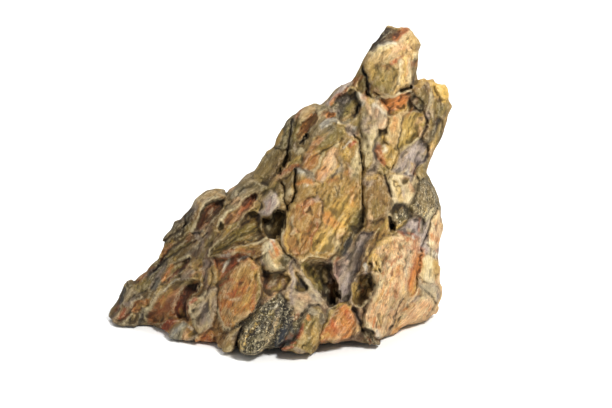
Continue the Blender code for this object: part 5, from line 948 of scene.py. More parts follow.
    ("DARK_OLIVE", 2, 0.7, (408, 301), (409, 306)),
    ("ORANGE", 2.5, 0.7, (405, 310), (408, 309)),
    ("CREAM", 5, 0.5, (402, 318), (408, 316)),
    ("RUST", 3, 0.5, (410, 315), (415, 319)),
    ("DARK_BROWN", 2, 0.6, (427, 318), (432, 310), (436, 304)),
    ("ORANGE", 4, 0.5, (394, 332), (400, 328)),
    ("PEACH", 4, 0.5, (404, 325), (414, 321)),
    ("DARK_OLIVE", 8, 0.6, (366, 333), (371, 335)),
    ("BLACK", 2, 0.6, (363, 329), (370, 329), (374, 332)),
    ("CREAM", 3, 0.6, (374, 341), (379, 346)),
    ("BLACK", 2, 0.6, (379, 347), (380, 345)),
    ("RUST", 2, 0.4, (377, 342), (379, 343)),
    ("ORANGE", 9, 0.8, (384, 103), (392, 102), (400, 100), (406, 97)),
    ("ORANGE", 8, 0.8, (388, 108), (394, 107), (401, 104)),
    ("RED", 2, 0.35, (388, 104), (396, 101), (402, 100)),
    ("CREAM", 2.2, 0.8, (379, 99), (388, 97), (397, 96), (405, 93), (411, 92)),
    ("CREAM", 1.8, 0.7, (380, 103), (384, 110), (388, 116)),
    ("GOLD", 2.4, 0.6, (391, 114), (398, 111), (404, 107)),
    ("DARK_BROWN", 9, 0.8, (373, 46), (379, 38), (386, 31)),
    ("BLACK", 3, 0.7, (370, 50), (374, 43), (379, 36)),
    ("RUST", 6, 0.75, (393, 38), (400, 33), (407, 28)),
    ("ORANGE", 2.4, 0.5, (396, 39), (403, 34), (409, 30)),
    ("BLACK", 3, 0.5, (340, 108), (342, 101), (348, 95), (355, 92)),
    ("OLIVE", 5, 0.5, (343, 118), (348, 110), (354, 101)),
    ("TAN", 3, 0.5, (340, 121), (346, 118), (350, 114)),
    ("ORANGE", 3, 0.55, (302, 132), (307, 124), (312, 116)),
    ("RUST", 2.4, 0.6, (305, 134), (311, 125), (316, 116)),
    ("DARK_BROWN", 2, 0.5, (307, 135), (314, 126), (318, 119)),
    ("DARK_BROWN", 4, 0.7, (176, 240), (181, 229), (186, 218), (189, 212)),
    ("BLACK", 2.4, 0.6, (182, 230), (184, 222), (188, 215)),
    ("DARK_OLIVE", 5, 0.6, (165, 238), (172, 229), (178, 222)),
    ("DARK_BROWN", 2.4, 0.65, (163, 258), (170, 250), (178, 243), (186, 239)),
    ("RUST", 2.4, 0.6, (160, 262), (165, 253), (171, 245)),
    ("OLIVE", 4, 0.5, (168, 258), (178, 248), (188, 243)),
    ("BLUE_BLACK", 6, 0.6, (147, 279), (152, 271), (160, 264)),
    ("DARK_OLIVE", 4, 0.65, (142, 292), (150, 282), (157, 272), (164, 264)),
    ("LILAC", 2.4, 0.5, (150, 287), (157, 276), (165, 268)),
    ("BLACK", 2, 0.6, (166, 262), (176, 254), (188, 250)),
    ("DARK_BROWN", 3, 0.6, (150, 296), (158, 286), (168, 279), (180, 275)),
    ("OLIVE", 5, 0.6, (166, 278), (176, 268), (185, 262)),
    ("ORANGE", 3, 0.65, (162, 280), (167, 274), (173, 268)),
    ("BLACK", 3, 0.6, (180, 272), (186, 265), (189, 259)),
    ("LILAC", 4, 0.5, (194, 232), (200, 240), (204, 250)),
    ("GREY", 3, 0.4, (199, 228), (206, 236), (209, 246)),
    ("DARK_OLIVE", 3, 0.5, (191, 252), (198, 244), (203, 236)),
    ("DARK_BROWN", 3, 0.5, (194, 270), (198, 262), (201, 254)),
    ("RUST", 4, 0.4, (190, 276), (197, 272), (203, 274)),
    ("DARK_OLIVE", 4, 0.5, (236, 192), (246, 186), (256, 182)),
    ("DARK_BROWN", 3, 0.55, (262, 184), (270, 178), (278, 172)),
    ("DARK_OLIVE", 4, 0.5, (256, 172), (262, 164), (268, 156)),
    ("OLIVE", 3, 0.5, (226, 240), (240, 230), (254, 222)),
    ("DARK_BROWN", 3, 0.6, (236, 236), (248, 232), (258, 231)),
    ("DARK_OLIVE", 6, 0.55, (250, 240), (256, 232), (259, 222)),
    ("ORANGE", 6, 0.6, (151, 318), (154, 309), (160, 301)),
    ("RED", 2.4, 0.6, (150, 314), (156, 305), (164, 296)),
    ("RUST", 4, 0.6, (162, 308), (170, 298), (178, 290)),
    ("DARK_BROWN", 5, 0.6, (182, 302), (187, 293), (193, 287)),
    ("RED", 4, 0.6, (176, 308), (182, 298), (188, 290)),
    ("CREAM", 2.2, 0.7, (146, 318), (147, 309), (153, 300), (161, 291), (171, 285)),
    ("BLACK", 2, 0.6, (150, 327), (146, 322), (141, 318)),
    ("DARK_BROWN", 3, 0.5, (128, 326), (136, 320), (141, 312)),
    ("GREY", 9, 0.6, (172, 338), (178, 331), (184, 325)),
    ("PALE_BLUE", 3, 0.5, (173, 335), (179, 328), (184, 323)),
    ("RED", 4, 0.55, (162, 332), (167, 324), (173, 319)),
    ("RED", 2.4, 0.6, (272, 245), (277, 252), (274, 257)),
    ("WHITE", 4, 0.55, (267, 256), (268, 248), (272, 241)),
    ("DARK_OLIVE", 5, 0.75, (281, 268), (286, 262), (288, 256)),
    ("OLIVE", 3, 0.6, (278, 262), (283, 258)),
    ("TAN", 8, 0.45, (226, 290), (236, 276), (246, 266)),
    ("OCHRE", 6, 0.5, (246, 300), (252, 286), (254, 272)),
    ("DARK_BROWN", 3, 0.55, (258, 300), (262, 288), (261, 274)),
    ("RED", 1.6, 0.6, (221, 286), (229, 280), (238, 276)),
    ("RED", 1.6, 0.6, (224, 300), (230, 293), (239, 288)),
    ("RUST", 1.6, 0.6, (228, 310), (236, 300), (246, 292)),
    ("CREAM", 1.6, 0.6, (226, 296), (232, 300), (240, 298)),
    ("BLACK", 8, 0.65, (281, 298), (284, 308), (282, 318)),
    ("BLACK", 6, 0.5, (262, 316), (268, 320), (270, 326)),
    ("CREAM", 3, 0.5, (256, 342), (262, 336), (268, 330)),
    ("GOLD", 3, 0.7, (240, 350), (242, 340), (247, 330)),
    ("BLUE_BLACK", 6, 0.6, (285, 320), (284, 332), (280, 342)),
    ("RUST", 9, 0.55, (200, 225), (208, 215), (218, 206)),
    ("DARK_BROWN", 6, 0.6, (207, 221), (216, 213), (222, 203)),
    ("CREAM", 1.8, 0.75, (191, 231), (195, 221), (201, 211), (210, 204), (221, 198)),
    ("RUST", 6, 0.55, (226, 221), (236, 212), (246, 203), (253, 197)),
    ("DARK_OLIVE", 9, 0.5, (264, 312), (274, 302), (281, 300)),
    ("DARK_OLIVE", 8, 0.5, (250, 340), (260, 332), (272, 334)),
    ("BLACK", 5, 0.5, (276, 312), (282, 306), (287, 312)),
    ("OLIVE", 9, 0.4, (216, 248), (232, 238), (250, 226)),
    ("OLIVE", 9, 0.35, (126, 298), (136, 290), (146, 282)),
    ("DARK_BROWN", 5, 0.7, (423, 86), (426, 96), (425, 108)),
    ("BLACK", 2.4, 0.6, (421, 92), (423, 101), (421, 110)),
    ("LILAC", 4, 0.7, (431, 96), (430, 108), (427, 118)),
    ("CREAM", 1.6, 0.6, (432, 88), (431, 100), (428, 112)),
    ("DARK_BROWN", 6, 0.6, (437, 100), (440, 108), (436, 118)),
    ("GOLD", 5, 0.75, (436, 86), (441, 92), (444, 99)),
    ("OCHRE", 6, 0.5, (416, 84), (421, 80), (428, 79)),
    ("DARK_OLIVE", 8, 0.6, (438, 124), (432, 134), (426, 144)),
    ("BLACK", 2, 0.55, (443, 108), (438, 120), (430, 134)),
    ("DARK_BROWN", 4, 0.55, (414, 94), (412, 104), (416, 112)),
    ("TAN", 3, 0.5, (444, 118), (438, 130)),
    ("CREAM", 9, 0.4, (432, 246), (428, 262), (426, 276)),
    ("CREAM", 8, 0.35, (436, 214), (432, 228)),
    ("PEACH", 7, 0.4, (430, 300), (420, 310), (408, 318)),
    ("CREAM", 6, 0.35, (396, 190), (392, 180), (399, 172)),
    ("OLIVE", 9, 0.75, (306, 266), (311, 276), (317, 286)),
    ("OCHRE", 4, 0.45, (305, 268), (309, 276), (314, 284)),
    ("DARK_OLIVE", 5, 0.6, (318, 268), (322, 278), (325, 288)),
    ("BLACK", 9, 0.75, (376, 42), (381, 36), (387, 30)),
    ("DARK_BROWN", 5, 0.7, (383, 41), (389, 36), (394, 31)),
    ("TAN", 2.4, 0.6, (385, 26), (392, 25), (398, 27)),
    ("DARK_OLIVE", 8, 0.6, (411, 95), (417, 100), (420, 108)),
    ("BLACK", 2.4, 0.6, (409, 100), (414, 106), (420, 111)),
    ("DARK_OLIVE", 6, 0.7, (361, 214), (357, 227), (349, 239), (341, 250)),
    ("BLUE_BLACK", 5, 0.65, (350, 240), (345, 246), (342, 253)),
    ("OLIVE", 4, 0.5, (356, 218), (352, 228), (345, 238)),
    ("DARK_OLIVE", 13, 0.75, (399, 212), (403, 215)),
    ("BLACK", 2, 0.6, (393, 208), (399, 204), (406, 205), (410, 211)),
    ("OCHRE", 1.6, 0.6, (397, 211), (401, 208), (405, 212)),
    ("OLIVE", 2, 0.6, (396, 217), (401, 220), (406, 218)),
    ("BLACK", 1.6, 0.6, (399, 214), (403, 216)),
    ("ORANGE", 6, 0.75, (421, 251), (419, 262), (413, 278), (410, 292)),
    ("RED", 2, 0.6, (413, 249), (419, 246), (424, 248)),
    ("RED", 1.6, 0.5, (415, 262), (411, 276), (409, 288)),
    ("RED", 2, 0.5, (398, 233), (405, 231), (413, 234)),
    ("RUST", 2, 0.5, (400, 240), (408, 237), (417, 241)),
    ("RUST", 1.8, 0.5, (396, 250), (404, 246), (412, 252)),
    ("RUST", 1.8, 0.5, (386, 284), (390, 272), (397, 262)),
    ("ORANGE", 1.8, 0.5, (380, 308), (386, 294), (391, 282)),
    ("RUST", 1.6, 0.5, (388, 316), (395, 300), (400, 286)),
    ("CREAM", 7, 0.5, (428, 258), (431, 268), (430, 280)),
    ("GREY", 5, 0.4, (424, 288), (431, 290), (437, 286)),
    ("GOLD", 3, 0.6, (376, 250), (371, 256), (367, 262)),
    ("BLACK", 1.5, 0.8, (372, 258), (373, 260)),
    ("BLACK", 1.5, 0.8, (382, 262), (383, 264)),
    ("BLACK", 1.4, 0.8, (379, 266), (380, 267)),
    ("BLACK", 1.5, 0.8, (373, 266), (374, 268)),
    ("GOLD", 3, 0.6, (322, 330), (327, 321), (332, 312)),
    ("OCHRE", 7, 0.45, (238, 276), (246, 270), (252, 276)),
    ("TAN", 6, 0.5, (224, 312), (230, 320), (238, 318)),
    ("OLIVE", 5, 0.5, (256, 272), (259, 284), (256, 296)),
    ("OLIVE", 7, 0.45, (264, 192), (270, 186), (276, 184)),
    ("DARK_OLIVE", 3, 0.5, (272, 196), (276, 190), (279, 184)),
    ("DARK_BROWN", 4, 0.5, (264, 184), (270, 180), (276, 176)),
    ("DARK_OLIVE", 12, 0.6, (400, 212), (402, 217)),
    ("BLACK", 1.6, 0.7, (397, 207), (399, 210)),
    ("BLACK", 1.6, 0.7, (405, 209), (406, 212)),
    ("TAN", 1.4, 0.6, (401, 209), (402, 213)),
    ("TAN", 1.4, 0.5, (397, 215), (400, 218)),
    ("OLIVE", 8, 0.4, (202, 256), (208, 244), (214, 236)),
    ("DARK_OLIVE", 4, 0.5, (172, 238), (182, 226), (187, 214)),
    ("CREAM", 9, 0.7, (267, 249), (268, 259), (274, 267)),
    ("ORANGE", 3, 0.75, (271, 243), (276, 249), (276, 256)),
    ("ORANGE", 2.4, 0.6, (269, 252), (273, 259)),
    ("RED", 1.6, 0.6, (273, 243), (278, 250)),
    ("DARK_OLIVE", 6, 0.8, (283, 256), (287, 262), (285, 268)),
    ("BLUE_BLACK", 10, 0.8, (288, 320), (284, 334), (279, 346)),
    ("BLACK", 8, 0.6, (281, 300), (283, 312), (280, 322)),
    ("TAN", 4, 0.6, (277, 318), (273, 332), (268, 344)),
    ("GOLD", 2.4, 0.8, (241, 350), (247, 336), (257, 322)),
    ("BLACK", 4, 0.6, (250, 338), (256, 328), (263, 320)),
    ("BLACK", 2.4, 0.7, (119, 306), (122, 296), (126, 286)),
    ("GOLD", 9, 0.5, (325, 239), (335, 233), (343, 226)),
    ("GOLD", 8, 0.5, (316, 247), (330, 247)),
    ("OLIVE", 7, 0.5, (357, 190), (356, 206), (352, 220)),
    ("DARK_OLIVE", 6, 0.4, (334, 128), (342, 136), (350, 146)),
    ("OLIVE", 9, 0.45, (322, 150), (332, 140), (342, 130)),
    ("RUST", 5, 0.45, (306, 160), (312, 148), (320, 138)),
    ("DARK_BROWN", 2, 0.5, (303, 166), (309, 154), (316, 146)),
    ("BLUE_BLACK", 3, 0.5, (330, 178), (338, 174), (344, 168)),
    ("DARK_OLIVE", 14, 0.38, (266, 190), (275, 168), (286, 146)),
    ("DARK_BROWN", 5, 0.4, (270, 178), (279, 160), (288, 146)),
    ("DARK_BROWN", 11, 0.45, (166, 240), (175, 227), (187, 215)),
    ("DARK_OLIVE", 4, 0.5, (176, 238), (184, 226), (189, 214)),
    ("RUST", 12, 0.35, (152, 320), (166, 307), (182, 294)),
    ("DARK_BROWN", 8, 0.4, (168, 304), (178, 297), (190, 288)),
    ("CREAM", 12, 0.32, (427, 262), (432, 278), (429, 296)),
    ("OLIVE", 10, 0.32, (421, 92), (430, 102), (440, 114)),
    ("OLIVE", 6, 0.3, (232, 242), (244, 232), (256, 228)),
]

# Clay between the cells.
GROUNDS: list[Ground] = [
    Ground(Clay.CLAY_OLIVE, (128, 305), 30),
    Ground(Clay.OLIVE, (165, 265), 34),
    Ground(Clay.BROWN, (205, 285), 30),
    Ground(Clay.LILAC_BROWN, (205, 242), 20),
    Ground(Clay.OLIVE_OCHRE, (240, 240), 30),
    Ground(Clay.BROWN, (236, 265), 22),
    Ground(Clay.KHAKI_GREY, (250, 190), 28),
    Ground(Clay.DARK_OLIVE, (290, 180), 20),
    Ground(Clay.DARK_OLIVE, (285, 140), 24),
    Ground(Clay.BROWN, (270, 285), 18),
    Ground(Clay.SPECKLED_DARK, (270, 330), 30),
    Ground(Clay.KHAKI_GREY, (325, 120), 26),
    Ground(Clay.OCHRE, (325, 200), 50),
    Ground(Clay.PALE_LILAC, (300, 285), 22),
    Ground(Clay.KHAKI, (370, 150), 24),
    Ground(Clay.BROWN_OCHRE, (380, 205), 26),
    Ground(Clay.LILAC_BROWN, (345, 330), 30),
    Ground(Clay.LILAC, (350, 265), 18),
    Ground(Clay.TAN, (400, 100), 30),
    Ground(Clay.KHAKI, (360, 78), 18),
    Ground(Clay.CREAM, (398, 190), 18),
    Ground(Clay.OCHRE, (430, 100), 22),
    Ground(Clay.KHAKI_GREY, (435, 150), 20),
    Ground(Clay.SPECKLED, (425, 200), 20),
    Ground(Clay.PEACH, (425, 300), 30),
    Ground(Clay.LILAC, (425, 232), 16),
    Ground(Clay.RUST_OCHRE, (200, 335), 24),
    Ground(Clay.OCHRE, (390, 60), 26),
]


def soft_step(share: np.ndarray | float) -> np.ndarray:
    """A smooth rise from 0 to 1."""
    share = np.clip(share, 0.0, 1.0)
    return share * share * (3 - 2 * share)


def noise(places: np.ndarray, seed: int) -> np.ndarray:
    """Smooth lattice noise.

    Args:
        places: One row for each place, counted in noise cells.
        seed: Which noise it is.

    Returns:
        A value from -1 to 1 for each place.
    """
    side = 32
    count = places.shape[1]
    table = np.random.default_rng(seed).uniform(-1, 1, (side,) * count)
    base = np.floor(places).astype(int)
    share = places - base
    share = share * share * (3 - 2 * share)
    total = np.zeros(len(places))
    for corner in itertools.product((0, 1), repeat=count):
        step = np.array(corner)
        weight = np.where(step == 1, share, 1 - share).prod(axis=1)
        total += weight * table[tuple(((base + step) % side).T)]
    return total


def rounded_max(first: np.ndarray, second: np.ndarray, radius: float) -> np.ndarray:
    """The larger of two fields, with the edge between them rounded."""
    gap = np.maximum(radius - np.abs(first - second), 0.0) / radius
    return np.maximum(first, second) + gap * gap * radius / 4


def line_distance(corners: list[tuple[float, float]], across: np.ndarray, down: np.ndarray) -> np.ndarray:
    """Distance in pixels to a line through corners."""
    nearest = np.full(across.shape, 1e12)
    for (x0, y0), (x1, y1) in zip(corners, corners[1:]):
        ex, ey = x1 - x0, y1 - y0
        px, py = across - x0, down - y0
        along = np.clip((px * ex + py * ey) / max(ex * ex + ey * ey, 1e-12), 0, 1)
        nearest = np.minimum(nearest, (px - along * ex) ** 2 + (py - along * ey) ** 2)
    return np.sqrt(nearest)


def outline_distance(corners: list[tuple[float, float]], across: np.ndarray, down: np.ndarray) -> np.ndarray:
    """Distance to a closed outline in pixels, negative inside it."""
    closed = list(corners) + [corners[0]]
    inside = np.zeros(across.shape, bool)
    for (x0, y0), (x1, y1) in zip(closed, closed[1:]):
        crosses = (y0 > down) != (y1 > down)
        height = (y1 - y0) or 1e-12
        inside ^= crosses & (across - x0 < (x1 - x0) * (down - y0) / height)
    return np.where(inside, -1.0, 1.0) * line_distance(closed, across, down)


def rounded_corners(corners: list[tuple[float, float]], times: int = 2) -> list[tuple[float, float]]:
    """The outline with its corners cut off again and again, which rounds it."""
    points = np.array(corners, float)
    for _ in range(times):
        following = np.roll(points, -1, axis=0)
        points = np.stack([0.75 * points + 0.25 * following, 0.25 * points + 0.75 * following], 1)
        points = points.reshape(-1, 2)
    return [tuple(point) for point in points]


def leaf_outline(centre: tuple[float, float], length: float, width: float,
                 lean: float) -> list[tuple[float, float]]:
    """A leaf-shaped outline, pointed at both ends.

    Args:
        centre: Its middle on the view plane, in pixels.
        length: From point to point, in pixels.
        width: At its widest, in pixels.
        lean: The angle of its length from level, up to the right, in radians.

    Returns:
        Its corners.
    """
    turn = np.linspace(0, 2 * math.pi, 14, endpoint=False)
    along = np.cos(turn) * length / 2
    aside = np.sin(turn) * np.abs(np.sin(turn)) ** 0.4 * width / 2
    across = centre[0] + along * math.cos(lean) + aside * math.sin(lean)
    down = centre[1] - along * math.sin(lean) + aside * math.cos(lean)
    return list(zip(across, down))


@dataclass(frozen=True)
class ViewPlane:
    """The photograph's view: a plane upright to the line of sight, counted in photograph pixels."""

    pixel: float = 0.0008
    centre: tuple[float, float] = (306.0, 204.0)
    elevation: float = math.radians(15.0)
    distance: float = 1.6
    target: tuple[float, float, float] = (0.0231, -0.00735, 0.1075)
    low: tuple[int, int] = (90, 10)
    high: tuple[int, int] = (470, 380)
    picture_width: int = 612

    def axes(self) -> tuple[np.ndarray, np.ndarray, np.ndarray]:
        """Right, forward and up of the view, as unit vectors."""
        sine, cosine = math.sin(self.elevation), math.cos(self.elevation)
        right = np.array([1.0, 0.0, 0.0])
        forward = np.array([0.0, cosine, -sine])
        up = np.array([0.0, sine, cosine])
        return right, forward, up

    def to_plane(self, points: np.ndarray) -> tuple[np.ndarray, np.ndarray]:
        """Where points of the stone are seen on the view plane, in pixels."""
        right, forward, up = self.axes()
        away = points - np.array(self.target)
        shrink = self.distance / (self.distance + away @ forward)
        across = self.centre[0] + (away @ right) * shrink / self.pixel
        down = self.centre[1] - (away @ up) * shrink / self.pixel
        return across, down

    def from_plane(self, across: float, down: float, back_way: float) -> np.ndarray:
        """The point seen at a place of the view plane that lies this far back from the target."""
        right, forward, up = self.axes()
        aside = right * ((across - self.centre[0]) * self.pixel)
        ray = forward * self.distance + aside - up * ((down - self.centre[1]) * self.pixel)
        eye = np.array(self.target) - forward * self.distance
        return eye + ray * ((self.target[1] + back_way - eye[1]) / ray[1])

    def grid(self, step: float) -> tuple[np.ndarray, np.ndarray]:
        """Pixel coordinates of a grid over the part of the plane that holds the stone."""
        across = np.arange(self.low[0], self.high[0] + step / 2, step)
        down = np.arange(self.low[1], self.high[1] + step / 2, step)
        return np.meshgrid(across, down, indexing="ij")

    def read(self, values: np.ndarray, step: float, across: np.ndarray, down: np.ndarray) -> np.ndarray:
        """Read a map of the plane between its points in proportion.

        Args:
            values: The map, whose first two axes are across and down.
            step: The map's spacing in pixels.
            across: Where to read it, in pixels.
            down: The same, downwards.

        Returns:
            The map's value at each place.
        """
        a = np.clip((across - self.low[0]) / step, 0, values.shape[0] - 1.001)
        d = np.clip((down - self.low[1]) / step, 0, values.shape[1] - 1.001)
        i, j = a.astype(int), d.astype(int)
        s, t = a - i, d - j
        if values.ndim == 3:
            s, t = s[:, None], t[:, None]
        near = values[i, j] * (1 - s) + values[i + 1, j] * s
        far = values[i, j + 1] * (1 - s) + values[i + 1, j + 1] * s
        return near * (1 - t) + far * t

    def spline(self, points: list[tuple[float, float, float]], step: float) -> np.ndarray:
        """A thin-plate spline through points of (across, down, value), as a map of the plane."""
        rows = np.array(points, float)
        at, value = rows[:, :2] / 100.0, rows[:, 2]

        def bend(gap: np.ndarray) -> np.ndarray:
            """The spline's kernel, for a squared distance."""
            return gap * np.log(np.maximum(gap, 1e-12)) / 2

        count = len(at)
        gaps = ((at[:, None] - at[None]) ** 2).sum(-1)
        system = np.zeros((count + 3, count + 3))
        system[:count, :count] = bend(gaps) + np.eye(count) * 0.002
        system[:count, count] = system[count, :count] = 1
        system[:count, count + 1:] = at
        system[count + 1:, :count] = at.T
        weights = np.linalg.solve(system, np.concatenate([value, np.zeros(3)]))
        across, down = self.grid(step)
        a, d = across / 100.0, down / 100.0
        surface = weights[count] + weights[count + 1] * a + weights[count + 2] * d
        for (x, y), weight in zip(at, weights):
            surface = surface + weight * bend((a - x) ** 2 + (d - y) ** 2)
        return surface


VIEW = ViewPlane()
EVERYWHERE = (slice(None), slice(None))


@dataclass
class PaintedPlane:
    """Maps over the view plane of how far a face stands out and which clay it is made of.

    Lengths are in pixels and heights in millimetres. The wander's layers are a share, a frequency and a seed
    step each, and the ledges' bends and strength a share, a cell size and a seed step.
    """

    seed: int
    step: float = 0.5
    wander: float = 1.92
    wander_length: float = 14.0
    wander_layers: tuple = ((1.0, 1.0, 0), (0.5, 2.7, 10), (0.26, 7.3, 14), (0.13, 17.0, 24))
    patch_frequency: float = 1.9
    cell_margin: float = 0.8
    crispness: float = 0.66
    easy_side: float = 1.8
    steep_side: float = 0.4
    short_reach: float = 3.6
    rim_gap: float = 1.2
    rim_width: float = 1.1
    rim_height: float = 0.8
    rim_cover: float = 0.34
    arm_rim_cover: float = 0.20
    cover: float = 0.9
    groove_share: float = 0.42
    ridge_cover: float = 0.40
    groove_shade_cover: float = 0.45
    ledge: float = 0.9
    ledge_pitch: float = 7.0
    ledge_bends: tuple = ((1.0, (24.0, 11.0, 5.0), 16), (0.4, (11.0, 5.0, 5.0), 18))
    ledge_patch: tuple = ((19.0, 8.0, 5.0), 17)
    relief: np.ndarray = field(init=False)
    colours: np.ndarray = field(init=False)
    traits: np.ndarray = field(init=False)
    owner: np.ndarray = field(init=False)
    frames: list[tuple[float, float, float, float]] = field(init=False)

    def __post_init__(self) -> None:
        """Lay out the maps and the grid whose places wander, so that straight edges do."""
        across, down = VIEW.grid(self.step)
        self.relief = np.zeros(across.shape)
        self.colours = np.zeros(across.shape + (9,))
        self.traits = np.zeros(across.shape + (2,))
        self.owner = (across < LEFT_LIMIT).astype(int)
        self.frames = [(0.0, 0.0, GRAIN_LEAN, 0.0), (0.0, 0.0, LEFT_LEAN, 31.0)]
        places = np.stack([across.ravel(), down.ravel()], axis=1) / self.wander_length
        moved = []
        for number, values in enumerate((across, down)):
            shift = sum(share * noise(places * frequency, self.seed + number + step)
                        for share, frequency, step in self.wander_layers)
            moved.append(values + self.wander * shift.reshape(values.shape))
        self.across, self.down = moved
        self.patches = noise(places * self.patch_frequency + 3.0, self.seed + 15).reshape(across.shape)

    def window(self, corners: list[tuple[float, float]], margin: float = 9.0) -> tuple[slice, slice]:
        """The slice of the maps around some corners."""
        points = np.array(corners)
        low = np.maximum((points.min(axis=0) - margin - VIEW.low) / self.step, 0).astype(int)
        high = np.maximum((points.max(axis=0) + margin - VIEW.low) / self.step, 1).astype(int)
        return slice(low[0], high[0]), slice(low[1], high[1])

    def paint(self, part: tuple[slice, slice], clay: Clay, cover: np.ndarray) -> None:
        """Cover a window of the maps with a clay, as far as cover says from 0 to 1."""
        finish = clay.value
        colours = np.concatenate([srgb(code)[:3] for code in (finish.base, finish.partner, finish.accent)])
        traits = np.array([finish.streak, finish.speck])
        share = cover[..., None]
        self.colours[part] += (colours - self.colours[part]) * share
        self.traits[part] += (traits - self.traits[part]) * share

    def tint(self, part: tuple[slice, slice], code: str, cover: np.ndarray) -> None:
        """Draw all three colours of a window towards one colour."""
        colour = np.array(srgb(code)[:3] * 3)
        self.colours[part] += (colour - self.colours[part]) * cover[..., None]

    def lean_of(self, corners: list[tuple[float, float]]) -> float:
        """Which way an outline is longest, in radians up to the right. A round one gets the grain's lean."""
        middle = np.mean(corners, axis=0)
        away = np.array(corners) - middle
        sizes, ways = np.linalg.eigh(away.T @ away)
        if sizes[1] < 1.7 * sizes[0]:
            return LEFT_LEAN if middle[0] < LEFT_LIMIT else GRAIN_LEAN
        return math.atan2(-ways[1, 1], ways[0, 1])

    def sideness(self, across: np.ndarray, down: np.ndarray, middle: np.ndarray) -> np.ndarray:
        """How far each place lies to the upper left of a cell's middle, from -1 to 1."""
        east, south = across - middle[0], down - middle[1]
        return -(0.8 * east + 0.6 * south) / (np.hypot(east, south) + 4.0)

    def add_cell(self, cell: Cell) -> None:
        """Raise or scoop one cell, steep at its lower right and easy at its upper left, and lay its clay,
        with a pale rim that is partly painted highlight.
        """
        corners = rounded_corners(cell.outline, 1)
        part = self.window(corners)
        across, down = self.across[part], self.down[part]
        inner = -outline_distance(corners, across, down)
        middle = np.array(corners).mean(axis=0)
        side = self.sideness(across, down, middle)
        stretch = 1 + np.where(side > 0, self.easy_side, self.steep_side) * side
        share = (inner + self.cell_margin) / (cell.reach * self.crispness * stretch)
        profile = soft_step(share) if cell.reach < self.short_reach else 1 - (1 - np.clip(share, 0, 1)) ** 2
        lean = cell.tilt[0] * (across - middle[0]) + cell.tilt[1] * (down - middle[1])
        if cell.levels:
            self.relief[part] *= 1 - soft_step((inner + 1.5) / 3.0)
        rim = np.exp(-((inner + self.rim_gap) / self.rim_width) ** 2)
        self.relief[part] += MM * ((cell.rise + lean) * profile + self.rim_height * cell.rim * rim)
        fade = 2.4 + 6 * np.maximum(side, 0)
        self.paint(part, cell.clay, self.cover * soft_step((inner + 1.4 + 1.5 * self.patches[part]) / fade))
        self.owner[part][inner > 0] = len(self.frames)
        self.frames.append((*middle, self.lean_of(corners), 37.0 * len(self.frames)))
        # Pale rim along the cell's edge: partly pale clay, partly painted highlight.
        if cell.rim:
            patchy = soft_step(1.4 * self.patches[part] + 0.30)
            edge = np.exp(-((inner + self.cell_margin) / 0.7) ** 2) * patchy
            rim_cover = self.rim_cover if middle[0] > LEFT_LIMIT else self.arm_rim_cover
            self.tint(part, PALE_RIM_AND_HIGHLIGHT, rim_cover * edge * min(cell.rim, 1.0))

    def add_chip(self, outline: list[tuple[float, float]], rise: float, tilt: np.ndarray, tint: str,
                 strength: float) -> None:
        """Raise or sink a small chip of clay, and tint it."""
        part = self.window(outline, 4.0)
        across, down = self.across[part], self.down[part]
        inner = -outline_distance(outline, across, down)
        middle = np.mean(outline, axis=0)
        lean = tilt[0] * (across - middle[0]) + tilt[1] * (down - middle[1])
        self.relief[part] += MM * (rise + lean) * soft_step((inner + 0.5) / 1.6)
        self.tint(part, tint, strength * soft_step((inner + 0.8) / 1.6))

    def add_crease(self, crease: Crease) -> None:
        """Cut a groove, or raise a ridge, along a line. A groove gets painted shade, a ridge a pale tint that
        is partly painted highlight.
        """
        part = self.window(crease.line)
        gap = line_distance(crease.line, self.across[part], self.down[part])
        share = np.exp(-(gap / (self.groove_share * crease.width)) ** 2)
        self.relief[part] += MM * crease.rise * share
        if crease.rise > 0:
            # Pale tint along the ridge: partly pale clay, partly painted highlight.
            self.tint(part, PALE_RIM_AND_HIGHLIGHT, self.ridge_cover * share * soft_step(self.patches[part] + 0.5))
        else:
            # Painted shade along the groove.
            patchy = soft_step(self.patches[part] + 0.7)
            self.tint(part, PAINTED_SHADE_BROWN, self.groove_shade_cover * share ** 2 * patchy)

    def add_stroke(self, stroke: Stroke) -> None:
        """Colour a streak or patch of clay."""
        part = self.window(stroke.line, stroke.width + 3)
        gap = line_distance(stroke.line, self.across[part], self.down[part])
        gap = gap + 0.25 * stroke.width * self.patches[part]
        self.tint(part, stroke.stain.value, stroke.cover * soft_step((0.5 * stroke.width - gap) / 1.6 + 0.5))

    def flow(self, across: np.ndarray, down: np.ndarray, owner: np.ndarray) -> np.ndarray:
        """Places in the frame of the cell that owns them: along it, aside and a shift, in pixels."""
        frames = np.array(self.frames)[owner]
        east, south = across - frames[..., 0], down - frames[..., 1]
        cosine, sine = np.cos(frames[..., 2]), np.sin(frames[..., 2])
        along = east * cosine - south * sine
        aside = east * sine + south * cosine
        return np.stack([along, aside, frames[..., 3]], axis=-1)

    def owners(self, across: np.ndarray, down: np.ndarray) -> np.ndarray:
        """Which cell owns each place."""
        i = np.clip(np.round((across - VIEW.low[0]) / self.step), 0, self.owner.shape[0] - 1).astype(int)
        j = np.clip(np.round((down - VIEW.low[1]) / self.step), 0, self.owner.shape[1] - 1).astype(int)
        return self.owner[i, j]

    def lean_at(self, place: np.ndarray) -> float:
        """The lean of the cell that owns a place."""
        return self.frames[int(self.owners(place[:1], place[1:])[0])][2]

    def add_ledges(self) -> None:
        """Step the clay in thin ledges along each cell's length."""
        places = self.flow(self.across, self.down, self.owner).reshape(-1, 3)
        bend = sum(share * noise(places / np.array(size), self.seed + step)
                   for share, size, step in self.ledge_bends)
        count = places[:, 1] / self.ledge_pitch + 1.1 * bend
        share = count - np.floor(count)
        size, step = self.ledge_patch
        strength = np.clip(1.5 * noise(places / np.array(size), self.seed + step) + 0.45, 0, 1)
        step = (share * strength).reshape(self.relief.shape) * (0.25 + self.traits[..., 0])
        self.relief += MM * self.ledge * step


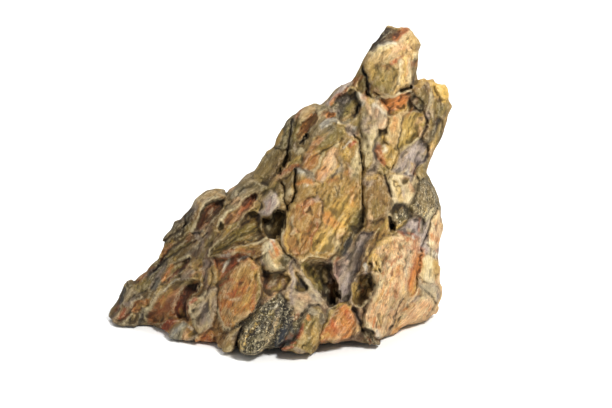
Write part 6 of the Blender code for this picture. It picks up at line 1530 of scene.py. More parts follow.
def chip_outline(random: np.random.Generator, centre: np.ndarray, length: float, width: float,
                 lean: float) -> list[tuple[float, float]]:
    """The angular outline of a chip, longest along its lean."""
    turns = np.sort(random.uniform(0, 2 * math.pi, random.integers(5, 8)))
    along = np.cos(turns) * length / 2
    aside = np.sin(turns) * width / 2
    across = centre[0] + along * math.cos(lean) + aside * math.sin(lean)
    down = centre[1] - along * math.sin(lean) + aside * math.cos(lean)
    return list(zip(across, down))


def random_place(random: np.random.Generator, margin: float) -> np.ndarray:
    """A place on the view plane, at least this many pixels inside its borders."""
    return random.uniform(np.array(VIEW.low) + margin, np.array(VIEW.high) - margin)


def random_stain(random: np.random.Generator) -> Stain:
    """One of the stains that the clay's chips and washes have."""
    return CHIP_STAINS[random.integers(len(CHIP_STAINS))]


def chipped(plane: PaintedPlane, count: int, seed: int) -> None:
    """Scatter small chips over a plane, each along the cell that it lies on."""
    random = np.random.default_rng(seed)
    for _ in range(count):
        place = random_place(random, 12)
        lean = plane.lean_at(place) + random.uniform(-0.35, 0.35)
        length, width = random.uniform(8, 26), random.uniform(3.5, 9)
        outline = chip_outline(random, place, length, width, lean)
        rise = random.uniform(0.4, 1.5) * (1 if random.random() < 0.5 else -1)
        tilt = random.uniform(-0.14, 0.14, 2)
        tint = random_stain(random).value
        plane.add_chip(outline, rise, tilt, tint, random.uniform(0.15, 0.55))


def washed(plane: PaintedPlane, count: int, seed: int) -> None:
    """Lay faint long washes of colour along the grain, across the edges of the cells."""
    random = np.random.default_rng(seed)
    for _ in range(count):
        place = random_place(random, 12)
        lean = (LEFT_LEAN if place[0] < LEFT_LIMIT else GRAIN_LEAN) + random.uniform(-0.3, 0.3)
        half = random.uniform(6, 22) * np.array([math.cos(lean), -math.sin(lean)])
        bend = random.uniform(-3, 3, 2)
        line = [tuple(place - half), tuple(place + bend), tuple(place + half)]
        stain = random_stain(random)
        plane.add_stroke(Stroke(stain, random.uniform(2, 9), random.uniform(0.15, 0.48), line))


def sharded(plane: PaintedPlane, count: int, seed: int) -> None:
    """Break the face into larger angular shards that lie over one another along the grain."""
    random = np.random.default_rng(seed)
    for _ in range(count):
        place = random_place(random, 14)
        lean = plane.lean_at(place) + random.uniform(-0.25, 0.25)
        length, width = random.uniform(20, 44), random.uniform(7, 15)
        outline = chip_outline(random, place, length, width, lean)
        aside = random.choice([-1, 1]) * random.uniform(0.06, 0.16)
        tilt = aside * np.array([math.sin(lean), math.cos(lean)])
        plane.add_chip(outline, random.uniform(-0.3, 0.7), tilt, PALE_RIM_AND_HIGHLIGHT, 0.0)


def arm_darkened(plane: PaintedPlane) -> None:
    """Darken the colours of the arm, more towards the left."""
    share = soft_step((ARM_LIMIT - plane.across) / ARM_FADE)
    plane.colours *= (1 - ARM_DARKENING * share)[..., None]


def painted_face() -> PaintedPlane:
    """The face: its grounds, cells, shards, washes, chips, creases and strokes, in that order."""
    face = PaintedPlane(SEED)
    done = np.zeros(face.relief.shape)
    for ground in GROUNDS:
        gap = np.hypot(face.across - ground.at[0], face.down - ground.at[1])
        weight = np.exp(-(gap / ground.radius) ** 2 * 1.2) + 1e-6
        done += weight
        face.paint(EVERYWHERE, ground.clay, weight / done)
    for cell in CELLS:
        face.add_cell(cell)
    sharded(face, SHARDS, SEED + 8)
    washed(face, FACE_WASHES, SEED + 7)
    chipped(face, FACE_CHIPS, SEED + 5)
    for crease in CREASES:
        face.add_crease(crease)
    for stain, width, cover, *line in STROKES:
        face.add_stroke(Stroke(Stain[stain], width, cover, line))
    arm_darkened(face)
    face.add_ledges()
    LOG.info("face painted with %d cells, %d creases and %d strokes", len(CELLS), len(CREASES), len(STROKES))
    return face


BODY_LEAN = math.radians(60.0)
BACK_CLAYS = (Clay.OCHRE, Clay.TAN, Clay.KHAKI, Clay.LILAC, Clay.ORANGE, Clay.BROWN_OCHRE, Clay.PEACH,
              Clay.KHAKI_GREY, Clay.RUST_OCHRE, Clay.OLIVE_OCHRE, Clay.CREAM_ORANGE, Clay.SPECKLED,
              Clay.LILAC_BROWN, Clay.CLAY_OLIVE)


@dataclass
class BackCells:
    """The back's cells, laid out in rows along the grain. Lengths are in pixels, rises in millimetres."""

    pitch: tuple[float, float] = (50.0, 23.0)
    rows: int = 9
    columns: int = 5
    border: float = 9.0
    scoop: tuple[float, float] = (-7.5, -3.0)
    plate: tuple[float, float] = (2.0, 5.0)
    rim: float = 0.8

    def painted(self) -> PaintedPlane:
        """The back's relief and clays, seen on the same plane as the face."""
        random = np.random.default_rng(SEED + 1)
        choice = np.random.default_rng(SEED + 4)
        back = PaintedPlane(SEED + 20)
        back.paint(EVERYWHERE, Clay.OCHRE, np.ones(back.relief.shape))
        low, high = np.array(VIEW.low), np.array(VIEW.high)
        along_way = -np.array([math.cos(BODY_LEAN), math.sin(BODY_LEAN)])
        aside_way = np.array([math.sin(BODY_LEAN), -math.cos(BODY_LEAN)])
        rows, columns = range(-self.rows, self.rows + 1), range(-self.columns, self.columns + 1)
        for row, column in itertools.product(rows, columns):
            along = (column + 0.5 * (row % 2)) * self.pitch[0] + random.uniform(-9, 9)
            aside = row * self.pitch[1] + random.uniform(-4, 4)
            lean = math.pi - BODY_LEAN + random.uniform(-0.25, 0.25)
            place = (low + high) / 2 + along * along_way + aside * aside_way
            length, width = random.uniform(36, 62), random.uniform(17, 27)
            rise = random.uniform(*(self.scoop if random.random() < 0.5 else self.plate))
            tilt = tuple(random.uniform(-0.12, 0.12, 2))
            reach = random.uniform(3.0, 7.0)
            clay = BACK_CLAYS[choice.integers(len(BACK_CLAYS))]
            if (low + self.border < place).all() and (place < high - self.border).all():
                outline = leaf_outline(place, length, width, lean)
                back.add_cell(Cell("back", clay, rise, reach, self.rim, tilt, outline))
        sharded(back, SHARDS, SEED + 10)
        washed(back, BACK_WASHES, SEED + 9)
        chipped(back, BACK_CHIPS, SEED + 6)
        back.add_ledges()
        return back


@dataclass
class StoneForm:
    """The stone's solid form as a field: below zero inside, and about the distance to the surface.

    Each size of grain cell or ledge has its length, width, depth and height in metres.
    """

    block_low: tuple[float, float, float] = (-0.146, -0.105, -0.006)
    block_high: tuple[float, float, float] = (0.148, 0.090, 0.264)
    flank_taper: float = 0.30
    widest_share: float = 0.35
    edge_rounding: float = 0.009
    foot_patch: tuple[float, float] = (0.062, 0.040)
    foot_recess: float = 0.003
    foot_rounding: float = 0.004
    foot_rise_share: float = 0.5
    foot_cell: float = 0.022
    grain_cells: tuple = ((0.030, 0.009, 0.014, 0.0011), (0.013, 0.0045, 0.008, 0.0006))
    side_ledges: tuple = ((0.052, 0.019, 0.024, 0.0060), (0.026, 0.010, 0.016, 0.0025))
    fine_cells: tuple = ((0.0085, 0.0026, 0.0045, 0.00034), (0.0045, 0.0018, 0.0030, 0.00018))
    band: float = 0.009
    side_wander: float = 6.0
    side_wander_depth: float = 0.030
    side_wave_length: float = 0.070
    side_waves: int = 7
    lift_height: float = 0.006
    face_fade: float = 0.010
    ledge_start: float = 0.004
    ledge_fade: float = 0.012
    flank_cells: int = 76
    flank_cell_behind: float = 0.28
    flank_cell_rounding: float = 0.002
    flank_cell_lowest: float = 0.034
    flank_cell_size: tuple[float, float, float] = (0.024, 0.0090, 0.014)
    face: PaintedPlane = field(init=False)
    back: PaintedPlane = field(init=False)

    def __post_init__(self) -> None:
        """Paint the face and the back, and work out the smooth surfaces under them."""
        self.face = painted_face()
        self.back = BackCells().painted()
        self.front_map = VIEW.spline(FRONT_POINTS, 1.0)
        self.back_map = VIEW.spline(BACK_POINTS, 1.0)
        across, down = VIEW.grid(1.0)
        self.edge_map = outline_distance(OUTLINE, across, down) * VIEW.pixel

    def depths(self, across: np.ndarray, down: np.ndarray) -> tuple[np.ndarray, np.ndarray, np.ndarray]:
        """How far back the front, the widest place and the back lie at each place of the plane."""
        front = VIEW.read(self.front_map, 1.0, across, down)
        back = VIEW.read(self.back_map, 1.0, across, down)
        return front, front + self.widest_share * (back - front), back

    def wander_of_sides(self, points: np.ndarray, away: np.ndarray) -> list[np.ndarray]:
        """How far the sides wander from the outline, in pixels, growing away from the widest place."""
        random = np.random.default_rng(SEED + 3)
        share = soft_step(np.abs(away) / self.side_wander_depth)
        shifts = []
        for _ in range(2):
            shift = np.zeros(len(points))
            for _ in range(self.side_waves):
                way = random.normal(size=3) * np.array([0.8, 1.6, 0.8])
                wave = 2 * math.pi * way / self.side_wave_length
                shift += np.sin(points @ wave + random.uniform(0, 2 * math.pi))
            shifts.append(shift * share * self.side_wander / math.sqrt(self.side_waves / 2))
        return shifts

    def scoop_flanks(self, values: np.ndarray, points: np.ndarray) -> None:
        """Cut leaf-shaped scoops in the sides, behind the edge that makes the outline."""
        random = np.random.default_rng(SEED + 2)
        corners = np.array(OUTLINE, float)
        for _ in range(self.flank_cells):
            spot = random.integers(len(corners))
            across, down = corners[spot] + random.uniform(-2, 2, 2)
            front, _, back = self.depths(across, down)
            share = random.uniform(self.widest_share + self.flank_cell_behind, 1.0)
            size = np.array(self.flank_cell_size) * random.uniform(0.7, 1.25)
            lean = BODY_LEAN + random.uniform(-0.3, 0.3)
            centre = VIEW.from_plane(across, down, front + share * (back - front))
            if centre[2] < self.flank_cell_lowest:
                continue
            long_way = np.array([math.cos(lean), random.uniform(-0.5, 0.5), math.sin(lean)])
            long_way /= np.linalg.norm(long_way)
            wide_way = np.cross(long_way, [0.0, 1.0, 0.0])
            wide_way /= np.linalg.norm(wide_way)
            deep_way = np.cross(long_way, wide_way)
            away = points - centre
            near = np.flatnonzero((np.abs(away) < 1.3 * size.max()).all(axis=1))
            axes = np.stack([long_way / size[0], wide_way / size[1], deep_way / size[2]], axis=1)
            reach = np.linalg.norm(away[near] @ axes, axis=1)
            values[near] = rounded_max(values[near], (1 - reach) * size[1], self.flank_cell_rounding)

    def foot_field(self, points: np.ndarray) -> np.ndarray:
        """The underside: flat on a patch round the origin, and a little higher beyond it."""
        places = points[:, :2]
        beyond = np.linalg.norm(places / np.array(self.foot_patch), axis=1) - 1
        rough = 0.6 + 0.4 * noise(places / self.foot_cell + 9.0, SEED + 40)
        return self.foot_recess * soft_step(beyond / self.foot_rise_share) * rough - points[:, 2]

    def grain_noise(self, points: np.ndarray, cells: tuple, seed: int) -> np.ndarray:
        """Rough ledges that run along the grain.

        Args:
            points: Where, one row each.
            cells: For each size of ledge its length, width, depth and height in metres.
            seed: Which noise it is.

        Returns:
            How far each place stands out, in metres.
        """
        along = points[:, 0] * math.cos(BODY_LEAN) + points[:, 2] * math.sin(BODY_LEAN)
        aside = points[:, 0] * math.sin(BODY_LEAN) - points[:, 2] * math.cos(BODY_LEAN)
        total = np.zeros(len(points))
        for number, (length, width, depth, height) in enumerate(cells):
            places = np.stack([along / length, aside / width, points[:, 1] / depth], axis=1)
            total += height * (1 - 2 * np.abs(noise(places + 40.0, seed + number)))
        return total

    def field(self, points: np.ndarray) -> np.ndarray:
        """The field at each point."""
        across, down = VIEW.to_plane(points)
        back_way = points[:, 1] - VIEW.target[1]
        front, widest, back = self.depths(across, down)
        face = VIEW.read(self.face.relief, self.face.step, across, down)
        rear = VIEW.read(self.back.relief, self.back.step, across, down)
        shift_across, shift_down = self.wander_of_sides(points, back_way - widest)
        edge = VIEW.read(self.edge_map, 1.0, across, down)
        wandered = VIEW.read(self.edge_map, 1.0, across + shift_across, down + shift_down)
        flank = np.maximum(edge, wandered) + self.flank_taper * np.abs(back_way - widest)
        frontness = np.clip((widest - back_way) / self.face_fade, 0, 1)
        values = rounded_max(front - back_way - face, flank - face * frontness, self.edge_rounding)
        values = rounded_max(values, back_way - back - rear, self.edge_rounding)
        self.scoop_flanks(values, points)
        values = rounded_max(values, self.foot_field(points), self.foot_rounding)
        band = np.flatnonzero((np.abs(values) < self.band) & (points[:, 2] > 0))
        lift = soft_step(points[band, 2] / self.lift_height)
        values[band] -= self.grain_noise(points[band], self.grain_cells, SEED + 30) * lift
        behind = soft_step((back_way[band] - widest[band] - self.ledge_start) / self.ledge_fade)
        ledges = np.maximum(self.grain_noise(points[band], self.side_ledges, SEED + 50), 0)
        values[band] += ledges * lift * behind
        values[band] -= self.grain_noise(points[band], self.fine_cells, SEED + 60) * lift
        return values


@dataclass
class StoneMesher:
    """Turns the form's field into one closed mesh, worked out finely only near the surface."""

    form: StoneForm
    coarse_voxel: float = 0.0036
    voxel: float = 0.0010
    near: float = 0.0066
    limit: float = 0.01
    triangles: int = 196000

    def grid_size(self, voxel: float) -> np.ndarray:
        """The number of grid points each way."""
        block = np.array(self.form.block_high) - np.array(self.form.block_low)
        return np.round(block / voxel).astype(int) + 1

    def fine_field(self) -> tuple[np.ndarray, np.ndarray]:
        """The fine grid's size and field, taken from the coarse one wherever the surface is far."""
        low = np.array(self.form.block_low)
        coarse_size = self.grid_size(self.coarse_voxel)
        axes = [low[n] + self.coarse_voxel * np.arange(coarse_size[n]) for n in range(3)]
        points = np.stack(np.meshgrid(*axes, indexing="ij"), -1).reshape(-1, 3)
        coarse = self.form.field(points).reshape(coarse_size)
        size = self.grid_size(self.voxel)
        nearest = []
        for n in range(3):
            share = np.arange(size[n]) * self.voxel / self.coarse_voxel
            nearest.append(np.minimum(np.round(share).astype(int), coarse_size[n] - 1))
        values = np.clip(coarse[np.ix_(*nearest)], -self.limit, self.limit).ravel()
        near = np.flatnonzero(np.abs(values) < self.near)
        steps = np.stack(np.unravel_index(near, size), axis=1)
        values[near] = self.form.field(low + self.voxel * steps)
        LOG.info("fine field on %d of %d points", len(near), len(values))
        return size, values

    def tree(self, size: np.ndarray) -> bpy.types.NodeTree:
        """Nodes that read a value from each vertex of a block of vertices and mesh where it is zero."""
        tree = bpy.data.node_groups.new("stone_mesher", "GeometryNodeTree")
        for name, kind in (("Geometry", "Geometry"), ("Low corner", "Vector"), ("High corner", "Vector"),
                           ("Voxel", "Float"), ("Clay", "Material")):
            tree.interface.new_socket(name, in_out="INPUT", socket_type="NodeSocket" + kind)
        tree.interface.new_socket("Geometry", in_out="OUTPUT", socket_type="NodeSocketGeometry")
        given = tree.nodes.new("NodeGroupInput").outputs
        place = add_node(tree, "GeometryNodeInputPosition").outputs[0]
        from_low = add_node(tree, "ShaderNodeVectorMath", {"operation": "SUBTRACT"},
                            {0: place, 1: given["Low corner"]})
        per_metre = add_node(tree, "ShaderNodeMath", {"operation": "DIVIDE"}, {0: 1.0, 1: given["Voxel"]})
        steps = add_node(tree, "ShaderNodeVectorMath", {"operation": "SCALE"},
                         {0: from_low.outputs[0], "Scale": per_metre.outputs[0]})
        whole = add_node(tree, "ShaderNodeVectorMath", {"operation": "ADD"},
                         {0: steps.outputs[0], 1: (0.5,) * 3})
        floor = add_node(tree, "ShaderNodeVectorMath", {"operation": "FLOOR"}, {0: whole.outputs[0]})
        strides = (float(size[1] * size[2]), float(size[2]), 1.0)
        index = add_node(tree, "ShaderNodeVectorMath", {"operation": "DOT_PRODUCT"},
                         {0: floor.outputs[0], 1: strides})
        value = add_node(tree, "GeometryNodeInputNamedAttribute", {"data_type": "FLOAT"}, {"Name": "depth"})
        sample = add_node(tree, "GeometryNodeSampleIndex", {"data_type": "FLOAT", "clamp": True},
                          {"Geometry": given["Geometry"], "Value": value.outputs[0],
                           "Index": index.outputs["Value"]})
        volume = add_node(tree, "GeometryNodeVolumeCube", {},
                          {"Density": sample.outputs[0], "Background": -1.0,
                           "Min": given["Low corner"], "Max": given["High corner"],
                           "Resolution X": int(size[0]), "Resolution Y": int(size[1]),
                           "Resolution Z": int(size[2])})
        mesh = add_node(tree, "GeometryNodeVolumeToMesh", {}, {"Volume": volume.outputs[0], "Threshold": 0.0})
        real = add_node(tree, "GeometryNodeRealizeInstances", {}, {"Geometry": mesh.outputs[0]})
        dressed = add_node(tree, "GeometryNodeSetMaterial", {},
                           {"Geometry": real.outputs[0], "Material": given["Clay"]})
        made = tree.nodes.new("NodeGroupOutput")
        tree.links.new(dressed.outputs[0], made.inputs[0])
        return tree

    def surface(self, material: bpy.types.Material) -> bpy.types.Mesh:
        """The closed mesh of the stone at the fine voxel."""
        size, values = self.fine_field()
        low = np.array(self.form.block_low)
        block_mesh = bpy.data.meshes.new("block")
        block_mesh.vertices.add(int(size.prod()))
        depth = block_mesh.attributes.new("depth", "FLOAT", "POINT")
        depth.data.foreach_set("value", (-values).astype(np.float32))
        block = bpy.data.objects.new("block", block_mesh)
        bpy.context.scene.collection.objects.link(block)
        mesher = block.modifiers.new("mesher", "NODES")
        mesher.node_group = self.tree(size)
        given = {"Low corner": tuple(low), "High corner": tuple(low + (size - 1) * self.voxel),
                 "Voxel": self.voxel, "Clay": material}
        for item in mesher.node_group.interface.items_tree:
            if item.in_out == "INPUT" and item.name in given:
                mesher[item.identifier] = given[item.name]
        mesh = evaluated_copy(block)
        LOG.info("surface of %d faces", len(mesh.polygons))
        return mesh

    def keep_stone(self, mesh: bpy.types.Mesh) -> None:
        """Remove every loose crumb, so that the mesh is one body, and leave triangles only."""
        work = bmesh.new()
        work.from_mesh(mesh)
        bodies = []
        unseen = set(work.verts)
        while unseen:
            body, border = [], [unseen.pop()]
            while border:
                vertex = border.pop()
                body.append(vertex)
                linked = {edge.other_vert(vertex) for edge in vertex.link_edges} & unseen
                unseen -= linked
                border.extend(linked)
            bodies.append(body)
        bodies.sort(key=len)
        crumbs = [vertex for body in bodies[:-1] for vertex in body]
        bmesh.ops.delete(work, geom=crumbs, context="VERTS")
        bmesh.ops.triangulate(work, faces=work.faces)
        work.to_mesh(mesh)
        work.free()
        LOG.info("%d loose crumbs left out", len(bodies) - 1)

    def thinned(self, mesh: bpy.types.Mesh) -> bpy.types.Mesh:
        """The mesh with its triangles brought down to the number wanted."""
        stone = bpy.data.objects.new("thinning", mesh)
        bpy.context.scene.collection.objects.link(stone)
        if len(mesh.polygons) > self.triangles:
            thinner = stone.modifiers.new("thinner", "DECIMATE")
            thinner.ratio = self.triangles / len(mesh.polygons)
        return evaluated_copy(stone)

    def build(self, material: bpy.types.Material) -> bpy.types.Mesh:
        """The finished mesh."""
        mesh = self.surface(material)
        self.keep_stone(mesh)
        mesh = self.thinned(mesh)
        LOG.info("stone of %d triangles", len(mesh.polygons))
        return mesh


def add_node(tree: bpy.types.NodeTree, kind: str, settings: dict | None = None,
             inputs: dict | None = None) -> bpy.types.Node:
    """Add a node with its settings and links.

    Args:
        tree: The tree that gets it.
        kind: Blender's name for the kind of node.
        settings: Its own properties by name.
        inputs: Its inputs by name or number, each a value or a socket to link.

    Returns:
        The node.
    """
    node = tree.nodes.new(kind)
    for name, value in (settings or {}).items():
        setattr(node, name, value)
    for name, value in (inputs or {}).items():
        if isinstance(value, bpy.types.NodeSocket):
            tree.links.new(value, node.inputs[name])
        else:
            node.inputs[name].default_value = value
    return node


def evaluated_copy(thing: bpy.types.Object) -> bpy.types.Mesh:
    """A new mesh of an object with its modifiers applied. The object and its own mesh are removed."""
    graph = bpy.context.evaluated_depsgraph_get()
    mesh = bpy.data.meshes.new_from_object(thing.evaluated_get(graph))
    old = thing.data
    bpy.data.objects.remove(thing)
    bpy.data.meshes.remove(old)
    return mesh


@dataclass
class ClaySkin:
    """The stone's finish: which clay each place is made of, and the material that breaks it up."""

    form: StoneForm
    hollow_rounds: tuple[int, int] = (6, 40)
    hollow_reach: tuple[float, float] = (0.00035, 0.0022)
    side_drift: float = 16.0
    drift_cell: float = 0.031
    drift_fade: float = 0.030
    join_share: float = 0.72
    join_fade: float = 0.004
    join_wander: float = 0.010
    join_cell: float = 0.020

    def neighbours(self, mesh: bpy.types.Mesh) -> tuple[np.ndarray, np.ndarray]:
        """The two ends of every edge, each way round."""
        ends = np.empty(len(mesh.edges) * 2, np.int32)
        mesh.edges.foreach_get("vertices", ends)
        ends = ends.reshape(-1, 2)
        return np.concatenate([ends[:, 0], ends[:, 1]]), np.concatenate([ends[:, 1], ends[:, 0]])

    def smoothed(self, values: np.ndarray, start: np.ndarray, end: np.ndarray, rounds: int) -> np.ndarray:
        """Values at the vertices, each averaged with its neighbours some rounds over."""
        count = len(values)
        near = np.maximum(np.bincount(start, minlength=count), 1)
        result = values.copy()
        for _ in range(rounds):
            total = np.stack([np.bincount(start, weights=result[end, n], minlength=count)
                              for n in range(result.shape[1])], axis=1)
            result = 0.5 * result + 0.5 * total / near[:, None]
        return result

    def hollowness(self, places: np.ndarray, normals: np.ndarray, start: np.ndarray,
                   end: np.ndarray) -> list[np.ndarray]:
        """How deep in a hollow each vertex lies, from -1 on an edge to 1 in a pit, small and large."""
        result = []
        smooth = places
        done = 0
        for rounds, reach in zip(self.hollow_rounds, self.hollow_reach):
            smooth = self.smoothed(smooth, start, end, rounds - done)
            done = rounds
            away = ((smooth - places) * normals).sum(axis=1)
            result.append(np.clip(away / reach, -1, 1))
        return result

    def read(self, mesh: bpy.types.Mesh, name: str) -> np.ndarray:
        """Three numbers of each vertex, such as its place."""
        values = np.empty(len(mesh.vertices) * 3, np.float32)
        mesh.vertices.foreach_get(name, values)
        return values.reshape(-1, 3).astype(float)

    def dress(self, mesh: bpy.types.Mesh) -> None:
        """Write each vertex's clay colours, traits and hollowness to the mesh's attributes."""
        places, normals = self.read(mesh, "co"), self.read(mesh, "normal")
        start, end = self.neighbours(mesh)
        small, large = self.hollowness(places, normals, start, end)
        across, down = VIEW.to_plane(places)
        back_way = places[:, 1] - VIEW.target[1]
        front, widest, back = self.form.depths(across, down)
        drift = self.side_drift * soft_step((back_way - widest + 0.004) / self.drift_fade)
        shifted_across = across + drift * noise(places / self.drift_cell + 7.0, SEED + 70)
        shifted_down = down + drift * noise(places / self.drift_cell + 19.0, SEED + 71)
        face, rear = self.form.face, self.form.back
        colours = VIEW.read(face.colours, face.step, shifted_across, shifted_down)
        traits = VIEW.read(face.traits, face.step, shifted_across, shifted_down)
        rear_colours = VIEW.read(rear.colours, rear.step, across, down)
        rear_traits = VIEW.read(rear.traits, rear.step, across, down)
        join = front + self.join_share * (back - front)
        patchy = self.join_wander * noise(places / self.join_cell + 3.0, SEED + 72)
        rearness = soft_step((back_way - join + patchy) / self.join_fade)[:, None]
        flow = face.flow(shifted_across, shifted_down, face.owners(shifted_across, shifted_down))
        rear_flow = rear.flow(across, down, rear.owners(across, down))
        flow = np.where(rearness > 0.5, rear_flow, flow) * VIEW.pixel
        flow[:, 2] += 0.7 * back_way
        colours += (rear_colours - colours) * rearness
        traits += (rear_traits - traits) * rearness
        for number, name in enumerate(("clay_base", "clay_partner", "clay_accent")):
            self.write(mesh, name, colours[:, 3 * number:3 * number + 3])
        self.write(mesh, "clay_traits", traits)
        attribute = mesh.attributes.new("clay_flow", "FLOAT_VECTOR", "POINT")
        attribute.data.foreach_set("vector", flow.astype(np.float32).ravel())
        # Hollowness, from which the material paints shade into hollows and a highlight onto small edges.
        self.write(mesh, "clay_hollow", np.stack([small, large], axis=1) * 0.5 + 0.5)

    def write(self, mesh: bpy.types.Mesh, name: str, values: np.ndarray) -> None:
        """Keep up to three numbers a vertex as a colour attribute."""
        attribute = mesh.attributes.new(name, "FLOAT_COLOR", "POINT")
        whole = np.ones((len(values), 4), np.float32)
        whole[:, :values.shape[1]] = values
        attribute.data.foreach_set("color", whole.ravel())

    def material(self) -> bpy.types.Material:
        """Weathered clay: dry and matt, mottled and streaked along its grain, with painted shade in its
        hollows and a painted highlight on small edges.
        """
        material = bpy.data.materials.new("weathered_clay")
        material.use_nodes = True
        tree = material.node_tree
        tree.nodes.clear()
        pattern = ClayPattern(tree)
        shader = add_node(tree, "ShaderNodeBsdfPrincipled", {},
                          {"Base Color": pattern.colour(), "Roughness": pattern.roughness(),
                           "Normal": pattern.bump(), "Metallic": 0.0, "IOR": 1.5, "Specular IOR Level": 0.3})
        add_node(tree, "ShaderNodeOutputMaterial", {}, {"Surface": shader.outputs[0]})
        return material


@dataclass
class ClayPattern:
    """The nodes of the weathered clay, in real sizes."""

    tree: bpy.types.NodeTree
    band_size: tuple[float, float] = (4.6 * MM, 17 * MM)
    vein_size: tuple[float, float] = (2.4 * MM, 13 * MM)
    streak_size: tuple[float, float] = (0.85 * MM, 14 * MM)
    blotch: float = 12 * MM
    mottle: float = 2.6 * MM
    grit: float = 0.8 * MM
    speck: float = 1.7 * MM
    crack_size: tuple[float, float] = (7 * MM, 22 * MM)
    wander: float = 2.2 * MM
    wander_cell: float = 12 * MM
    bump_height: float = 1.2 * MM

    def __post_init__(self) -> None:
        """Read the attributes and lay out the patterns that several parts use."""
        self.place = add_node(self.tree, "ShaderNodeTexCoord").outputs["Object"]
        attributes = {}
        for name in ("clay_base", "clay_partner", "clay_accent", "clay_traits", "clay_hollow", "clay_flow"):
            attributes[name] = add_node(self.tree, "ShaderNodeAttribute", {"attribute_name": name})
        self.base = attributes["clay_base"].outputs["Color"]
        self.partner = attributes["clay_partner"].outputs["Color"]
        self.accent = attributes["clay_accent"].outputs["Color"]
        shift = self.vector("SUBTRACT", self.noise_colour(), (0.5, 0.5, 0.5))
        shift = self.vector("SCALE", shift, scale=self.wander)
        self.along_grain = self.vector("ADD", attributes["clay_flow"].outputs["Vector"], shift)
        traits = add_node(self.tree, "ShaderNodeSeparateColor", {},
                          {"Color": attributes["clay_traits"].outputs["Color"]})
        hollow = add_node(self.tree, "ShaderNodeSeparateColor", {},
                          {"Color": attributes["clay_hollow"].outputs["Color"]})
        self.streak, self.specks = traits.outputs[0], traits.outputs[1]
        self.small_hollow, self.large_hollow = hollow.outputs[0], hollow.outputs[1]
        self.bands = self.stretched_noise(*self.band_size, 6.0, 0.62)
        self.veins = self.stretched_noise(*self.vein_size, 6.0, 0.66, (7.1, 3.3, 9.7))
        self.streaks = self.stretched_noise(*self.streak_size, 4.0, 0.6, (1.7, 8.3, 2.9))
        self.blotches = self.noise(self.blotch, 4.0, 0.6)
        self.mottles = self.noise(self.mottle, 4.0, 0.6)
        self.grits = self.noise(self.grit, 3.0, 0.7)

    def vector(self, operation: str, first: bpy.types.NodeSocket, second: object = None,
               scale: float | None = None) -> bpy.types.NodeSocket:
        """A vector worked out from one or two others."""
        inputs = {0: first}
        if second is not None:
            inputs[1] = second
        if scale is not None:
            inputs["Scale"] = scale
        return add_node(self.tree, "ShaderNodeVectorMath", {"operation": operation}, inputs).outputs[0]

    def maths(self, operation: str, first: object, second: object = 0.0) -> bpy.types.NodeSocket:
        """A number worked out from two others."""
        node = add_node(self.tree, "ShaderNodeMath", {"operation": operation}, {0: first, 1: second})
        return node.outputs[0]

    def noise(self, size: float, detail: float, roughness: float) -> bpy.types.NodeSocket:
        """Cloudy noise whose patches are about this size in metres."""
        return add_node(self.tree, "ShaderNodeTexNoise", {},
                        {"Vector": self.place, "Scale": 1 / size, "Detail": detail,
                         "Roughness": roughness}).outputs[0]

    def stretched_noise(self, width: float, length: float, detail: float, roughness: float,
                        shift: tuple[float, float, float] = (0.0, 0.0, 0.0)) -> bpy.types.NodeSocket:
        """Noise drawn out along the grain, this wide and long in metres."""
        scaled = self.vector("MULTIPLY", self.along_grain, (1 / length, 1 / width, 1 / width))
        scaled = self.vector("ADD", scaled, shift)
        return add_node(self.tree, "ShaderNodeTexNoise", {},
                        {"Vector": scaled, "Scale": 1.0, "Detail": detail, "Roughness": roughness}).outputs[0]

    def between(self, value: object, low: float, high: float) -> bpy.types.NodeSocket:
        """0 below low, 1 above high and a smooth rise between."""
        node = add_node(self.tree, "ShaderNodeMapRange", {"interpolation_type": "SMOOTHSTEP"},
                        {"Value": value, "From Min": low, "From Max": high})
        return node.outputs[0]

    def mix(self, share: object, first: object, second: object, kind: str = "MIX") -> bpy.types.NodeSocket:
        """Two colours mixed."""
        node = add_node(self.tree, "ShaderNodeMix", {"data_type": "RGBA", "blend_type": kind},
                        {0: share, 6: first, 7: second})
        return node.outputs[2]

    def cracks(self) -> bpy.types.NodeSocket:
        """Thin partings of the clay, 1 on the line and 0 off it."""
        width, length = self.crack_size
        scaled = self.vector("MULTIPLY", self.along_grain, (1 / length, 1 / width, 1 / width))
        cells = add_node(self.tree, "ShaderNodeTexVoronoi", {"feature": "DISTANCE_TO_EDGE"},
                         {"Vector": scaled, "Scale": 1.0})
        line = self.maths("SUBTRACT", 1.0, self.between(cells.outputs["Distance"], 0.0, 0.04))
        return self.maths("MULTIPLY", line, self.between(self.blotches, 0.50, 0.62))

    def noise_colour(self) -> bpy.types.NodeSocket:
        """Three noises at once, for moving places about."""
        return add_node(self.tree, "ShaderNodeTexNoise", {},
                        {"Vector": self.place, "Scale": 1 / self.wander_cell, "Detail": 2.0,
                         "Roughness": 0.6}).outputs["Color"]

    def dots(self, shift: float) -> bpy.types.NodeSocket:
        """A fine noise whose peaks make dots, gathered where the stone is blotchy."""
        place = self.vector("ADD", self.place, (shift, 0.0, 0.0))
        dots = add_node(self.tree, "ShaderNodeTexNoise", {},
                        {"Vector": place, "Scale": 1 / self.speck, "Detail": 3.0, "Roughness": 0.7})
        cluster = self.maths("MULTIPLY", self.between(self.blotches, 0.40, 0.62), 0.10)
        return self.maths("ADD", dots.outputs[0], cluster)

    def speck_cover(self) -> bpy.types.NodeSocket:
        """Dark mineral specks, as many as the clay has."""
        lift = self.maths("ADD", self.dots(0.0), self.maths("MULTIPLY", self.specks, 0.22))
        return self.between(lift, 0.75, 0.80)

    def crumb_cover(self) -> bpy.types.NodeSocket:
        """Pale crumbs on the clays that are full of specks."""
        return self.maths("MULTIPLY", self.between(self.dots(0.31), 0.58, 0.66),
                          self.between(self.specks, 0.4, 0.9))

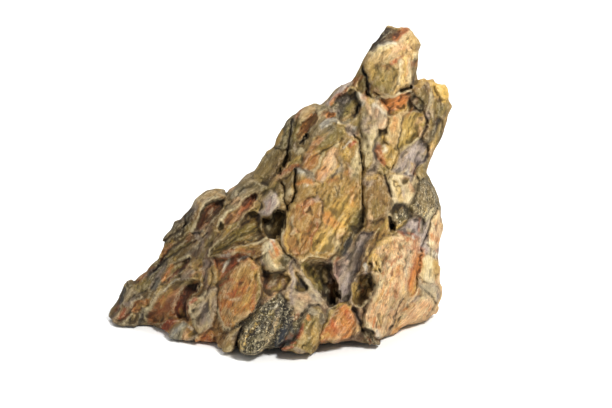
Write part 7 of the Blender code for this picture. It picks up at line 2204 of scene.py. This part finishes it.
    def filaments(self, pattern: object, middle: float, width: float) -> bpy.types.NodeSocket:
        """Fine lines, 1 where a pattern passes a value and 0 away from it."""
        away = self.maths("ABSOLUTE", self.maths("SUBTRACT", pattern, middle))
        return self.maths("SUBTRACT", 1.0, self.between(away, 0.0, width))

    def laid(self, colour: object, cover: object, strength: float, code: str) -> bpy.types.NodeSocket:
        """The colour with another laid over it, as far as a cover and its strength say."""
        return self.mix(self.maths("MULTIPLY", cover, strength), colour, srgb(code))

    def shaded(self, colour: object, value: object, spread: tuple[float, float], dark: float, light: float,
               share: object = 1.0) -> bpy.types.NodeSocket:
        """The colour made darker where a pattern is low and lighter where it is high."""
        shade = self.mix(self.between(value, *spread), (dark,) * 3 + (1.0,), (light,) * 3 + (1.0,))
        return self.mix(share, colour, shade, "MULTIPLY")

    def colour(self) -> bpy.types.NodeSocket:
        """The clay's colour, with painted shade in its hollows and a painted highlight on small edges."""
        lined = self.maths("ADD", self.maths("MULTIPLY", self.streak, 0.75), 0.2)
        colour = self.mix(self.between(self.bands, 0.38, 0.62), self.base, self.partner)
        touched = self.maths("MULTIPLY", self.between(self.veins, 0.53, 0.66), lined)
        colour = self.mix(touched, colour, self.accent)
        colour = self.laid(colour, self.between(self.veins, 0.42, 0.32), 0.24, DUST_AND_HIGHLIGHT_CREAM)
        mossy = self.maths("MULTIPLY", self.between(self.blotches, 0.50, 0.66), 0.5)
        colour = self.mix(mossy, colour, self.mix(1.0, colour, srgb(MOSS_TINT), "MULTIPLY"))
        colour = self.shaded(colour, self.blotches, (0.34, 0.66), 0.86, 1.12)
        colour = self.shaded(colour, self.streaks, (0.34, 0.66), 0.66, 1.26, lined)
        colour = self.shaded(colour, self.mottles, (0.32, 0.68), 0.84, 1.12)
        colour = self.shaded(colour, self.grits, (0.30, 0.70), 0.84, 1.10)
        thin_dark = self.maths("MULTIPLY", self.filaments(self.veins, 0.50, 0.012), lined)
        colour = self.laid(colour, thin_dark, 0.55, PARTING_BROWN)
        thin_pale = self.maths("MULTIPLY", self.filaments(self.veins, 0.43, 0.010), lined)
        colour = self.laid(colour, thin_pale, 0.25, DUST_AND_HIGHLIGHT_CREAM)
        colour = self.laid(colour, self.cracks(), 0.35, PARTING_BROWN)
        colour = self.laid(colour, self.crumb_cover(), 0.7, DUST_AND_HIGHLIGHT_CREAM)
        colour = self.laid(colour, self.speck_cover(), 0.85, SPECK_BLACK)
        # Worn dust and painted highlight: paler on small raised edges.
        worn_and_highlit = self.maths("MULTIPLY", self.between(self.small_hollow, 0.34, 0.10),
                          self.between(self.mottles, 0.40, 0.58))
        colour = self.laid(colour, worn_and_highlit, 0.20, DUST_AND_HIGHLIGHT_CREAM)
        # Painted shade: darker in small and large hollows, where shade falls.
        colour = self.laid(colour, self.between(self.small_hollow, 0.62, 0.95), 0.50, PAINTED_SHADE_BROWN)
        return self.laid(colour, self.between(self.large_hollow, 0.58, 0.95), 0.42, PAINTED_SHADE_BROWN)

    def roughness(self) -> bpy.types.NodeSocket:
        """Matt clay, a little smoother where it is fine."""
        node = add_node(self.tree, "ShaderNodeMapRange", {},
                        {"Value": self.mottles, "From Min": 0.3, "From Max": 0.7,
                         "To Min": 0.74, "To Max": 0.95})
        return node.outputs[0]

    def bump(self) -> bpy.types.NodeSocket:
        """Grit, fine ridges along the grain and the partings."""
        height = self.maths("MULTIPLY", self.streaks, self.maths("ADD", self.streak, 0.25))
        for pattern, share in ((self.mottles, 0.35), (self.veins, 0.6), (self.grits, 0.35),
                               (self.filaments(self.veins, 0.50, 0.016), -0.12), (self.cracks(), -0.4),
                               (self.speck_cover(), -0.2)):
            height = self.maths("ADD", height, self.maths("MULTIPLY", pattern, share))
        return add_node(self.tree, "ShaderNodeBump", {},
                        {"Strength": 0.8, "Distance": self.bump_height, "Height": height}).outputs[0]


@dataclass
class Studio:
    """A pale floor that curves up behind, soft lamps and the photograph's camera."""

    floor_half: float = 4.5
    wall_height: float = 3.0
    wall_start: float = 3.6
    curve: float = 0.8
    floor_colour: str = "#F4F4F2"
    sky_strength: float = 0.40
    key_power: float = 45.0
    fill_power: float = 3.0
    backdrop_power: float = 110.0
    sensor: float = 36.0

    def floor(self) -> bpy.types.Object:
        """The floor and backdrop in one sheet."""
        profile = [(-self.floor_half, 0.0), (self.wall_start, 0.0)]
        for step in range(1, 13):
            turn = math.radians(90 * step / 12)
            profile.append((self.wall_start + self.curve * math.sin(turn), self.curve * (1 - math.cos(turn))))
        profile.append((self.wall_start + self.curve, self.wall_height))
        work = bmesh.new()
        rows = []
        for back_way, height in profile:
            ends = (-self.floor_half, self.floor_half)
            rows.append([work.verts.new((side, back_way, height)) for side in ends])
        for (a, b), (c, d) in zip(rows, rows[1:]):
            work.faces.new((a, b, d, c))
        mesh = bpy.data.meshes.new("floor")
        work.to_mesh(mesh)
        work.free()
        mesh.shade_smooth()
        material = bpy.data.materials.new("matt_paper")
        material.use_nodes = True
        shader = material.node_tree.nodes["Principled BSDF"]
        shader.inputs["Base Color"].default_value = srgb(self.floor_colour)
        shader.inputs["Roughness"].default_value = 0.9
        mesh.materials.append(material)
        floor = bpy.data.objects.new("floor", mesh)
        bpy.context.scene.collection.objects.link(floor)
        return floor

    def lamp(self, name: str, place: tuple[float, float, float], size: float, power: float,
             aim: tuple[float, float, float] = VIEW.target) -> None:
        """A square soft lamp that faces the stone, or another place."""
        light = bpy.data.lights.new(name, "AREA")
        light.energy = power
        light.size = size
        lamp = bpy.data.objects.new(name, light)
        lamp.location = place
        way = Vector(aim) - Vector(place)
        lamp.rotation_euler = way.to_track_quat("-Z", "Y").to_euler()
        bpy.context.scene.collection.objects.link(lamp)

    def sky(self) -> None:
        """An even white surround."""
        world = bpy.data.worlds.new("white_room")
        bpy.context.scene.world = world
        world.use_nodes = True
        background = world.node_tree.nodes["Background"]
        background.inputs["Color"].default_value = (1.0, 1.0, 1.0, 1.0)
        background.inputs["Strength"].default_value = self.sky_strength

    def camera(self) -> None:
        """The photograph's camera."""
        right, forward, up = VIEW.axes()
        eye = np.array(VIEW.target) - forward * VIEW.distance
        lens = bpy.data.cameras.new("camera")
        lens.sensor_width = self.sensor
        lens.lens = self.sensor * VIEW.distance / (VIEW.picture_width * VIEW.pixel)
        camera = bpy.data.objects.new("camera", lens)
        rows = [(*(float(axis[n]) for axis in (right, up, -forward)), float(eye[n])) for n in range(3)]
        camera.matrix_world = Matrix(rows + [(0.0, 0.0, 0.0, 1.0)])
        bpy.context.scene.collection.objects.link(camera)
        bpy.context.scene.camera = camera

    def build(self) -> None:
        """Set up the floor, lamps, surround and camera."""
        self.floor()
        self.lamp("key", (0.80, -1.15, 1.45), 0.34, self.key_power)
        self.lamp("fill", (-1.3, -1.0, 0.7), 1.2, self.fill_power)
        self.lamp("backdrop", (0.0, 1.5, 3.0), 2.4, self.backdrop_power, (0.0, 3.0, 0.0))
        self.sky()
        self.camera()
        bpy.context.scene.view_settings.view_transform = "Standard"
        LOG.info("studio set up")


def main() -> None:
    """Build the stone, dress it and set up the studio."""
    logging.basicConfig(level=logging.INFO, format="%(name)s: %(message)s")
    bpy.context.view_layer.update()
    form = StoneForm()
    skin = ClaySkin(form)
    mesh = StoneMesher(form).build(skin.material())
    skin.dress(mesh)
    mesh.shade_smooth()
    mesh.name = "weathered_stone"
    stone = bpy.data.objects.new("weathered_stone", mesh)
    bpy.context.scene.collection.objects.link(stone)
    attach(stone, "root")
    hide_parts(STONE_NODE)
    LOG.info("weathered_stone built with %d triangles", len(mesh.polygons))
    Studio().build()


if __name__ == "__main__":
    main()
